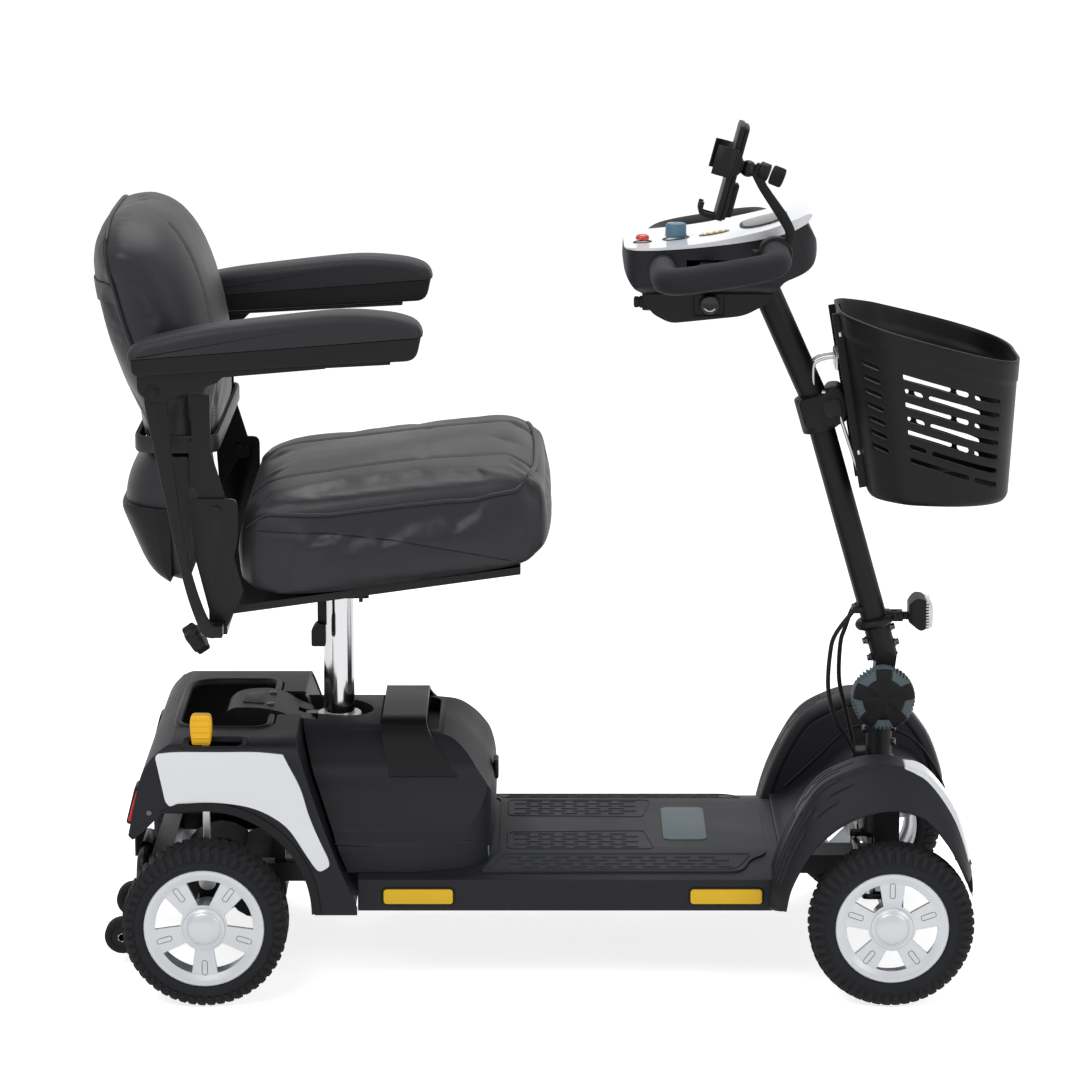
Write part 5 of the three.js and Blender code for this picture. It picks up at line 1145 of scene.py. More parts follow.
def arm_metal(side_name, side, body):
    """The flat upright with its rounded rims, the bracket under the pad, the pivot bolt and the clamp knob."""
    bar = rounded([(-12, 4, 8), (0, 13, 10), (13, 4, 8), (26, -120, 60), (40, -220, 60), (54, -270, 30),
        (66, -300, 14), (82, -318, 8), (70, -322, 8), (56, -318, 14), (36, -262, 40), (16, -160, 60), (-12, -16, 8)],
        6)
    plate_y = (ARM_Y + 3) * side, (ARM_Y + 9) * side
    half = 7.5
    receiver = np.array([POST_X - 144, 0, SEAT_Z - 6])
    inner = 70 * side
    parts = [slab(bar + (ARM_PIVOT[0], ARM_PIVOT[2]), *plate_y, "y", 1.4, 3),
        slab(rounded([(receiver[0] - half, receiver[2] - half, 2), (receiver[0] + half, receiver[2] - half, 2),
        (receiver[0] + half, receiver[2] + half, 2), (receiver[0] - half, receiver[2] + half, 2)], 3), inner,
        plate_y[1] - side * 0.5, "y", 0.8)]
    piece(f"arm_upright_{side_name}_bar", merged(*parts), "gloss_black", f"arm_upright_{side_name}",
        f"arm_upright_{side_name}")
    refined(f"arm_bracket_{side_name}", "gloss_black", 1.0)
    centre = np.array([ARM_PIVOT[0], 0, ARM_PIVOT[2]])
    face = (ARM_Y + 13.5) * side
    bolt = merged(rod(centre + (0, face, 0), centre + (0, face + 1.4 * side, 0), 9.5, 32),
        rod(centre + (0, face + 1.2 * side, 0), centre + (0, face + 5.5 * side, 0), 6.4, 6, 0.6))
    piece(f"arm_bolt_{side_name}", bolt, "satin_black", body)
    knob_axis = np.array([-0.82, 0, -0.57]) / np.linalg.norm([-0.82, 0, -0.57])
    base = np.array([receiver[0], 194 * side, receiver[2]])
    star(f"arm_knob_{side_name}_star", base + knob_axis * 29, base + knob_axis * 47, 21, 6, "satin_black",
        f"arm_knob_{side_name}", f"arm_knob_{side_name}")
    piece(f"arm_knob_{side_name}_stud", rod(base + knob_axis * 12, base + knob_axis * 33, 3.4, 20), "zinc",
        f"arm_knob_{side_name}")


def star(name, start, end, radius, lobes, finish, body, replaces=(), depth=0.16):
    """A hand knob: radius(t) = r (1 - depth (1 - cos(n t)) / 2), carried along its axis with rolled rims."""
    start, end = np.asarray(start, float), np.asarray(end, float)
    axis, first, second = turn_basis(end - start)
    angle = np.arange(lobes * 16) * 2 * np.pi / (lobes * 16)
    reach = radius * (1 - depth * (1 - np.cos(angle * lobes)) / 2)
    length = np.linalg.norm(end - start)
    levels = [(0.80, 0), (0.93, 0.03), (1.0, 0.14), (1.0, 0.86), (0.93, 0.97), (0.80, 1.0)]
    rings = [start + axis * length * along_axis + share * reach[:, None]
        * (np.cos(angle)[:, None] * first + np.sin(angle)[:, None] * second) for share, along_axis in levels]
    return piece(name, skin(np.array(rings)), finish, body, replaces, sharp=45)


# ---- Covers ------------------------------------------------------------------------------------
# The rear cover's top over the deck, its front seam from the deck's rear top edge, and its wall.
SHROUD_TOP = 173.0
SEAM = [(-81, SHROUD_TOP), (-73, 150), (-61, 113), (-43, 62), (-23, 8), (-11, -20), (0, -46)]
WALL = 4.0


def shift(corners, a, b):
    """Outline corners moved by (a, b), with their radii as they were."""
    return [(corner[0] + a, corner[1] + b, *corner[2:]) for corner in corners]


def prism(corners, low, high, across="y", steps=8):
    """A straight bar with an outline for its section; corners are (a, b, radius)."""
    outline = rounded(corners, steps)
    return skin([to_space(outline, min(low, high), across), to_space(outline, max(low, high), across)])


def carved(name, base, steps, finish, body, replaces=(), bevel=0.9, sharp=30, segments=2):
    """A solid with others taken away from it, kept in common with it, or joined to it. steps is a list of
    ("DIFFERENCE" or "INTERSECT" or "UNION", shape)."""
    obj = loose(name, base)
    helpers = []
    for operation, shape in steps:
        helper = loose("helper", shape)
        helpers.append(helper)
        add_modifier(obj, "BOOLEAN", operation=operation, object=helper, solver="EXACT")
    bpy.context.view_layer.update()
    mesh = bpy.data.meshes.new_from_object(obj.evaluated_get(bpy.context.evaluated_depsgraph_get()))
    obj.modifiers.clear()
    old = obj.data
    obj.data = mesh
    bpy.data.meshes.remove(old)
    for helper in helpers:
        data = helper.data
        bpy.data.objects.remove(helper)
        bpy.data.meshes.remove(data)
    if not mesh.polygons:
        raise RuntimeError(name + " came out empty")
    work = bmesh.new()
    work.from_mesh(mesh)
    bmesh.ops.remove_doubles(work, verts=work.verts, dist=1e-5)
    bmesh.ops.dissolve_degenerate(work, edges=work.edges, dist=1e-5)
    work.to_mesh(mesh)
    work.free()
    mesh.materials.clear()
    if bevel:
        soften(obj, bevel, sharp, segments)
    return finished(obj, finish, body, replaces, sharp)


def half_outline(half):
    """The whole section from its half with a > 0, given from the middle round to the far corner."""
    left = [(-corner[0], *corner[1:]) for corner in half if corner[0] != 0][::-1]
    return left + [tuple(corner) for corner in half]


def wheel_arch():
    """A quarter of an ellipse over the rear wheel, from its front edge up to its top."""
    angle = np.linspace(0, np.pi / 2, 25)
    return coords(REAR_AXLE + (WHEEL_RADIUS + 34) * np.cos(angle), AXLE_Z + 6 + 144 * np.sin(angle))


class SCOOTER_OT_rear_cover(bpy.types.Operator):
    """Make the rear cover with its hand hole, white side panels, wheel arch lips and tail lights"""
    bl_idname = "scooter.rear_cover"
    bl_label = "Rear cover"

    def execute(self, context):
        seam = smooth(SEAM, 36) + (DECK_REAR, DECK_TOP)
        rear = shift([(-255, 80), (-264, 70, 4), (-272, 62, 4), (-291, 46, 2), (-297, 52, 2), (-279, 140, 26),
            (-243, SHROUD_TOP, 34)], DECK_REAR, DECK_TOP)
        side = [(x, z) for x, z in seam] + [(DECK_REAR, DECK_TOP - 56)] + [tuple(point)
            for point in wheel_arch()] + rear
        half = [(0, SHROUD_TOP), (180, SHROUD_TOP - 2, 14), (208, SHROUD_TOP - 8, 22), (222, 90, 20), (226, 60, 20),
            (226, -60)]
        outer = half_outline(half) + [(0, -60)]
        inner_half = [(0, SHROUD_TOP - WALL), (178, SHROUD_TOP - WALL - 2, 12), (204, SHROUD_TOP - WALL - 8, 18),
            (218, 90, 20), (222, 60, 20), (222, -160)]
        inner_side = shift([(40, SHROUD_TOP - WALL), (-241, SHROUD_TOP - WALL, 32), (-274, 138, 22), (-293, 52),
            (-293, -160), (40, -160)], DECK_REAR, DECK_TOP)
        section = prism(shift(outer, 0, DECK_TOP), REAR_AXLE - 200, DECK_REAR + 10, "x")
        inner_section = half_outline(inner_half) + [(0, -160)]
        hollow_a = prism(inner_side, -300, 300)
        hollow_b = prism(shift(inner_section, 0, DECK_TOP), REAR_AXLE - 200, DECK_REAR + 60, "x")
        hollow = loose("hollow", hollow_a)
        cut_shape = common(hollow, hollow_b)
        slot = prism([(REAR_AXLE - 22, -200, 9), (REAR_AXLE + 48, -200, 9), (REAR_AXLE + 48, -180, 9),
            (REAR_AXLE - 22, -180, 9)], DECK_TOP + 140, DECK_TOP + 190, "z")
        hole = prism([(REAR_AXLE - 42, -128, 44), (REAR_AXLE + 86, -128, 26), (REAR_AXLE + 86, 128, 26),
            (REAR_AXLE - 42, 128, 44)], DECK_TOP + 150, DECK_TOP + 190, "z")
        paddle_room = prism([(REAR_AXLE + 80, -62), (POST_X, -62), (POST_X, 62), (REAR_AXLE + 80, 62)],
            DECK_TOP + 100, DECK_TOP + 200, "z")
        apron = prism([(REAR_AXLE - 99, -150, 4), (REAR_AXLE - 95, -150, 4), (REAR_AXLE - 95, 150, 4),
            (REAR_AXLE - 99, 150, 4)], DECK_TOP + 2, DECK_TOP + 60, "z", 2)
        carved("rear_cover", prism(side, -300, 300), [("INTERSECT", section), ("DIFFERENCE", cut_shape),
            ("DIFFERENCE", slot), ("DIFFERENCE", hole), ("DIFFERENCE", paddle_room)], "charcoal", "chassis",
            "rear_shroud", 1.4)
        piece("rear_apron", apron, "charcoal", "chassis")
        seam_wall(seam, cut_shape, paddle_room)
        liners = [prism([(REAR_AXLE - 66, DECK_TOP + 64), (DECK_REAR - 92, DECK_TOP + 64),
            (DECK_REAR - 92, DECK_TOP + 150), (DECK_REAR - 96, DECK_TOP + 163), (REAR_AXLE - 30, DECK_TOP + 163),
            (REAR_AXLE - 56, DECK_TOP + 130)], y, y + 3) for y in (-163, 160)]
        piece("arch_liners", merged(*liners), "satin_black", "chassis", sharp=40)
        rear_rims()
        for side_name, sign in SIDES:
            rear_trims(side_name, sign)
        return {"FINISHED"}


def seam_wall(seam, inside, paddle_room):
    """The dark wall that closes the cover's open front, just behind the battery box, with room for the post."""
    band = [(x - 1.6, z) for x, z in seam] + [(x - 5.6, z) for x, z in seam[::-1]]
    post_room = skin([to_space(circle(36, 48, (POST_X, 0)), z, "z") for z in (0, DECK_TOP + 300)])
    carved("seam_wall", prism(band, -221, 221), [("INTERSECT", inside), ("DIFFERENCE", post_room),
        ("DIFFERENCE", paddle_room)], "satin_black", "chassis", (), 0)


def common(obj, shape):
    """What an object and a shape share, as a shape in millimetres; the object is used up."""
    helper = loose("helper", shape)
    add_modifier(obj, "BOOLEAN", operation="INTERSECT", object=helper, solver="EXACT")
    bpy.context.view_layer.update()
    mesh = bpy.data.meshes.new_from_object(obj.evaluated_get(bpy.context.evaluated_depsgraph_get()))
    points = read(mesh.vertices, "co")
    faces = [list(polygon.vertices) for polygon in mesh.polygons]
    for thing in (obj, helper):
        data = thing.data
        bpy.data.objects.remove(thing)
        bpy.data.meshes.remove(data)
    bpy.data.meshes.remove(mesh)
    return (points.astype(float) - ORIGIN) / MM, faces


def rear_rims():
    """The rolled rims of the hand hole and of the lever's slot: a half round bead along each outline."""
    z = DECK_TOP + SHROUD_TOP
    hole = rounded([(REAR_AXLE - 44, -130, 46), (REAR_AXLE + 79, -130, 26), (REAR_AXLE + 79, 130, 26),
        (REAR_AXLE - 44, 130, 46)], 12)
    hole = resample(hole, 150, closed=True)
    inside = np.abs(hole[:, 1]) > 64
    flat = (hole[:, 0] < REAR_AXLE + 70) | inside
    height = z - 1.4 - 2.0 * np.abs(hole[:, 1]) / 180
    path = coords(hole[:, 0], hole[:, 1], height)
    start = int(np.argmax(~flat))
    path = np.roll(path, -start, 0)
    keep = np.roll(flat, -start)
    path = path[keep]
    profile = np.array([(-5, -4), (-4.6, 1), (-2.6, 3.4), (0, 4.0), (2.6, 3.4), (4.6, 1), (5, -4)])
    piece("hand_hole_rim", sweep(path, profile), "satin_black", "chassis", sharp=50)
    slot = rounded([(REAR_AXLE - 28, -204, 13), (REAR_AXLE + 54, -204, 13), (REAR_AXLE + 54, -176, 13),
        (REAR_AXLE - 28, -176, 13)], 8)
    slot = resample(slot, 90, closed=True)
    fall = np.interp(np.abs(slot[:, 1]), [0, 180, 193, 208], [0, 2.6, 5.4, 10.5])
    path = coords(slot[:, 0], slot[:, 1], z - fall + 0.2)
    profile = np.array([(-5.5, -3), (-4.6, 0.4), (-2, 1.7), (1, 1.8), (3.6, 0.2), (4.2, -3)])
    piece("lever_slot_rim", sweep(path, profile, wrap=True), "charcoal", "chassis", sharp=40)


def side_wall_y(z):
    """How far out the rear cover's side stands at a height."""
    return np.interp(z - DECK_TOP, [-60, 60, 90, 150, 165, 171], [226, 226, 222, 211.5, 206, 184])


def rear_trims(side_name, sign):
    """White panel with a band of painted shade in the gap round it, the lip round the wheel arch, the tail light and
    a screw on one side of the rear cover.
    """
    high = smooth([(-496, 328), (-470, 330), (-420, 330), (-370, 330), (-334, 327)], 24)
    tongue = smooth([(-334, 327), (-326, 312), (-311, 283), (-300, 248), (-285, 212), (-276, 192), (-274, 182)], 30)
    back = smooth([(-278, 178), (-289, 175), (-304, 196), (-325, 229), (-346, 246), (-372, 258), (-402, 264),
        (-435, 266), (-462, 264), (-482, 261)], 40)
    rear = np.array([(-487, 268), (-492, 290), (-498, 316), (-500, 324)], float)
    loop = np.concatenate([high, tongue[1:], back, rear])
    loop = resample(loop, 150, closed=True)
    levels = DECK_TOP + np.array([-60, 20, 60, 70, 80, 90, 110, 130, 150, 158, 165, 171, 176])
    walls = side_wall_y(levels)
    strip = [(y + 2.4, z) for y, z in zip(walls, levels)] + [(y - 1.5, z) for y, z in zip(walls[::-1], levels[::-1])]
    strip = prism([(y * sign, z) for y, z in strip], REAR_AXLE - 120, DECK_REAR + 20, "x")
    carved(f"side_panel_{side_name}", prism(loop, 150 * sign, 260 * sign), [("INTERSECT", strip)], "gloss_white",
        "chassis", (), 1.0, 40)
    # painted shade in the gap round the white panel: a thin near-black band along its edge
    gap = []
    for grow, lift in ((-1.6, -1.2), (-1.6, 0.9), (1.0, 0.9), (1.0, -1.2)):
        flat = inset(loop, grow)
        gap.append(coords(flat[:, 0], (side_wall_y(flat[:, 1]) + lift) * sign, flat[:, 1]))
    piece(f"side_panel_gap_shade_{side_name}", skin(np.array(gap), caps=False, wrap_rows=True), "painted_shade",
        "chassis", sharp=60)
    arch = wheel_arch()
    arch = resample(arch[::-1], 60)
    extra = np.array([(-443, 258.2), (-470, 257), (-494, 250)], float)
    outline = np.concatenate([extra[::-1], arch[1:]])
    outline = resample(outline, 80)
    y = side_wall_y(outline[:, 1])
    path = coords(outline[:, 0], (y - 0.4) * sign, outline[:, 1] + 2.2)
    path[:, 0] += np.interp(outline[:, 1], [AXLE_Z, 258], [2.2, 0])
    lip = np.array([(-5.4, -3.6), (5.6, -3.6), (6.2, 0), (4.6, 3.2), (0, 4.2), (-5.4, 3.4)])
    scale = np.clip(np.linspace(0, 12, len(path)), 0.35, 1)
    piece(f"arch_lip_{side_name}", sweep(path, lip, (0, 1, 0), scale), "satin_black", "chassis", sharp=45)
    light = rounded([(-521, 276, 5), (-526, 277, 4), (-538, 235, 4), (-531, 233, 4)], 5)
    tail = slab(light, sign * 168, sign * 205, "y", 3, 4)
    piece(f"tail_light_{side_name}", tail, "tail_red", "chassis", sharp=50)
    frame_light = rounded([(-519, 281, 6), (-528, 282, 5), (-541, 231, 5), (-528, 229, 5)], 5)
    piece(f"tail_light_frame_{side_name}", slab(frame_light, sign * 170, sign * 202, "y", 2.4, 4), "satin_black",
        "chassis", sharp=50)
    spot = np.array([-508, 0, 252.0])
    spot[1] = side_wall_y(252.0) * sign
    piece(f"cover_screw_{side_name}", rod(spot - (0, 1 * sign, 0), spot + (0, 1.1 * sign, 0), 3.6, 24, 0.7),
        "dark_steel", "chassis")


# ---- Battery box -------------------------------------------------------------------------------
class SCOOTER_OT_battery(bpy.types.Operator):
    """Make the battery box, the painted shade line at its base, its handle, connector and latch"""
    bl_idname = "scooter.battery"
    bl_label = "Battery box"

    def execute(self, context):
        top = 163.0
        lean = [(x + 2.4, z) for x, z in smooth(SEAM, 36) if -8 < z < top + 6]
        side = [(-78, top + 8)] + lean + [(-19, -12), (160, -12), (171, 0, 6), (181, 36, 20), (177, 91, 22),
            (135, top - 14, 40), (100, top - 5, 30), (23, top, 12)]
        half = [(0, top + 12), (95, top, 40), (148, 118, 14), (152, 94, 5), (172, 43, 3), (188, 26, 8), (186, -9.7),
            (120, 0.3), (0, 0.3)]
        plan = [(-90, 200), (10, 200), (160, 168, 34), (181, 130, 34), (181, -130, 34), (160, -168, 34), (10, -200),
            (-90, -200)]
        section = prism(shift(mirror_outline(half), 0, DECK_TOP), DECK_REAR - 200, DECK_REAR + 300, "x")
        above = prism(shift(plan, DECK_REAR, 0), 0, DECK_TOP + 300, "z")
        room = skin([to_space(circle(46, 64, (POST_X, 0)), z, "z") for z in (0, DECK_TOP + 300)])
        slot = prism([(POST_X - 90, -46), (POST_X, -46), (POST_X, 46), (POST_X - 90, 46)], 0, DECK_TOP + 300, "z")
        paddle_room = prism([(POST_X - 90, -64), (POST_X - 26, -64), (POST_X - 26, 64), (POST_X - 90, 64)],
            DECK_TOP + 112, DECK_TOP + 300, "z")
        finger = prism(shift([(26, -88, 18), (104, -88, 18), (104, 88, 18), (26, 88, 18)], DECK_REAR, 0),
            DECK_TOP + top - 22, DECK_TOP + 300, "z")
        carved("battery_case", prism(shift(side, DECK_REAR, DECK_TOP), -250, 250),
            [("INTERSECT", section), ("INTERSECT", above), ("DIFFERENCE", room), ("DIFFERENCE", slot),
            ("DIFFERENCE", paddle_room), ("DIFFERENCE", finger)], "grained", "battery_box", "battery_box",
            1.6)
        battery_handle(top + 13)
        battery_details()
        return {"FINISHED"}


def battery_handle(top):
    """The strap over the battery box, from side to side, broad in the middle."""
    half = [(0, top), (92, top, 18), (112, top - 18, 6), (152, 112), (142, 108), (106, top - 22, 6),
        (90, top - 6, 14), (0, top - 6)]
    band = prism(shift(mirror_outline(half), 0, DECK_TOP), DECK_REAR + 10, DECK_REAR + 150, "x")
    mask = shift([(30, top + 2), (87, top + 2), (90, top - 14, 8), (132, 108), (42, 108), (28, top - 14, 8)],
        DECK_REAR, DECK_TOP)
    carved("battery_handle", band, [("INTERSECT", prism(mask, -200, 200))], "satin_black", "battery_box",
        bevel=1.8, segments=3)


def battery_details():
    """The painted shade along the line between case and base, the front latch and the blue and white connector."""
    # painted shade: a thin near-black bar along the step between case and base on each side
    x = np.linspace(DECK_REAR - 30, DECK_REAR + 150, 30)
    for side_name, sign in SIDES:
        wave = DECK_TOP + np.interp(x - DECK_REAR, [-30, 20, 150], [30, 28, 27.0])
        y = np.interp(x - DECK_REAR, [-30, 10, 150], [187.4, 187.4, 170.6])
        path = coords(x, y * sign, wave)
        piece(f"battery_seam_shade_{side_name}", sweep(path, [(-0.9, -0.8), (0.9, -0.8), (0.9, 0.8), (-0.9, 0.8)]),
            "painted_shade", "battery_box")
    front = DECK_REAR + 178
    piece("battery_latch", block((front - 2, -16, DECK_TOP + 70), (front + 5, 16, DECK_TOP + 96), 2.0, 5),
        "satin_black", "battery_box")
    low, high = DECK_TOP + 2, DECK_TOP + 16
    piece("battery_plug", block((DECK_REAR + 158, -150, low), (DECK_REAR + 172, -132, high), 1.2, 2), "blue",
        "battery_box")
    piece("battery_plug_tip", block((DECK_REAR + 159, -131.5, low + 1), (DECK_REAR + 171, -124, high - 1), 1.2, 2),
        "gloss_white", "battery_box")


# ---- Deck --------------------------------------------------------------------------------------
MAT_TOP = 2.8  # above the deck


def crown_height(y):
    """Height of the deck's top over its width: flat in the middle, falling towards the sides."""
    return np.interp(np.abs(y), [0, 110, 130, 185, 199, 204], [0, 0, -0.9, -10.2, -12.8, -15])


def on_mat(line):
    """A level line laid on the mat's top."""
    line = np.asarray(line, float)
    return coords(line[:, 0], line[:, 1], DECK_TOP + MAT_TOP + crown_height(line[:, 1]))


def bead(line, width, height, wrap=False):
    """A low rounded bar lying on the mat."""
    profile = np.array([(-1, -0.6), (-1, 0.25), (-0.6, 0.85), (0, 1), (0.6, 0.85), (1, 0.25), (1, -0.6)]) * (width
        / 2, height)
    return sweep(on_mat(line), profile, wrap=wrap)


class SCOOTER_OT_deck(bpy.types.Operator):
    """Make the deck, its ribbed mat, the blank plate and the four reflectors"""
    bl_idname = "scooter.deck"
    bl_label = "Deck"

    def execute(self, context):
        y = [0, 60, 110, 130, 150, 170, 185, 196, 202, DECK_HALF]
        heights = crown_height(np.array(y)).tolist()
        top = [(a, b) for a, b in zip(y, heights)] + [(DECK_HALF, -20, 5), (DECK_HALF, -57, 3), (DECK_HALF - 5, -57)]
        under = [(a - (4 if a > 195 else 0), b - 5) for a, b in zip(y, heights)][::-1]
        shell = prism(shift(mirror_outline(top + under), 0, DECK_TOP), DECK_REAR, DECK_FRONT, "x", 5)
        corner = [(DECK_FRONT - 26, DECK_HALF + 9), (DECK_FRONT - 12, DECK_HALF - 3),
            (DECK_FRONT + 9, DECK_HALF - 26), (DECK_FRONT + 9, DECK_HALF + 9)]
        cuts = [("DIFFERENCE", prism([(a, b * sign) for a, b in corner], 0, DECK_TOP + 9, "z", 1))
            for sign in (1, -1)]
        carved("deck_shell", shell, cuts, "charcoal", "chassis", "foot_deck", 1.2)
        mat()
        for name, low, high in (("rear", -205, -114), ("front", 197, 291)):
            for side_name, sign in SIDES:
                outline = rounded([(low, 123, 5), (high, 123, 5), (high, 143, 5), (low, 143, 5)], 5)
                piece(f"reflector_{name}_{side_name}", slab(outline, sign * (DECK_HALF - 0.5),
                    sign * (DECK_HALF + 2.6), "y", 1.2, 4), "amber", "chassis", sharp=50)
                rim = resample(outline, 60, closed=True)
                path = to_space(inset(rim, -1.2), sign * (DECK_HALF + 0.4), "y")
                piece(f"reflector_rim_{name}_{side_name}", tube(path, 1.4, 8, (0, 1, 0), True), "satin_black",
                    "chassis", sharp=60)
        return {"FINISHED"}


def mat():
    """The mat: a thin sheet over the crowned deck, with raised outlines and rows of short raised bars."""
    rear, front = DECK_REAR, DECK_FRONT - 18
    right = [(rear + 185, 0), (rear + 185, 128, 14), (rear + 168, 170, 14), (rear + 160, 186, 8),
        (front - 34, 186, 16), (front - 22, 150, 12), (front, 134, 12)]
    left = [(corner[0], -corner[1], *corner[2:]) for corner in right[1:]][::-1]
    plan = prism(right + left, 0, DECK_TOP + 40, "z", 8)
    y = np.linspace(-190, 190, 77)
    over, under = crown_height(y) + MAT_TOP, crown_height(y) + 0.3
    section = np.concatenate([coords(y, over), coords(y, under)[::-1]])
    sheet = skin([to_space(section + (0, DECK_TOP), x, "x") for x in (rear + 140, front + 5)])
    carved("mat_sheet", sheet, [("INTERSECT", plan)], "ribbed_mat", "chassis", "deck_mat", 0.7)
    beads = []
    for sign in (1, -1):
        edge = rounded([(rear + 190, 136 * sign, 8), (rear + 176, 174 * sign, 8), (rear + 168, 181 * sign, 6),
            (front - 42, 181 * sign, 12), (front - 27, 149 * sign, 10), (front - 20, 136 * sign, 8)], 6)
        beads.append(bead(resample(edge, 150, closed=True), 2.0, 1.2, True))
        inner = rounded([(rear + 196, 118 * sign, 8), (rear + 196, 40 * sign, 8), (140, 34 * sign, 8),
            (152, 118 * sign, 10)], 6)
        beads.append(bead(resample(inner, 150, closed=True), 2.0, 1.2, True))
    piece("mat_outlines", merged(*beads), "ribbed_mat", "chassis", sharp=60)
    bars = []
    for row, y in enumerate((146, 155.5, 165, 174)):
        low, high = rear + 192 + row * 2, front - 38 - row * 2.5
        start = low + (row % 2) * 16
        while start + 22 < high:
            for sign in (1, -1):
                line = coords(np.linspace(start, start + 22, 6), y * sign)
                bars.append(bead(line, 3.0, 1.5))
            start += 32
    for row, y in enumerate((50, 62, 74, 86, 98, 110)):
        start = rear + 204 + (row % 2) * 16
        while start + 22 < 136:
            for sign in (1, -1):
                line = coords(np.linspace(start, start + 22, 5), y * sign)
                bars.append(bead(line, 3.0, 1.4))
            start += 32
    piece("mat_bars", merged(*bars), "ribbed_mat", "chassis", sharp=60)
    plate = [(165, -78, 12), (223.5, -78, 12), (223.5, 78, 12), (165, 78, 12)]
    piece("blank_plate", slab(rounded(plate, 8), DECK_TOP + 2.6, DECK_TOP + 4.2, "z", 0.7, 3), "slate", "chassis",
        sharp=50)


# ---- Front cover -------------------------------------------------------------------------------
CROWN = np.array([(-158, 12), (-152, 56), (-133, 112), (-98, 172), (-55, 198), (-20, 206), (20, 202), (48, 190),
    (80, 150), (98, 105), (107, 62)], float)
LIP = np.array([(-141, 20), (-135, 48), (-121, 78), (-98, 112), (-60, 142), (-20, 156), (12, 157), (44, 145),
    (72, 114), (88, 86), (100, 60)], float)
VALLEY = np.array([(-139, 62), (-118, 66), (-70, 102), (-36, 132), (-8, 140), (24, 138), (60, 122), (92, 84),
    (112, 40), (116, 12)], float)


def guard_curve(share, count=150):
    """A curve over the wheel, share of the way from the crown to the lip."""
    return resample(smooth(CROWN + (LIP - CROWN) * share, 90), count)


def drawn_in(curve, distance):
    """An open curve moved towards the inside of its bend, along its normals."""
    slope = np.gradient(curve, axis=0)
    slope /= np.linalg.norm(slope, axis=1, keepdims=True)
    return curve - coords(-slope[:, 1], slope[:, 0]) * distance


CHEEK_Y = 149.6
# Sunk lines of a mudguard: distance from the middle, and the shares over the wheel where each starts and ends.
GROOVES = ((171.0, 0.08, 0.27), (183.0, 0.08, 0.325), (195.0, 0.08, 0.27), (171.0, 0.315, 0.43), (183.0, 0.36, 0.49),
    (195.0, 0.31, 0.45), (218.0, 0.08, 0.3), (228.0, 0.07, 0.34), (237.0, 0.07, 0.28), (218.0, 0.34, 0.44),
    (228.0, 0.38, 0.48), (237.0, 0.32, 0.42))


def guard_rows(sign):
    """Mudguard surface, a row of points at each distance from the middle: rolled inner edge, crown with sunk
    grooves (each a bell across y times a window along t), and the fall to the lip."""
    levels = [(149.5, 0, 16), (149.6, 0, 11), (150.2, 0, 7), (151.6, 0, 4.2), (154.5, 0, 2.2), (159, 0, 0.8)]
    levels += [(y, 0, 0) for y in np.arange(163, 211, 1.5)]
    levels += [(y, float(fall_share(y)), 0) for y in np.arange(211.5, 248, 1.5)]
    levels += [(250, 0.87, 0), (252.4, 0.96, 0), (254, 1.0, 0.4), (254.3, 1.0, 2.4), (253.2, 1.0, 4.2)]
    rows = []
    for y, share, drop in levels:
        curve = drawn_in(guard_curve(share), drop)
        place = np.linspace(0, 1, len(curve))
        sink = np.zeros(len(curve))
        for middle, start, end in GROOVES:
            bell = math.exp(-((y - middle) / 1.9) ** 2)
            sink = np.maximum(sink, bell * ease((place - start) / 0.012) * ease((end - place) / 0.012))
        curve = drawn_in(curve, 2.6 * sink[:, None])
        rows.append(coords(FRONT_AXLE + curve[:, 0], y * sign, AXLE_Z + curve[:, 1]))
    return np.array(rows)


class SCOOTER_OT_front_cover(bpy.types.Operator):
    """Make the front cover: two mudguards, their inner cheeks, the saddle between them and the white trims"""
    bl_idname = "scooter.front_cover"
    bl_label = "Front cover"

    def execute(self, context):
        for side_name, sign in SIDES:
            rows = guard_rows(sign)
            shape = skin(rows, wrap_columns=False)
            if sign < 0:
                shape = flipped(shape)
            guard = piece(f"mudguard_{side_name}", shape, "charcoal", "chassis", "front_shroud", sharp=50,
                closed=False)
            face_towards(guard, (0, 0, 1))
            thicken(guard, 3.2)
            groove_shade_lines(side_name, sign)
            cheek(side_name, sign)
            trim(side_name, sign)
        saddle()
        return {"FINISHED"}


def fall_share(y):
    """How far the mudguard has fallen from crown to lip at a distance from the middle."""
    return np.interp(y, [211, 214, 219, 224, 229, 234, 239, 243, 247],
        [0, 0.02, 0.07, 0.16, 0.27, 0.38, 0.5, 0.62, 0.75])


def groove_shade_lines(side_name, sign):
    """Painted shade along the bottom of each groove: a fine near-black tube laid in it."""
    # painted shade: one thin near-black tube in each groove
    lines = []
    for y, start, end in GROOVES:
        curve = guard_curve(fall_share(y))
        place = np.linspace(0, 1, len(curve))
        curve = drawn_in(curve, 1.5)[(place > start + 0.012) & (place < end - 0.012)]
        path = coords(FRONT_AXLE + curve[:, 0], y * sign, AXLE_Z + curve[:, 1])
        lines.append(tube(path, 1.15, 8, (0, 1, 0)))
    piece(f"mudguard_groove_shade_{side_name}", merged(*lines), "painted_shade", "chassis", sharp=60)


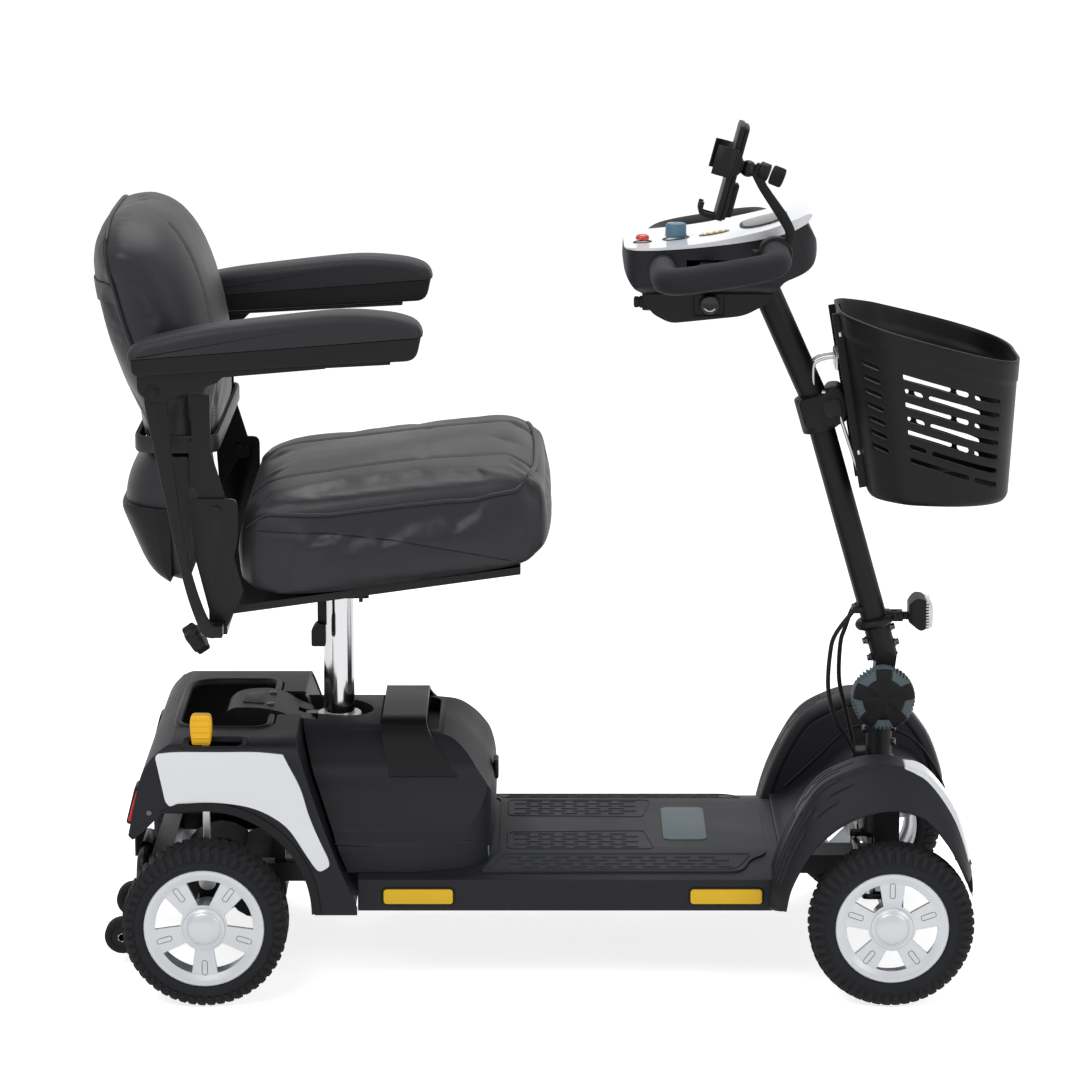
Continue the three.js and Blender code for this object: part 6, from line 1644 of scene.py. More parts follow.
def cheek(side_name, sign):
    """The wall inside a mudguard: straight lines from the saddle's edge up to the crown's rolled edge."""
    top = drawn_in(guard_curve(0, 120), 12)
    low = resample(smooth(VALLEY, 80), 120) - (0, 6)
    share = np.linspace(0, 1, 9)[:, None, None]
    grid = low[None] + (top - low)[None] * share
    rings = coords(FRONT_AXLE + grid[..., 0], CHEEK_Y * sign, AXLE_Z + grid[..., 1])
    wall = piece(f"cheek_{side_name}", skin(rings, wrap_columns=False), "grained", "chassis", closed=False)
    face_towards(wall, (0, -sign, 0))
    thicken(wall, 2.6)
    step = resample(smooth(VALLEY[1:-1], 70), 90) + np.array([0, 22])
    step[:, 1] -= np.interp(np.linspace(0, 1, 90), [0, 0.25, 0.4, 0.75, 1], [12, 0, -2, 0, 10])
    path = to_space(step + (FRONT_AXLE, AXLE_Z), (CHEEK_Y - 1) * sign, "y")
    piece(f"cheek_ledge_{side_name}", sweep(path, circle(2.2, 10), (0, 1, 0)), "charcoal", "chassis",
        sharp=60)


TRIM_START = 0.625  # share of the way over the mudguard


def trim(side_name, sign):
    """The white strip on the front of a mudguard: a patch of its surface from the crown to above the lip,
    narrowing downwards, lifted clear of it."""
    count, across = 60, 20
    place = np.linspace(TRIM_START, 0.955, count)
    crown = resample(smooth(CROWN, 90), 400)
    lip = resample(smooth(LIP, 90), 400)
    y_low = np.interp(place, [TRIM_START, TRIM_START + 0.035, 0.955], [178, 171, 166])
    y_high = np.interp(place, [TRIM_START, TRIM_START + 0.035, 0.77, 0.955], [216, 221, 226, 232])
    steps = np.linspace(0, 1, across)
    rows = []
    for step in steps:
        y = y_low + (y_high - y_low) * step
        share = fall_share(y)
        index = place * 399
        a = np.stack([np.interp(index, np.arange(400), crown[:, k]) for k in (0, 1)], -1)
        b = np.stack([np.interp(index, np.arange(400), lip[:, k]) for k in (0, 1)], -1)
        curve = drawn_in(a + (b - a) * share[:, None], -1.3)
        rows.append(coords(FRONT_AXLE + curve[:, 0], y * sign, AXLE_Z + curve[:, 1]))
    patch = piece(f"front_trim_{side_name}", skin(np.array(rows), wrap_columns=False), "gloss_white", "chassis",
        closed=False)
    face_towards(patch, (0, 0, 1))
    thicken(patch, 2.2)
    soften(patch, 0.7, 50, harden=False)


def saddle():
    """The saddle between the cheeks: the valley curve straight across, open round the steering stem, and a
    rubber grommet over the opening's edge."""
    curve = resample(smooth(VALLEY, 90), 120)
    y = np.linspace(-152, 152, 91)
    grid_x, grid_y = np.meshgrid(curve[:, 0], y, indexing="ij")
    edge = 5 * np.maximum(0, (np.abs(grid_y) - 140) / 12) ** 2
    z = AXLE_Z + curve[:, 1][:, None] + edge
    points = coords(FRONT_AXLE + grid_x, grid_y, np.broadcast_to(z, grid_x.shape))
    faces = quads(len(curve), len(y), wrap_columns=False)
    middle = points.reshape(-1, 3)[faces].mean(1)
    gone = np.hypot(middle[:, 0] - FRONT_AXLE, middle[:, 1]) < 25.5
    cover = piece("front_saddle", (points.reshape(-1, 3), faces[~gone].tolist()), "charcoal", "chassis",
        closed=False)
    face_towards(cover, (0, 0, 1))
    thicken(cover, 3.2)
    z = AXLE_Z + float(np.interp(0, curve[:, 0], curve[:, 1]))
    collar = [(24.2, -7), (24.2, 4), (25.5, 5.4), (28, 5.6), (33, 3.2), (35, -2), (34, -7)]
    piece("stem_grommet", turned_ring(collar, (FRONT_AXLE, 0, z)), "satin_black", "chassis", sharp=50)


def turned_ring(profile, centre, sides=64):
    """A closed ring about an upright axis from a closed (radius, height) profile."""
    profile = np.asarray(profile, float)
    angle = np.arange(sides) * 2 * np.pi / sides
    rings = coords(centre[0] + profile[:, 0, None] * np.cos(angle), centre[1] + profile[:, 0, None] * np.sin(angle),
        centre[2] + profile[:, 1, None])
    return outwards(skin(rings, caps=False, wrap_rows=True))


# ---- Basket ------------------------------------------------------------------------------------
BASKET = np.array([TILT[0] - 66, 0.0, TILT[2] + 521])
BASKET_HALF = 135.0
BASKET_DEEP = 250.0
RIM_PLAN = [(0, 0), (0, 0.30), (3, 0.44), (15, 0.63), (52, 0.885), (85, 0.965), (120, 1), (152, 1), (182, 0.955),
    (206, 0.86), (224, 0.7), (233, 0.5), (236, 0.3), (236, 0)]
SIDE_SLOTS = (((463, 554), (562, 599)), ((464, 489), (497, 599)))
REAR_SLOT = (409, 433)
SLOT_HEIGHT = 7.4
RIM_FALL = 0.26  # slope of the rim, down towards the front
BASKET_LEAN = 42  # how far its foot stands forward of its rear rim


def basket_columns():
    """Half of the rim as (x, share, is a slot's end): a fine even walk along it plus the ends of all slots."""
    line = smooth(RIM_PLAN, 13 * 24)
    x, y = BASKET[0] + line[:, 0], line[:, 1] * BASKET_HALF
    reach = np.concatenate([[0], np.cumsum(np.hypot(np.diff(x), np.diff(y)))])
    at = lambda value: float(np.interp(value, x[10:-10], reach[10:-10]))
    ends = [at(value) for value in REAR_SLOT]
    for pattern in SIDE_SLOTS:
        for pair in pattern:
            ends += [at(value) for value in pair]
    front = (reach[-1] - 44.0, reach[-1] - 6.0)
    ends += list(front)
    radius = SLOT_HEIGHT / 2
    wanted = set()  # where along the rim the columns stand
    for end in ends:
        wanted |= {round(end - radius, 2), round(end, 2), round(end + radius, 2)}
    for place in np.arange(0, reach[-1], 5.0):
        if min(abs(place - other) for other in wanted) > 2.0:
            wanted.add(round(float(place), 2))
    places = np.array(sorted(value for value in wanted if 0 <= value < reach[-1]) + [reach[-1]])
    share = coords(np.interp(places, reach, line[:, 0]), np.interp(places, reach, line[:, 1]))
    spans = {"rear": [tuple(at(value) for value in REAR_SLOT)],
        "front": [front],
        "side": [[tuple(at(value) for value in pair) for pair in pattern] for pattern in SIDE_SLOTS]}
    return places, share, spans


def basket_point(share, level, inward=0.0):
    """A point of the basket's wall: the rim's plan drawn in towards the floor, at a share of the height."""
    rear = BASKET[0] + BASKET_LEAN * (1 - level)
    reach = 0.78 + 0.22 * level - inward / 120
    x = rear + inward + share[:, 0] * reach
    y = (BASKET_HALF * (0.84 + 0.16 * level) - inward) * share[:, 1]
    rim = BASKET[2] - share[:, 0] * RIM_FALL
    floor = BASKET[2] - BASKET_DEEP
    return coords(x, y, floor + (rim - floor) * level)


def basket_wall():
    """Wall as a grid: columns follow the rim, rows hang at fixed depths below it. A slot's cells are left out
    and its corner points drawn in, which rounds its ends."""
    places, share, spans = basket_columns()
    pitch, first = 18.6, 52.0
    depths = [0, 6, 14, 22, 28, 31, 33, 40]
    slots = []
    for row in range(7):
        high = first + row * pitch
        depths += [high - 4, high, high + SLOT_HEIGHT / 2, high + SLOT_HEIGHT, high + SLOT_HEIGHT + 4]
        slots.append(high)
    deepest = max(depths) + 3
    rim_drop = share[:, 0] * RIM_FALL
    height = BASKET_DEEP - rim_drop
    rows, kinds = [], []
    for depth in depths:
        level = 1 - depth / height
        band = -1.5 * float(np.interp(depth, [0, 28, 31, 400], [1, 1, 0, 0]))
        rows.append(basket_point(share, level, band))
        kinds.append(depth)
    last = 1 - deepest / height
    for part in (0.25, 0.5, 0.75, 0.92):
        rows.append(basket_point(share, last + (0.05 - last) * part))
        kinds.append(None)
    for level, inward in ((0.05, 0), (0.028, 1.2), (0.010, 4), (0.002, 9), (0, 16)):
        rows.append(basket_point(share, np.full(len(share), level), inward))
        kinds.append(None)
    grid = np.array(rows)
    gone = np.zeros((len(rows) - 1, len(places) - 1), bool)
    for number, high in enumerate(slots):
        row = kinds.index(high)
        pattern = spans["side"][number % 2]
        for start, end in (*pattern, *spans["rear"], *spans["front"]):
            a, b = (int(np.argmin(np.abs(places - value))) for value in (start, end))
            gone[row:row + 2, a:b] = True
            for column, inner in ((a, a + 1), (b, b - 1)):
                for edge, middle in ((row, row + 1), (row + 2, row + 1)):
                    corner, beside, under = grid[edge, column], grid[edge, inner], grid[middle, column]
                    grid[edge, column] = corner + (beside - corner) * 0.3 + (under - corner) * 0.3
    left = grid
    right = grid[:, ::-1][:, 1:-1] * (1, -1, 1)
    whole = np.concatenate([left, right], 1)
    gone = np.concatenate([gone, gone[:, ::-1]], 1)
    count = whole.shape[1]
    faces = quads(len(rows), count)[~gone.ravel()].tolist()
    points = whole.reshape(-1, 3)
    centre = np.append(whole[-1, :, :2].mean(0), whole[-1, :, 2].mean())
    rings = [whole[-1] + (centre - whole[-1]) * step for step in (0.25, 0.5, 0.75)]
    extra = np.concatenate(rings)
    start = len(points) - count
    floor = (quads(4, count) + start).tolist()
    faces += floor
    points = np.concatenate([points, extra])
    faces.append(list(range(len(points) - count, len(points))))
    return points, faces


class SCOOTER_OT_basket(bpy.types.Operator):
    """Make the slotted basket, its hooks, and the clamp and wire stays that carry it"""
    bl_idname = "scooter.basket"
    bl_label = "Basket"

    def execute(self, context):
        shape = basket_wall()
        basket = piece("basket_wall", shape, "satin_black", "basket", "basket", closed=False, sharp=35)
        away_from(basket, BASKET + (118, 0, -110))
        thicken(basket, 3.4)
        soften(basket, 0.5, 60, 1, False)
        wall = BASKET[0] + BASKET_LEAN * 0.24
        lug = BASKET[2] - 66
        hook = merged(block((wall - 13, -28, lug + 1), (wall + 3, 28, lug + 8), 1.2),
            block((wall - 13, -28, lug - 16), (wall - 9.2, 28, lug + 8), 1.2))
        piece("basket_hook", hook, "zinc", "basket")
        strips, screws = [], []
        for y in (-38, 38):
            top, low = np.array([BASKET[0] - 1.5, y, BASKET[2] - 4]), np.array([BASKET[0] + 38, y, BASKET[2] - 236])
            path = np.linspace(top, low, 10)
            strips.append(sweep(path, [(-8, -2.4), (8, -2.4), (8, 1.4), (6, 2.4), (-6, 2.4), (-8, 1.4)], (0, 1, 0)))
            for share in (0.12, 0.8):
                place = top + (low - top) * share
                screws.append(rod(place - (3.5, 0, 0.6), place + (1, 0, 0), 4.4, 20, 1.2))
        piece("basket_straps", merged(*strips), "satin_black", "basket")
        piece("basket_screws", merged(*screws), "zinc", "basket", sharp=40)
        basket_clamp(wall, lug)
        return {"FINISHED"}


def away_from(obj, centre):
    """Turns an open shell's faces away from a point inside it."""
    arm = (read(obj.data.polygons, "center") - ORIGIN) / MM - centre
    if (read(obj.data.polygons, "normal") * arm).sum() < 0:
        obj.data.flip_normals()


def on_tiller(distance, forward=0.0, y=0.0):
    """A place along the tiller's lower tube, a distance square to it, and off to one side."""
    return TILLER_FOOT + TILLER_AXIS * distance + np.array([TILLER_AXIS[2], 0, -TILLER_AXIS[0]]) * forward + (0, y, 0)


def basket_clamp(wall, lug):
    """Two-part clamp round the tiller with a square block in front, and the wires that hook and stay the
    basket."""
    axis, normal = TILLER_AXIS, np.array([TILLER_AXIS[2], 0, -TILLER_AXIS[0]])
    outline = rounded([(-22, 328, 10), (-22, 372, 10), (16, 372, 4), (24, 378, 4), (38, 376, 8), (43, 366, 5),
        (43, 340, 8), (34, 326, 8), (10, 324, 4)], 5)
    ring = TILLER_FOOT[[0, 2]] + outline[:, :1] * normal[[0, 2]] + outline[:, 1:] * axis[[0, 2]]
    block_shape = slab(ring, -25, 25, "y", 6, 5)
    piece("basket_clamp_block", block_shape, "satin_black", "tiller", "basket_bracket", sharp=40)
    band = rod(on_tiller(322), on_tiller(371), 25.6, 48, 2.5)
    piece("basket_clamp_band", band, "satin_black", "tiller")
    for side_name, sign in SIDES:
        face = rounded([(8, 338, 7), (8, 362, 7), (33, 362, 7), (33, 338, 7)], 5)
        ring = TILLER_FOOT[[0, 2]] + face[:, :1] * normal[[0, 2]] + face[:, 1:] * axis[[0, 2]]
        piece(f"basket_clamp_pad_{side_name}", slab(ring, sign * 24.6, sign * 26.4, "y", 1.0, 3), "gloss_black",
            "tiller")
        y = 20.0 * sign
        stay = smooth([(BASKET[0] + 29, y * 1.4, lug - 150), (wall - 8, y * 1.1, lug - 70), (wall - 12, y, lug - 52),
            (wall - 30, y, lug - 46)], 30)
        piece(f"basket_stay_{side_name}", tube(stay, 2.4, 12, (0, 1, 0)), "zinc", "tiller")
    hook = smooth([(wall - 40, 0, lug - 52), (wall - 41, 0, lug - 16), (wall - 36, 0, lug - 6),
        (wall - 20, 0, lug - 1), (wall - 6.6, 0, lug - 0.4)], 40)
    wires = [tube(hook + (0, y, 0), 2.2, 12, (0, 1, 0)) for y in (-15, 15)]
    piece("basket_hanger", merged(*wires), "zinc", "tiller")


# ---- Console -----------------------------------------------------------------------------------
CONSOLE_SEAM = smooth([(-127, 24), (-55, 28), (18, 36), (81, 47), (110, 58)], 24)
CONSOLE_LID = smooth([(-127, 26.4), (-111, 29), (-78, 31), (-32, 36), (8, 43), (60, 55), (94, 66), (112, 71),
    (118, 68)], 48)
CONSOLE_PLAN = [(-129, -60, 50), (-110, -92, 40), (60, -98, 60), (126, -66, 50), (126, 66, 50), (60, 98, 60),
    (-110, 92, 40), (-129, 60, 50)]
HORN = (CONSOLE[0] - 103, -30.0)
SPEED = (CONSOLE[0] - 59, -20.0)


def lid_height(x):
    """Height of the console's lid along the scooter."""
    return CONSOLE[2] + np.interp(np.asarray(x) - CONSOLE[0], CONSOLE_LID[:-6, 0], CONSOLE_LID[:-6, 1])


class SCOOTER_OT_console(bpy.types.Operator):
    """Make the console: lid, shell, lower module, gauge, lamps, switches, key and charging cover"""
    bl_idname = "scooter.console"
    bl_label = "Console"

    def execute(self, context):
        x0, z0 = CONSOLE[0], CONSOLE[2]
        seam = [tuple(point) for point in CONSOLE_SEAM[::-1] + (x0, z0)]
        side = seam + shift([(-129, 0, 16), (-120, -20, 18), (-104, -34, 4), (-92, -62, 10), (-66, -76, 10),
            (30, -66, 12), (60, -50, 10), (78, -16, 8), (118, -2, 26), (126, 16, 20), (124, 36, 8)], x0, z0)
        half = [(46, -80, 10), (50, -36, 4), (86, -26, 22), (98, -4, 20), (98, 80)]
        section = shift(half_outline(half), 0, z0)
        plan = prism(shift(CONSOLE_PLAN, x0, 0), z0 - 100, z0 + 100, "z", 12)
        room = prism([(x0 - 47, -130), (x0 + 7, -130), (x0 + 7, 130), (x0 - 47, 130)], z0 + 3, z0 + 15, "z")
        low_half = prism([(x0 - 150, z0 - 120), (x0 + 150, z0 - 120), (x0 + 150, z0 - 27), (x0 - 150, z0 - 35)], -150,
            150)
        high_half = prism([(x0 - 150, z0 - 34.2), (x0 + 150, z0 - 26.2), (x0 + 150, z0 + 120), (x0 - 150, z0 + 120)],
            -150, 150)
        body = prism(side, -150, 150)
        shaped = [("INTERSECT", prism(section, x0 - 200, x0 + 200, "x")), ("INTERSECT", plan)]
        carved("console_shell", body, [*shaped, ("INTERSECT", high_half), ("DIFFERENCE", room)], "grained", "tiller",
            "console_body", 1.8, segments=3)
        carved("console_module", body, [*shaped, ("INTERSECT", low_half)], "satin_black", "tiller", (), 1.6,
            segments=3)
        lid_side = [tuple(point) for point in CONSOLE_SEAM + (x0, z0 + 0.8)] + [tuple(point)
            for point in CONSOLE_LID[::-1] + (x0, z0)]
        plan_low = prism(shift([(a * 0.995, b * 0.995, r) for a, b, r in CONSOLE_PLAN], x0, 0), z0 - 100, z0 + 100,
            "z", 12)
        carved("console_lid", prism(lid_side, -150, 150), [("INTERSECT", plan_low)], "gloss_white", "tiller",
            "console_top", 2.6, segments=4)
        console_details(x0, z0)
        return {"FINISHED"}


def on_lid(outline, low, high):
    """A badge that follows the lid: its outline at two lifts over the surface."""
    middle = outline.mean(0)
    small = middle + (outline - middle) * 0.93
    rings = [coords(ring[:, 0], ring[:, 1], lid_height(ring[:, 0]) + lift) for ring,
        lift in ((outline, low), (outline, high - 0.3), (small, high))]
    return skin(np.array(rings))


def oval(centre, half_long, half_wide, count=64):
    """A level oval with full corners: a superellipse of power 2 / 0.8."""
    angle = np.arange(count) * 2 * np.pi / count
    power = 0.8
    return coords(centre[0] + half_long * np.sign(np.cos(angle)) * np.abs(np.cos(angle)) ** power,
        centre[1] + half_wide * np.sign(np.sin(angle)) * np.abs(np.sin(angle)) ** power)


def console_details(x0, z0):
    """Lamps, gauge, horn and speed knob on the lid, the key behind and the charging socket on the right."""
    lamp = (x0 - 9, -22.0)
    piece("lamp_badge", on_lid(oval(lamp, 20, 11), -2, 1.0), "dark_glass", "tiller")
    beads = []
    for x in (-12, -4, 4, 12):
        place = np.array([lamp[0] + x, lamp[1], float(lid_height(lamp[0] + x)) + 0.6])
        beads.append(lathe([(3.0, 0), (2.9, 1.2), (2.2, 2.5), (1.0, 3.2), (0.05, 3.4)], place, (0, 0, 1), 20))
    piece("lamps", merged(*beads), "brass", "tiller", sharp=60)
    gauge = (x0 + 56, -6.0)
    piece("gauge_rim", on_lid(oval(gauge, 31, 42, 96), -2, 1.6), "satin_black", "tiller")
    piece("gauge_glass", on_lid(oval(gauge, 27, 38, 96), 0, 2.3), "dark_glass", "tiller")
    marks = []
    for step in np.linspace(-0.9, 0.9, 9):
        inner, outer = 21.0, 25.5
        line = coords(gauge[0] - 2 + np.array([inner, outer]) * math.cos(step) * 0.8,
            gauge[1] + np.array([inner, outer]) * math.sin(step) * 1.25)
        path = coords(line[:, 0], line[:, 1], lid_height(line[:, 0]) + 2.3)
        marks.append(sweep(path, [(-0.5, -0.3), (0.5, -0.3), (0.5, 0.3), (-0.5, 0.3)]))
    piece("gauge_marks", merged(*marks), "gloss_white", "tiller")
    for name, place, radius, hole in (("horn", HORN, 12.5, 9.6), ("speed", SPEED, 18.0, 14.6)):
        rings = [circle(reach, 48, place) for reach in (hole, radius, radius, radius - 0.8, hole + 0.4)]
        lifts = (-2.0, -2.0, 0.4, 0.9, 0.9)
        rings = [coords(ring[:, 0], ring[:, 1], lid_height(ring[:, 0]) + lift) for ring, lift in zip(rings, lifts)]
        piece(f"{name}_seat", skin(np.array(rings), caps=False, wrap_rows=True), "satin_black", "tiller")
    top = box_mm("horn_button")[1][2]
    piece("horn_dome", lathe([(8.6, -7), (9.0, -6), (9.0, -3.8), (7.6, -1.6), (5.0, -0.4), (0.05, 0)], (*HORN, top),
        (0, 0, 1), 40), "red", "horn_button", "horn_button", sharp=60)
    top_of_knob = box_mm("speed_knob")[1][2]
    angle = np.arange(120) * 2 * np.pi / 120
    flutes = 1 - 0.045 * (1 - np.cos(angle * 12)) / 2
    rings = []
    for radius, level in ((13.2, top_of_knob - 18), (14.0, top_of_knob - 17), (13.6, top_of_knob - 2.4),
            (12.8, top_of_knob - 0.8), (11.6, top_of_knob), (4, top_of_knob - 0.3)):
        reach = radius * (flutes if radius > 12 else 1)
        rings.append(coords(SPEED[0] + reach * np.cos(angle), SPEED[1] + reach * np.sin(angle), level))
    piece("speed_dial", skin(np.array(rings)), "blue", "speed_knob", "speed_knob", sharp=45)
    pointer = np.array([(SPEED[0] - 10.5, SPEED[1], top_of_knob + 0.1), (SPEED[0] - 4, SPEED[1], top_of_knob + 0.1)])
    piece("speed_pointer", sweep(pointer, [(-0.8, -0.3), (0.8, -0.3), (0.8, 0.35), (-0.8, 0.35)]), "gloss_white",
        "speed_knob")
    y = -28.0
    key = np.array([x0 - 107, y, z0 - 50])
    barrel = rod(key + (4, 0, 0), key + (24, 0, 0), 11.5, 40, 2)
    piece("key_barrel", barrel, "satin_black", "tiller")
    bow = slab(rounded([(key[0] - 7, key[2] - 8.5, 5), (key[0] + 3, key[2] - 6, 3), (key[0] + 3, key[2] + 6, 3),
        (key[0] - 7, key[2] + 8.5, 5)], 5), y - 2.4, y + 2.4, "y", 1.4, 3)
    head = rod(key + (0.6, 0, 0), key + (6, 0, 0), 8, 32, 1.2)
    piece("key_head", merged(bow, head), "satin_black", "ignition_key", "ignition_key")
    cap = np.array([x0 - 15, -50.6, z0 - 50])
    frame_line = rounded([(cap[0] - 21, cap[2] - 16, 3), (cap[0] + 19, cap[2] - 16, 3), (cap[0] + 19, cap[2] + 16, 3),
        (cap[0] - 21, cap[2] + 16, 3)], 4)
    path = to_space(resample(frame_line, 80, closed=True), -49.5, "y")
    piece("socket_frame", tube(path, 0.8, 8, (0, 1, 0), True), "satin_black", "tiller", sharp=60)
    disc = lathe([(12.6, 0.2), (13, -1.0), (13, -3.0), (12.2, -4.2), (10.4, -4.6), (9.6, -4.0), (0.05, -4.0)], cap,
        (0, 1, 0), 56)
    piece("socket_cap", disc, "dark_glass", "charge_cover", "charge_cover", sharp=40)
    angle = np.linspace(-2.5, -0.64, 20)
    curve = coords(cap[0] + 8.4 * np.cos(angle), cap[1] - 4.3, cap[2] + 8.4 * np.sin(angle))
    piece("socket_cap_lip", tube(curve, 0.9, 8, (0, 1, 0)), "gloss_white", "charge_cover")


LOOP_LIFT, LOOP_RISE = 16, 0.16  # the hand loops' height over the console's origin, and their slope


def loop_path(sign):
    """One hand loop: out from the middle, round two corners and back, rising forwards."""
    rear, front, corner, far = -78.0, 66.0, 50.0, 230.0
    t = np.linspace(0, 1, 25)[:, None]
    def turn(a, b, c):
        return (1 - t) ** 2 * np.array(a) + 2 * t * (1 - t) * np.array(b) + t ** 2 * np.array(c)
    flat = np.concatenate([np.linspace((rear, 60), (rear, far - corner), 12)[:-1],
        turn((rear, far - corner), (rear, far), (rear + corner, far)),
        np.linspace((rear + corner, far), (front - corner, far), 8)[1:-1],
        turn((front - corner, far), (front, far), (front, far - corner)),
        np.linspace((front, far - corner), (front, 60), 12)[1:]])
    return coords(CONSOLE[0] + flat[:, 0], flat[:, 1] * sign, CONSOLE[2] + LOOP_LIFT + flat[:, 0] * LOOP_RISE)


class SCOOTER_OT_controls(bpy.types.Operator):
    """Make the hand loops with their foam sleeves and end rings, and the thumb lever"""
    bl_idname = "scooter.controls"
    bl_label = "Hand loops"

    def execute(self, context):
        loops, rings = [], []
        for sign in (1, -1):
            path = loop_path(sign)
            loops.append(tube(path, 17.5, 40))
            for index in (4, -5):
                step = (path[index + 1] - path[index]) * sign
                step = step / np.linalg.norm(step)
                rings.append(rod(path[index] - step * 1.8, path[index] + step * 1.8, 18.6, 48, 1.2))
        piece("hand_loops", merged(*loops), "foam", "tiller", "handlebar", sharp=60)
        piece("sleeve_rings", merged(*rings), "satin_black", "tiller")
        refined("throttle_lever", "satin_black", 1.6)
        return {"FINISHED"}


# ---- Phone holder ------------------------------------------------------------------------------
HOLDER_Y = -116.0
HOLDER_FOOT = np.array([CONSOLE[0] + 66, HOLDER_Y, CONSOLE[2] + LOOP_LIFT + 66 * LOOP_RISE])
BALL = HOLDER_FOOT + (-24, 0, 110)
CRADLE = np.array([BALL[0] - 12, HOLDER_Y, BALL[2]])


def leaned(shape):
    """A shape of the phone cradle leaned back about its ball."""
    points, faces = shape
    return turned(points, CRADLE * (1, 0, 1), (0, 1, 0), 15), faces


class SCOOTER_OT_phone_holder(bpy.types.Operator):
    """Make the phone holder: clamp, bent arm, ball joint, fluted knob, back plate, feet and jaws"""
    bl_idname = "scooter.phone_holder"
    bl_label = "Phone holder"

    def execute(self, context):
        black = "satin_black"
        foot = HOLDER_FOOT[[0, 2]]
        outline = rounded([(14, 8, 4), (22, 12, 5), (26, 30, 8), (16, 50, 8), (-15, 93, 8), (-15, 112, 6),
            (-23, 119, 5), (-33, 105, 6), (-23, 85, 8), (3, 45, 10), (13, 28, 6)], 5) + foot
        strap = slab(outline, HOLDER_Y - 7, HOLDER_Y + 7, "y", 1.4, 3)
        clamp = rod(HOLDER_FOOT - (0, 9, 0), HOLDER_FOOT + (0, 9, 0), 22.3, 56, 1.6)
        ear = block(HOLDER_FOOT + (-30, -7, -5), HOLDER_FOOT + (-14, 7, 5), 1.6, 3)
        bolt = rod(HOLDER_FOOT + (-25, -10, 0), HOLDER_FOOT + (-25, 10, 0), 3.6, 24)
        boss = rod(BALL + (2, 0, -1), BALL + (15, 0, -6), 11.4, 40, 1.4)
        piece("holder_arm", merged(strap, clamp, ear, bolt, boss), black, "tiller", "phone_arm", sharp=40)
        along_knob = np.array([0.93, 0, -0.37]) / np.linalg.norm([0.93, 0, -0.37])
        star("holder_knob", BALL + along_knob * 19, BALL + along_knob * 36, 12.8, 22, black, "phone_knob",
            "phone_knob", 0.09)
        ball_turn = np.linspace(0.05, np.pi - 0.05, 24)
        ball = lathe(coords(10.9 * np.sin(ball_turn), -10.9 * np.cos(ball_turn)), CRADLE, (1, 0, 0), 40)
        piece("holder_ball", ball, "gloss_black", "phone_cradle", "phone_cradle", sharp=60)
        cradle_parts(black)
        return {"FINISHED"}


def cradle_parts(black):
    """The leaning plate with its rounded top, the raised spine behind it, the two feet, and the jaws."""
    x, y, z = CRADLE
    plate = rounded([(y - 30, z - 72, 8), (y + 30, z - 72, 8), (y + 30, z + 40, 6), (y + 30, z + 57, 26),
        (y - 30, z + 57, 26), (y - 30, z + 40, 6)], 8)
    front = slab(plate, x - 26, x - 19, "x", 1.6, 3)
    rear = slab(inset(plate, 2.0), x - 19.4, x - 13, "x", 2.4, 3)
    spine = slab(rounded([(y - 17, z - 66, 5), (y + 17, z - 66, 5), (y + 17, z - 22, 8), (y - 17, z - 22, 8)], 5),
        x - 13.5, x - 5.5, "x", 2.0, 3)
    neck = lathe([(13, 0), (12.4, 2.4), (8.6, 5), (7.4, 9), (7.4, 10)], (x - 13.5, y, z), (1, 0, 0), 40)
    feet = []
    for offset in (-13, 13):
        hook = smooth([(x - 16, y + offset, z - 70), (x - 34, y + offset, z - 70), (x - 43, y + offset, z - 69),
            (x - 46, y + offset, z - 64), (x - 46.3, y + offset, z - 55)], 24)
        feet.append(sweep(hook, [(-3, -2), (3, -2), (3, 2), (-3, 2)], (0, 1, 0)))
    fixed = smooth([(x - 22, y + 28, z), (x - 23, y + 36, z), (x - 28, y + 39.4, z), (x - 38, y + 39.6, z),
        (x - 47, y + 37, z)], 30)
    piece("holder_plate", leaned(merged(front, rear, spine, neck, *feet)), black, "phone_cradle", sharp=40)
    jaw_points, jaw_faces = upright_strip(fixed, 38)
    piece("holder_jaw_fixed", leaned((jaw_points + (0, 0, 5), jaw_faces)), black, "phone_cradle", sharp=40)
    moving = smooth([(x - 20, y - 30, z), (x - 22, y - 37, z), (x - 28, y - 40.4, z), (x - 38, y - 40.6, z),
        (x - 47, y - 38, z)], 30)
    jaw_points, jaw_faces = upright_strip(moving, 38)
    slider = block((x - 21.4, y - 38, z - 11), (x - 17.6, y - 6, z + 21), 1.0)
    piece("holder_jaw_moving", leaned(merged((jaw_points + (0, 0, 5), jaw_faces), slider)), black, "phone_jaw",
        "phone_jaw", sharp=40)


def upright_strip(path, height):
    """A curved strip that stands upright along a level path, 3 mm thick with rolled edges."""
    half = height / 2
    outline = [(-1.5, -half + 1), (-0.8, -half), (0.8, -half), (1.5, -half + 1), (1.5, half - 1), (0.8, half),
        (-0.8, half), (-1.5, half - 1)]
    return sweep(path, outline, (0, 0, 1))


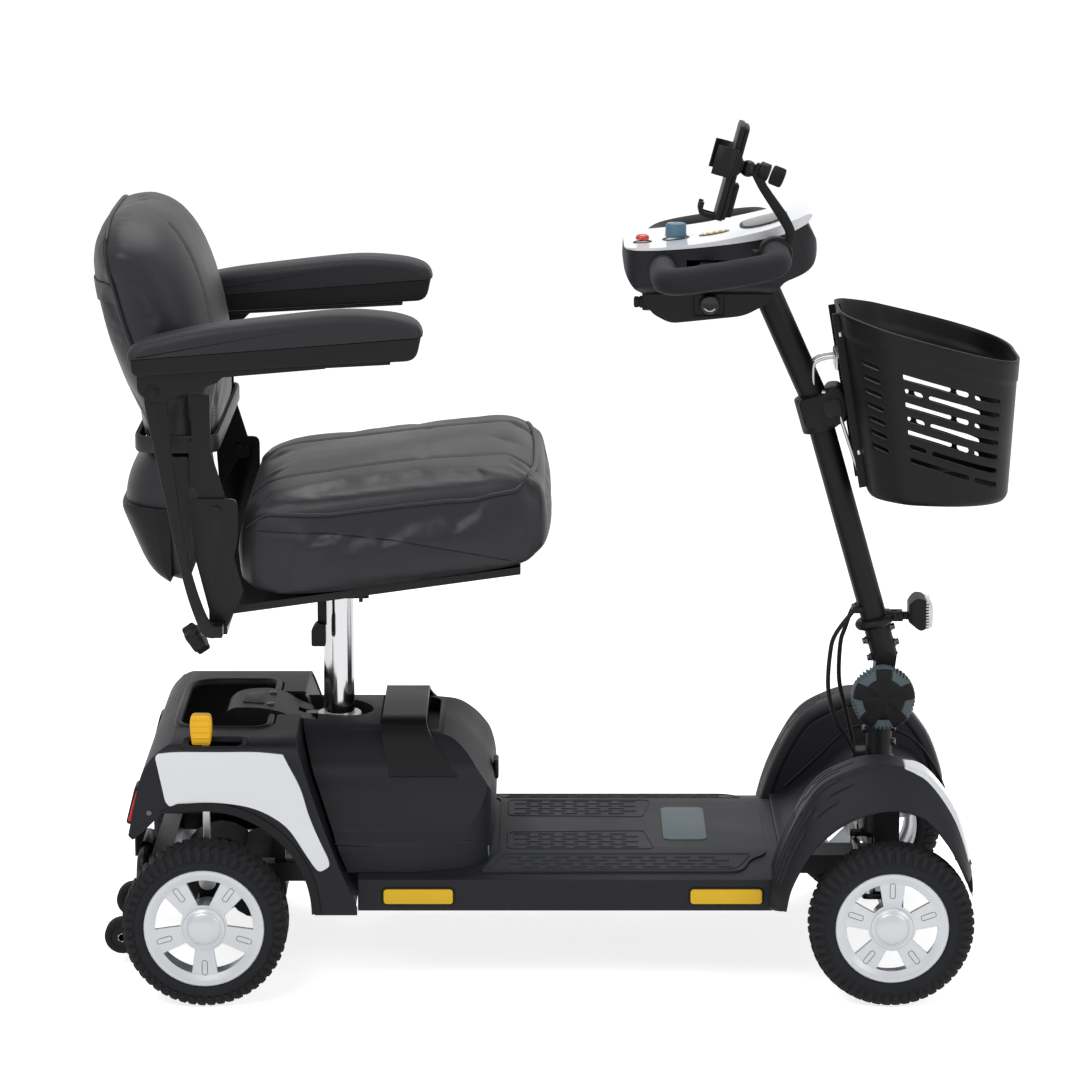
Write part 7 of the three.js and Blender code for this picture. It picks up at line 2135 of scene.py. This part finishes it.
# ---- Tiller and front fittings -----------------------------------------------------------------
class SCOOTER_OT_tiller(bpy.types.Operator):
    """Make the tiller tubes, the lamp and its clamp, the tilt knob, the bolts and the two cables"""
    bl_idname = "scooter.tiller"
    bl_label = "Tiller"

    def execute(self, context):
        satin = "satin_black"
        refined("tiller_tube", satin, 0.8)
        refined("steering_stem", satin, 0.8)
        route = np.concatenate([np.linspace(on_tiller(2), on_tiller(356), 20),
            smooth([on_tiller(360), TILLER_BEND, TILLER_BEND + (TILLER_HEAD - TILLER_BEND) * 0.1], 16),
            np.linspace(TILLER_BEND + (TILLER_HEAD - TILLER_BEND) * 0.14, TILLER_HEAD, 8)])
        radius = np.interp(np.arange(len(route)), [0, 24, 30, len(route) - 1], [17.4, 17.4, 18.4, 18.4])
        piece("tiller_skin", tube(route, radius, 48, (0, 1, 0)), satin, "tiller", sharp=60)
        shaft = np.array([FRONT_AXLE, 0, 0])
        stem = rod(shaft + (0, 0, AXLE_Z + 60), shaft + (0, 0, TILT[2] - 30), 17.3, 48, 0.6)
        piece("stem_skin", stem, satin, "stem")
        low, high = DECK_TOP + 77, DECK_TOP + 96
        nut = slab(circle(22, 6, (FRONT_AXLE, 0)), low, high, "z", 2.2, 3)
        washers = [rod(shaft + (0, 0, low - 0.4), shaft + (0, 0, low + 3), 23.4, 48, 0.8),
            rod(shaft + (0, 0, high - 0.6), shaft + (0, 0, high + 3.4), 21, 48, 0.9)]
        piece("stem_nut", merged(nut, *washers), "dark_steel", "stem", sharp=30)
        bolts(satin)
        lamp(satin)
        tilt_knob()
        cables(context.scene.scooter_sizes.cable / MM)
        return {"FINISHED"}


def bolts(material):
    """Cap screws on the tiller's socket, along its rear and its front."""
    heads = []
    for distance, forward in ((3, -1), (27, -1), (14, 1), (36, 1)):
        start = on_tiller(distance, 16.6 * forward)
        out = np.array([TILLER_AXIS[2], 0, -TILLER_AXIS[0]]) * forward
        heads.append(rod(start, start + out * 3.2, 5.6, 6, 0.8))
        heads.append(rod(start + out * 2.8, start + out * 7.2, 4.3, 24, 1.2))
    piece("tiller_bolts", merged(*heads), "dark_steel", "tiller", sharp=30)
    heads = []
    for forward, z in ((-1, 304), (1, 286), (1, 306)):
        start = np.array([FRONT_AXLE + forward * 16.4, 0, z + 2.0])
        heads.append(rod(start, start + (forward * 6.4, 0, 0), 5.2, 24, 1.2))
    piece("stem_bolts", merged(*heads), "dark_steel", "stem", sharp=30)
    ring = rod(on_tiller(-2), on_tiller(0.6), 18.0, 48, 0.6)
    piece("tiller_socket_line", ring, material, "tiller")


LAMP = np.array([on_tiller(50)[0] + 33, 0, on_tiller(50)[2] + 8])


def lamp(material):
    """The lamp's clamp ring with its thumb tab, the hinge ears, the dark housing and the clear faceted front."""
    centre = on_tiller(50)
    angle = np.linspace(0, 2 * np.pi, 60, endpoint=False)
    normal = np.array([TILLER_AXIS[2], 0, -TILLER_AXIS[0]])
    path = centre + 21.0 * (np.cos(angle)[:, None] * normal + np.sin(angle)[:, None] * np.array([0, 1.0, 0]))
    ring = tube(path, 6.4, 20, TILLER_AXIS, True)
    piece("lamp_clamp", ring, material, "tiller", "headlight_bracket", sharp=60)
    ears = [block((LAMP[0] - 24, y, LAMP[2] - 7.5), (LAMP[0] + 4, y + 5, LAMP[2] + 6), 1.4, 2) for y in (4, -9)]
    root = block((LAMP[0] - 27, -10, LAMP[2] - 12), (LAMP[0] - 12, 10, LAMP[2] + 7), 2.4, 3)
    pin = rod(LAMP - (0, 11, 0), LAMP + (0, 11, 0), 3.6, 24)
    piece("lamp_ears", merged(*ears, root, pin), material, "tiller", sharp=40)
    x, z = LAMP[0], LAMP[2]
    side = rounded([(x + 10, z + 16, 4), (x + 20, z + 28, 8), (x + 33, z + 25, 3), (x + 35.5, z + 13, 6),
        (x + 34, z - 15, 4), (x + 26, z - 18, 6), (x + 14, z - 9, 4), (x + 10, z - 6, 3)], 5)
    plan = prism([(x + 11, -16), (x + 18, -22, 8), (x + 44, -24, 8), (x + 44, 24, 8), (x + 18, 22, 8), (x + 11, 16)],
        z - 60, z + 60, "z")
    carved("lamp_housing", prism(side, -24, 24, steps=1), [("INTERSECT", plan)], material, "headlight",
        "headlight", 1.4, segments=3)
    tongue = merged(rod(LAMP - (0, 3.6, 0), LAMP + (0, 3.6, 0), 6, 24),
        block((x, -3.6, z - 6), (x + 16, 3.6, z + 4), 1.0))
    piece("lamp_tongue", tongue, material, "headlight")
    face = rounded([(x + 33, z + 25.5, 3), (x + 40, z + 23, 4), (x + 42, z + 12, 4), (x + 41, z - 13, 4),
        (x + 36, z - 16, 3), (x + 33, z - 15, 2)], 4)
    glass = [slab(face, -22.6, 22.6, "y", 4, 4)]
    for y in np.linspace(-20, 20, 11):
        line = coords(x + np.interp(np.linspace(0, 1, 8), [0, 0.2, 0.8, 1], [40.2, 41.4, 41.6, 39]), y,
            z + np.linspace(-13, 22, 8))
        glass.append(tube(line, 1.5, 8, (0, 1, 0)))
    for side in (-22.4, 22.4):
        for level in np.linspace(-11, 21, 9):
            line = np.array([(x + 33.4, side, z + level), (x + 36, side, z + level),
                (x + 38.6, side, z + level - 0.4)])
            glass.append(tube(line, 1.3, 8, (0, 1, 0)))
    piece("lamp_glass", merged(*glass), "lens", "headlight", sharp=30)


def tilt_knob():
    """A ribbed ring, r(t) = R - 1.8 bays(t) with fine teeth in the five bays, a black five-armed face that
    stands over it, and a neck."""
    x, z = TILT[0], TILT[2]
    angle = np.arange(600) * 2 * np.pi / 600
    lobe = (1 + np.cos(5 * (angle - np.pi / 2))) / 2
    teeth = (1 - lobe) * 1.5 * np.sign(np.sin(angle * 48))
    rings = []
    for radius, y in ((36, -34), (40, -34.6), (42.4, -37), (42.8, -46), (42.4, -57), (41, -59.6), (38.6, -60.4),
            (30, -60.4)):
        reach = radius - (1 - lobe) * 1.8 + (teeth if radius > 39 else 0)
        rings.append(coords(x + reach * np.cos(angle), y, z + reach * np.sin(angle)))
    piece("tilt_knob_ring", skin(np.array(rings)), "slate", "tilt_knob", "tilt_knob", sharp=40)
    arm = np.clip((lobe - 0.36) / 0.3, 0, 1)
    reach = 28.0 + 13.4 * ease(arm)
    rings = []
    for shrink, y in ((0, -52), (0, -60.6), (0.6, -61.6), (2.4, -62.2), (8, -62.5), (22, -61.8)):
        place = np.maximum(reach - shrink, 4)
        rings.append(coords(x + place * np.cos(angle), y, z + place * np.sin(angle)))
    piece("tilt_knob_face", skin(np.array(rings)), "satin_black", "tilt_knob", sharp=35)
    neck = merged(lathe([(13, -35), (13, -30), (15, -28), (15, -24.6)], (x, 0, z), (0, 1, 0), 40),
        rod((x, 24.6, z), (x, 31, z), 9, 6, 0.8))
    piece("tilt_knob_neck", neck, "dark_steel", "tilt_knob")


def cables(radius):
    """Two cables from the clip on the tiller, down in a loop to the clip over the stem nut, in one mesh joined to no
    body."""
    start = on_tiller(70)
    x, z = TILT[0], TILT[2]
    routes = ([(start[0] - 12, -6, start[2] + 7), (start[0] - 24, -8, start[2] - 4), (x - 62, -11, z + 78),
        (x - 69, -12, z + 52), (x - 71, -13, z + 3), (x - 61, -13, z - 38), (x - 45, -12.5, z - 64),
        (x - 33, -12, z - 88)], [(start[0] - 12, 6, start[2] + 7), (start[0] - 24, 8, start[2] - 4),
        (x - 48, 9.5, z + 82), (x - 54, 10, z + 60), (x - 55, 11, z + 12), (x - 47, 11, z - 26),
        (x - 39, 11.5, z - 60), (x - 33, 12, z - 88)])
    shapes = [tube(smooth(route, 7 * 14), radius, 16, (0, 1, 0)) for route in routes]
    high = block((start[0] - 26, -13, start[2] - 7), (start[0] - 9, 13, start[2] + 2), 2, 4)
    top = DECK_TOP + 98
    low = block((FRONT_AXLE - 36, -15, top), (FRONT_AXLE - 14, 15, top + 11), 2, 4)
    obj = loose("cables", merged(*shapes, high, low))
    obj.data.materials.append(FINISH["satin_black"])
    obj.data.shade_smooth()
    obj.data.set_sharp_from_angle(angle=math.radians(50))
    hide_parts("harness")
    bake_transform(obj)


# ---- Seat post and rear fittings ---------------------------------------------------------------
class SCOOTER_OT_rear_fittings(bpy.types.Operator):
    """Make the seat post, collar, swivel spring, freewheel lever, release paddle and anti-tip wheels"""
    bl_idname = "scooter.rear_fittings"
    bl_label = "Seat post and rear fittings"

    def execute(self, context):
        low, high = box_mm("seat_post")
        radius = (high[1] - low[1]) / 2
        post = [(radius - 1.2, low[2]), (radius, low[2] + 1.2), (radius, high[2])]
        piece("post_chrome", lathe([(r + 0.15, z) for r, z in post], (POST_X, 0, 0), (0, 0, 1), 72), "chrome",
            "seat_post", "seat_post")
        low, high = box_mm("post_collar")
        outer = (high[1] - low[1]) / 2
        collar = [(outer - 8, low[2]), (outer - 0.6, low[2]), (outer, low[2] + 1), (outer, low[2] + 5),
            (outer - 1.2, low[2] + 6), (outer - 1.2, high[2] - 9), (outer + 0.5, high[2] - 8),
            (outer + 0.5, high[2] - 1.4), (outer - 0.8, high[2]), (radius + 0.6, high[2]), (radius + 0.6, low[2])]
        piece("post_collar_ring", turned_ring(collar, (POST_X, 0, 0)), "zinc", "chassis", "post_collar",
            sharp=30)
        spring_and_lever()
        freewheel()
        paddle()
        anti_tip()
        return {"FINISHED"}


def spring_and_lever():
    """The swivel lever: a coil r = 6.4 along its bolt, and a rounded grip on the bar below."""
    refined("swivel_lever", "satin_black", 0.9)
    start = np.array([POST_X - 36, -31, SEAT_Z - 8.5])
    turn = np.linspace(0, 9 * 2 * np.pi, 220)
    coil = coords(start[0] + turn / turn[-1] * 24, start[1] + 6.6 * np.cos(turn), start[2] + 6.6 * np.sin(turn))
    piece("swivel_spring", tube(coil, 1.0, 8, (1, 0, 0)), "zinc", "seat", sharp=70)


def freewheel():
    """The freewheel lever: a flat steel stem and a yellow grip with four beads on each side."""
    refined("freewheel_lever", "yellow", 0.9)
    x0, z0 = REAR_AXLE - 4, DECK_TOP
    outline = rounded(shift([(-13, 166, 5), (-15.4, 182, 8), (-15.4, 198, 8), (-13, 206.6, 6), (11, 206.6, 6),
        (13.4, 198, 8), (13.4, 182, 8), (11, 166, 5)], x0, z0), 5)
    grip = [slab(outline, -197.8, -182.2, "y", 4, 4)]
    for level in (176, 184, 192, 200):
        for y in (-197.6, -182.4):
            line = coords(np.linspace(x0 - 12, x0 + 10, 8), y, z0 + level)
            grip.append(tube(line, 1.5, 10))
    piece("freewheel_grip", merged(*grip), "yellow", "freewheel_lever", sharp=50)
    stem = block((REAR_AXLE - 4.6, -193.5, AXLE_Z + 44), (REAR_AXLE + 4.6, -186.5, DECK_TOP + 170), 0.8, 1)
    hub = rod((REAR_AXLE, -194.6, AXLE_Z + 42), (REAR_AXLE, -185.4, AXLE_Z + 42), 11.5, 40, 1)
    piece("freewheel_stem", merged(stem, hub), "zinc", "freewheel_lever")


def paddle():
    """The release paddle: its side view carried across and cut to its plan, with a raised facet and two screws."""
    x, z = POST_X - 37, DECK_TOP + 152
    side = [(-113, 17, 8), (-100, 27, 22), (-50, 27.4, 30), (-14, 10, 20), (0, 8, 6), (6, 0, 6), (0, -8, 6),
        (-30, -6, 12), (-60, 6, 20), (-96, 12, 10), (-112, 11, 5)]
    plan = [(-121, -44, 40), (-42, -59, 20), (4, -34, 10), (4, 34, 10), (-42, 59, 20), (-121, 44, 40)]
    room = prism([(x - 18, -9.6), (x + 20, -9.6), (x + 20, 9.6), (x - 18, 9.6)], z - 30, z + 30, "z")
    carved("release_leaf", prism(shift(side, x, z), -62, 62), [("INTERSECT",
        prism(shift(plan, x, 0), z - 60, z + 60, "z")), ("DIFFERENCE", room)], "satin_black", "release_paddle",
        "release_paddle", 2.2, segments=3)
    screws = [lathe([(5.2, -2), (5.2, 0.2), (4.4, 1.1), (2.4, 1.2), (2.1, 0.4), (0.05, 0.4)], (x - 54, y, z + 27),
        (0, 0, 1), 32) for y in (-30, 30)]
    facet = slab(rounded([(x - 92, -26, 8), (x - 62, -34, 8), (x - 62, 34, 8), (x - 92, 26, 8)], 6), z + 26.4,
        z + 28.4, "z", 1.4, 3)
    piece("release_screws", merged(*screws), "dark_steel", "release_paddle")
    piece("release_facet", facet, "satin_black", "release_paddle", sharp=40)
    pin = rod((x, -24, z), (x, 24, z), 5, 32)
    piece("release_pin", pin, "zinc", "release_paddle")


def anti_tip():
    """The bent tubes down to an axle, and two small wheels with a tread ring and a hub."""
    x, z = REAR_AXLE - 124, 42.0
    parts = []
    for sign in (1, -1):
        route = smooth([(REAR_AXLE - 92, 14 * sign, AXLE_Z + 38), (REAR_AXLE - 97, 38 * sign, AXLE_Z + 35),
            (REAR_AXLE - 98, 54 * sign, AXLE_Z + 26), (REAR_AXLE - 99, 61 * sign, AXLE_Z),
            (REAR_AXLE - 103, 62 * sign, 72), (x, 62 * sign, z)], 60)
        parts.append(tube(route, 8.3, 24, (0, 1, 0)))
    parts.append(rod((REAR_AXLE - 97, -31, AXLE_Z + 37), (REAR_AXLE - 97, 31, AXLE_Z + 37), 13.3, 40, 1.2))
    parts.append(rod((x, -69, z), (x, -56, z), 10, 32))
    parts.append(rod((x, 56, z), (x, 69, z), 10, 32))
    refined("anti_tip_arm", "gloss_black", 0.8)
    piece("anti_tip_tubes", merged(*parts), "gloss_black", "chassis", sharp=50)
    for side_name, sign in SIDES:
        low, high = box_mm(f"anti_tip_wheel_{side_name}")
        centre, radius = (low + high) / 2, (high[2] - low[2]) / 2
        half = (high[1] - low[1]) / 2
        wheel_profile = [(14, -half + 2), (16, -half), (radius - 3, -half), (radius, -half + 3.5),
            (radius, half - 3.5), (radius - 3, half), (16, half), (14, half - 2)]
        hub = [(5.4, -half + 1), (14.2, -half + 1.6), (14.2, half - 1.6), (5.4, half - 1)]
        body = f"anti_tip_wheel_{side_name}"
        piece(f"anti_tip_tread_{side_name}", ring_shape(wheel_profile, centre), "tyre", body, body, sharp=40)
        piece(f"anti_tip_hub_{side_name}", ring_shape(hub, centre), "satin_black", body)
        cap = (x, centre[1] + sign * (half - 1), z)
        piece(f"anti_tip_bolt_{side_name}", rod(cap, (x, centre[1] + sign * (half + 3), z), 6.2, 6, 0.7), "zinc",
            "chassis")


class SCOOTER_OT_frame(bpy.types.Operator):
    """Make the finishes, and soften the edges of the pieces that keep the frame's own shape"""
    bl_idname = "scooter.frame"
    bl_label = "Frame pieces"

    def execute(self, context):
        FINISH.update(finishes(context.scene.scooter_colours))
        for node, look, slot in KEPT:
            refined(node, look)
        return {"FINISHED"}


# ---- Stage -------------------------------------------------------------------------------------
def seen_rays(tree):
    """1 for rays from the camera, in reflections and through glass, 0 for the rest."""
    path = tree.nodes.new("ShaderNodeLightPath")
    seen = path.outputs["Is Camera Ray"]
    for name in ("Is Glossy Ray", "Is Transmission Ray"):
        either = tree.nodes.new("ShaderNodeMath")
        either.operation = "MAXIMUM"
        tree.links.new(seen, either.inputs[0])
        tree.links.new(path.outputs[name], either.inputs[1])
        seen = either.outputs[0]
    return seen


def pale_ground():
    """A pale floor that stays white where nothing shades it, for the eye and in reflections."""
    shader = Shader("pale_ground")
    speck = shader.noise(3.0, 2.0)
    shader.colour(speck, (0.93, 0.93, 0.93), (0.95, 0.95, 0.95))
    shader.set(roughness=0.9, specular=0.1)
    lift = shader.node("ShaderNodeMath", operation="MULTIPLY")
    lift.inputs[1].default_value = 0.8
    shader.join(seen_rays(shader.tree), lift.inputs[0])
    shader.surface.inputs["Emission Color"].default_value = (1, 1, 1, 1)
    shader.join(lift.outputs[0], shader.surface.inputs["Emission Strength"])
    return shader.material


def softbox(name, place, size, power):
    """A rectangular lamp that looks at the middle of the scooter."""
    data = bpy.data.lights.new(name, "AREA")
    data.shape = "RECTANGLE"
    data.size, data.size_y = size
    data.energy = power
    lamp = linked(name, data)
    lamp.location = place
    lamp.rotation_euler = (Vector((0, 0, 0.5)) - Vector(place)).to_track_quat("-Z", "Y").to_euler()


def studio_world():
    """A world that is white to the eye and in reflections, and a soft grey light for all else."""
    world = bpy.data.worlds.new("studio")
    bpy.context.scene.world = world
    world.use_nodes = True
    tree = world.node_tree
    tree.nodes.clear()
    level = tree.nodes.new("ShaderNodeMapRange")
    level.inputs["To Min"].default_value = 0.24
    level.inputs["To Max"].default_value = 1.0
    tree.links.new(seen_rays(tree), level.inputs["Value"])
    background = tree.nodes.new("ShaderNodeBackground")
    background.inputs["Color"].default_value = (1, 1, 1, 1)
    tree.links.new(level.outputs["Result"], background.inputs["Strength"])
    output = tree.nodes.new("ShaderNodeOutputWorld")
    tree.links.new(background.outputs[0], output.inputs["Surface"])


class SCOOTER_OT_stage(bpy.types.Operator):
    """Make the floor, the lights and the camera"""
    bl_idname = "scooter.stage"
    bl_label = "Stage"

    def execute(self, context):
        scene = context.scene
        scene.view_settings.view_transform = "Standard"
        mesh = bpy.data.meshes.new("floor")
        reach, low = 30.0, -0.0005
        mesh.from_pydata([(-reach, -reach, low), (reach, -reach, low), (reach, reach, low), (-reach, reach, low)], [],
            [(0, 1, 2, 3)])
        floor = linked("floor", mesh)
        mesh.materials.append(pale_ground())
        studio_world()
        softbox("key", (-1.6, -2.6, 3.2), (2.4, 1.6), 66)
        softbox("fill", (2.6, -2.2, 1.8), (1.6, 1.8), 25)
        softbox("top", (0.2, 0.9, 3.4), (2.6, 1.6), 58)
        camera_data = bpy.data.cameras.new("camera")
        camera_data.sensor_width = 36
        camera_data.lens = 139.13
        camera_data.clip_end = 100
        camera = linked("camera", camera_data)
        camera.location = (ORIGIN[0], -5.4474, 1.7491)
        camera.rotation_euler = (math.radians(77.751), 0, 0)
        scene.camera = camera
        return {"FINISHED"}


OPERATORS = (SCOOTER_OT_frame, SCOOTER_OT_wheels, SCOOTER_OT_seat, SCOOTER_OT_backrest, SCOOTER_OT_arms,
    SCOOTER_OT_rear_cover, SCOOTER_OT_battery, SCOOTER_OT_deck, SCOOTER_OT_front_cover, SCOOTER_OT_basket,
    SCOOTER_OT_console, SCOOTER_OT_controls, SCOOTER_OT_phone_holder, SCOOTER_OT_tiller, SCOOTER_OT_rear_fittings,
    SCOOTER_OT_stage)


# ---- Add-on ------------------------------------------------------------------------------------
class SCOOTER_PT_panel(bpy.types.Panel):
    """The scooter's settings and the steps that make it"""
    bl_idname = "SCOOTER_PT_panel"
    bl_label = "Mobility scooter"
    bl_space_type = "VIEW_3D"
    bl_region_type = "UI"
    bl_category = "Scooter"

    def draw(self, context):
        layout = self.layout
        for group in (context.scene.scooter_sizes, context.scene.scooter_colours):
            box = layout.box()
            for name in group.bl_rna.properties.keys():
                if name not in ("rna_type", "name"):
                    box.prop(group, name)
        for operator in OPERATORS:
            layout.operator(operator.bl_idname)


CLASSES = (ScooterColours, ScooterSizes, *OPERATORS, SCOOTER_PT_panel)


def register():
    for kind in CLASSES:
        bpy.utils.register_class(kind)
    bpy.types.Scene.scooter_colours = bpy.props.PointerProperty(type=ScooterColours)
    bpy.types.Scene.scooter_sizes = bpy.props.PointerProperty(type=ScooterSizes)


def unregister():
    del bpy.types.Scene.scooter_sizes
    del bpy.types.Scene.scooter_colours
    for kind in reversed(CLASSES):
        bpy.utils.unregister_class(kind)


def main():
    register()
    for operator in OPERATORS:
        group, name = operator.bl_idname.split(".")
        getattr(getattr(bpy.ops, group), name)()


if __name__ == "__main__":
    main()
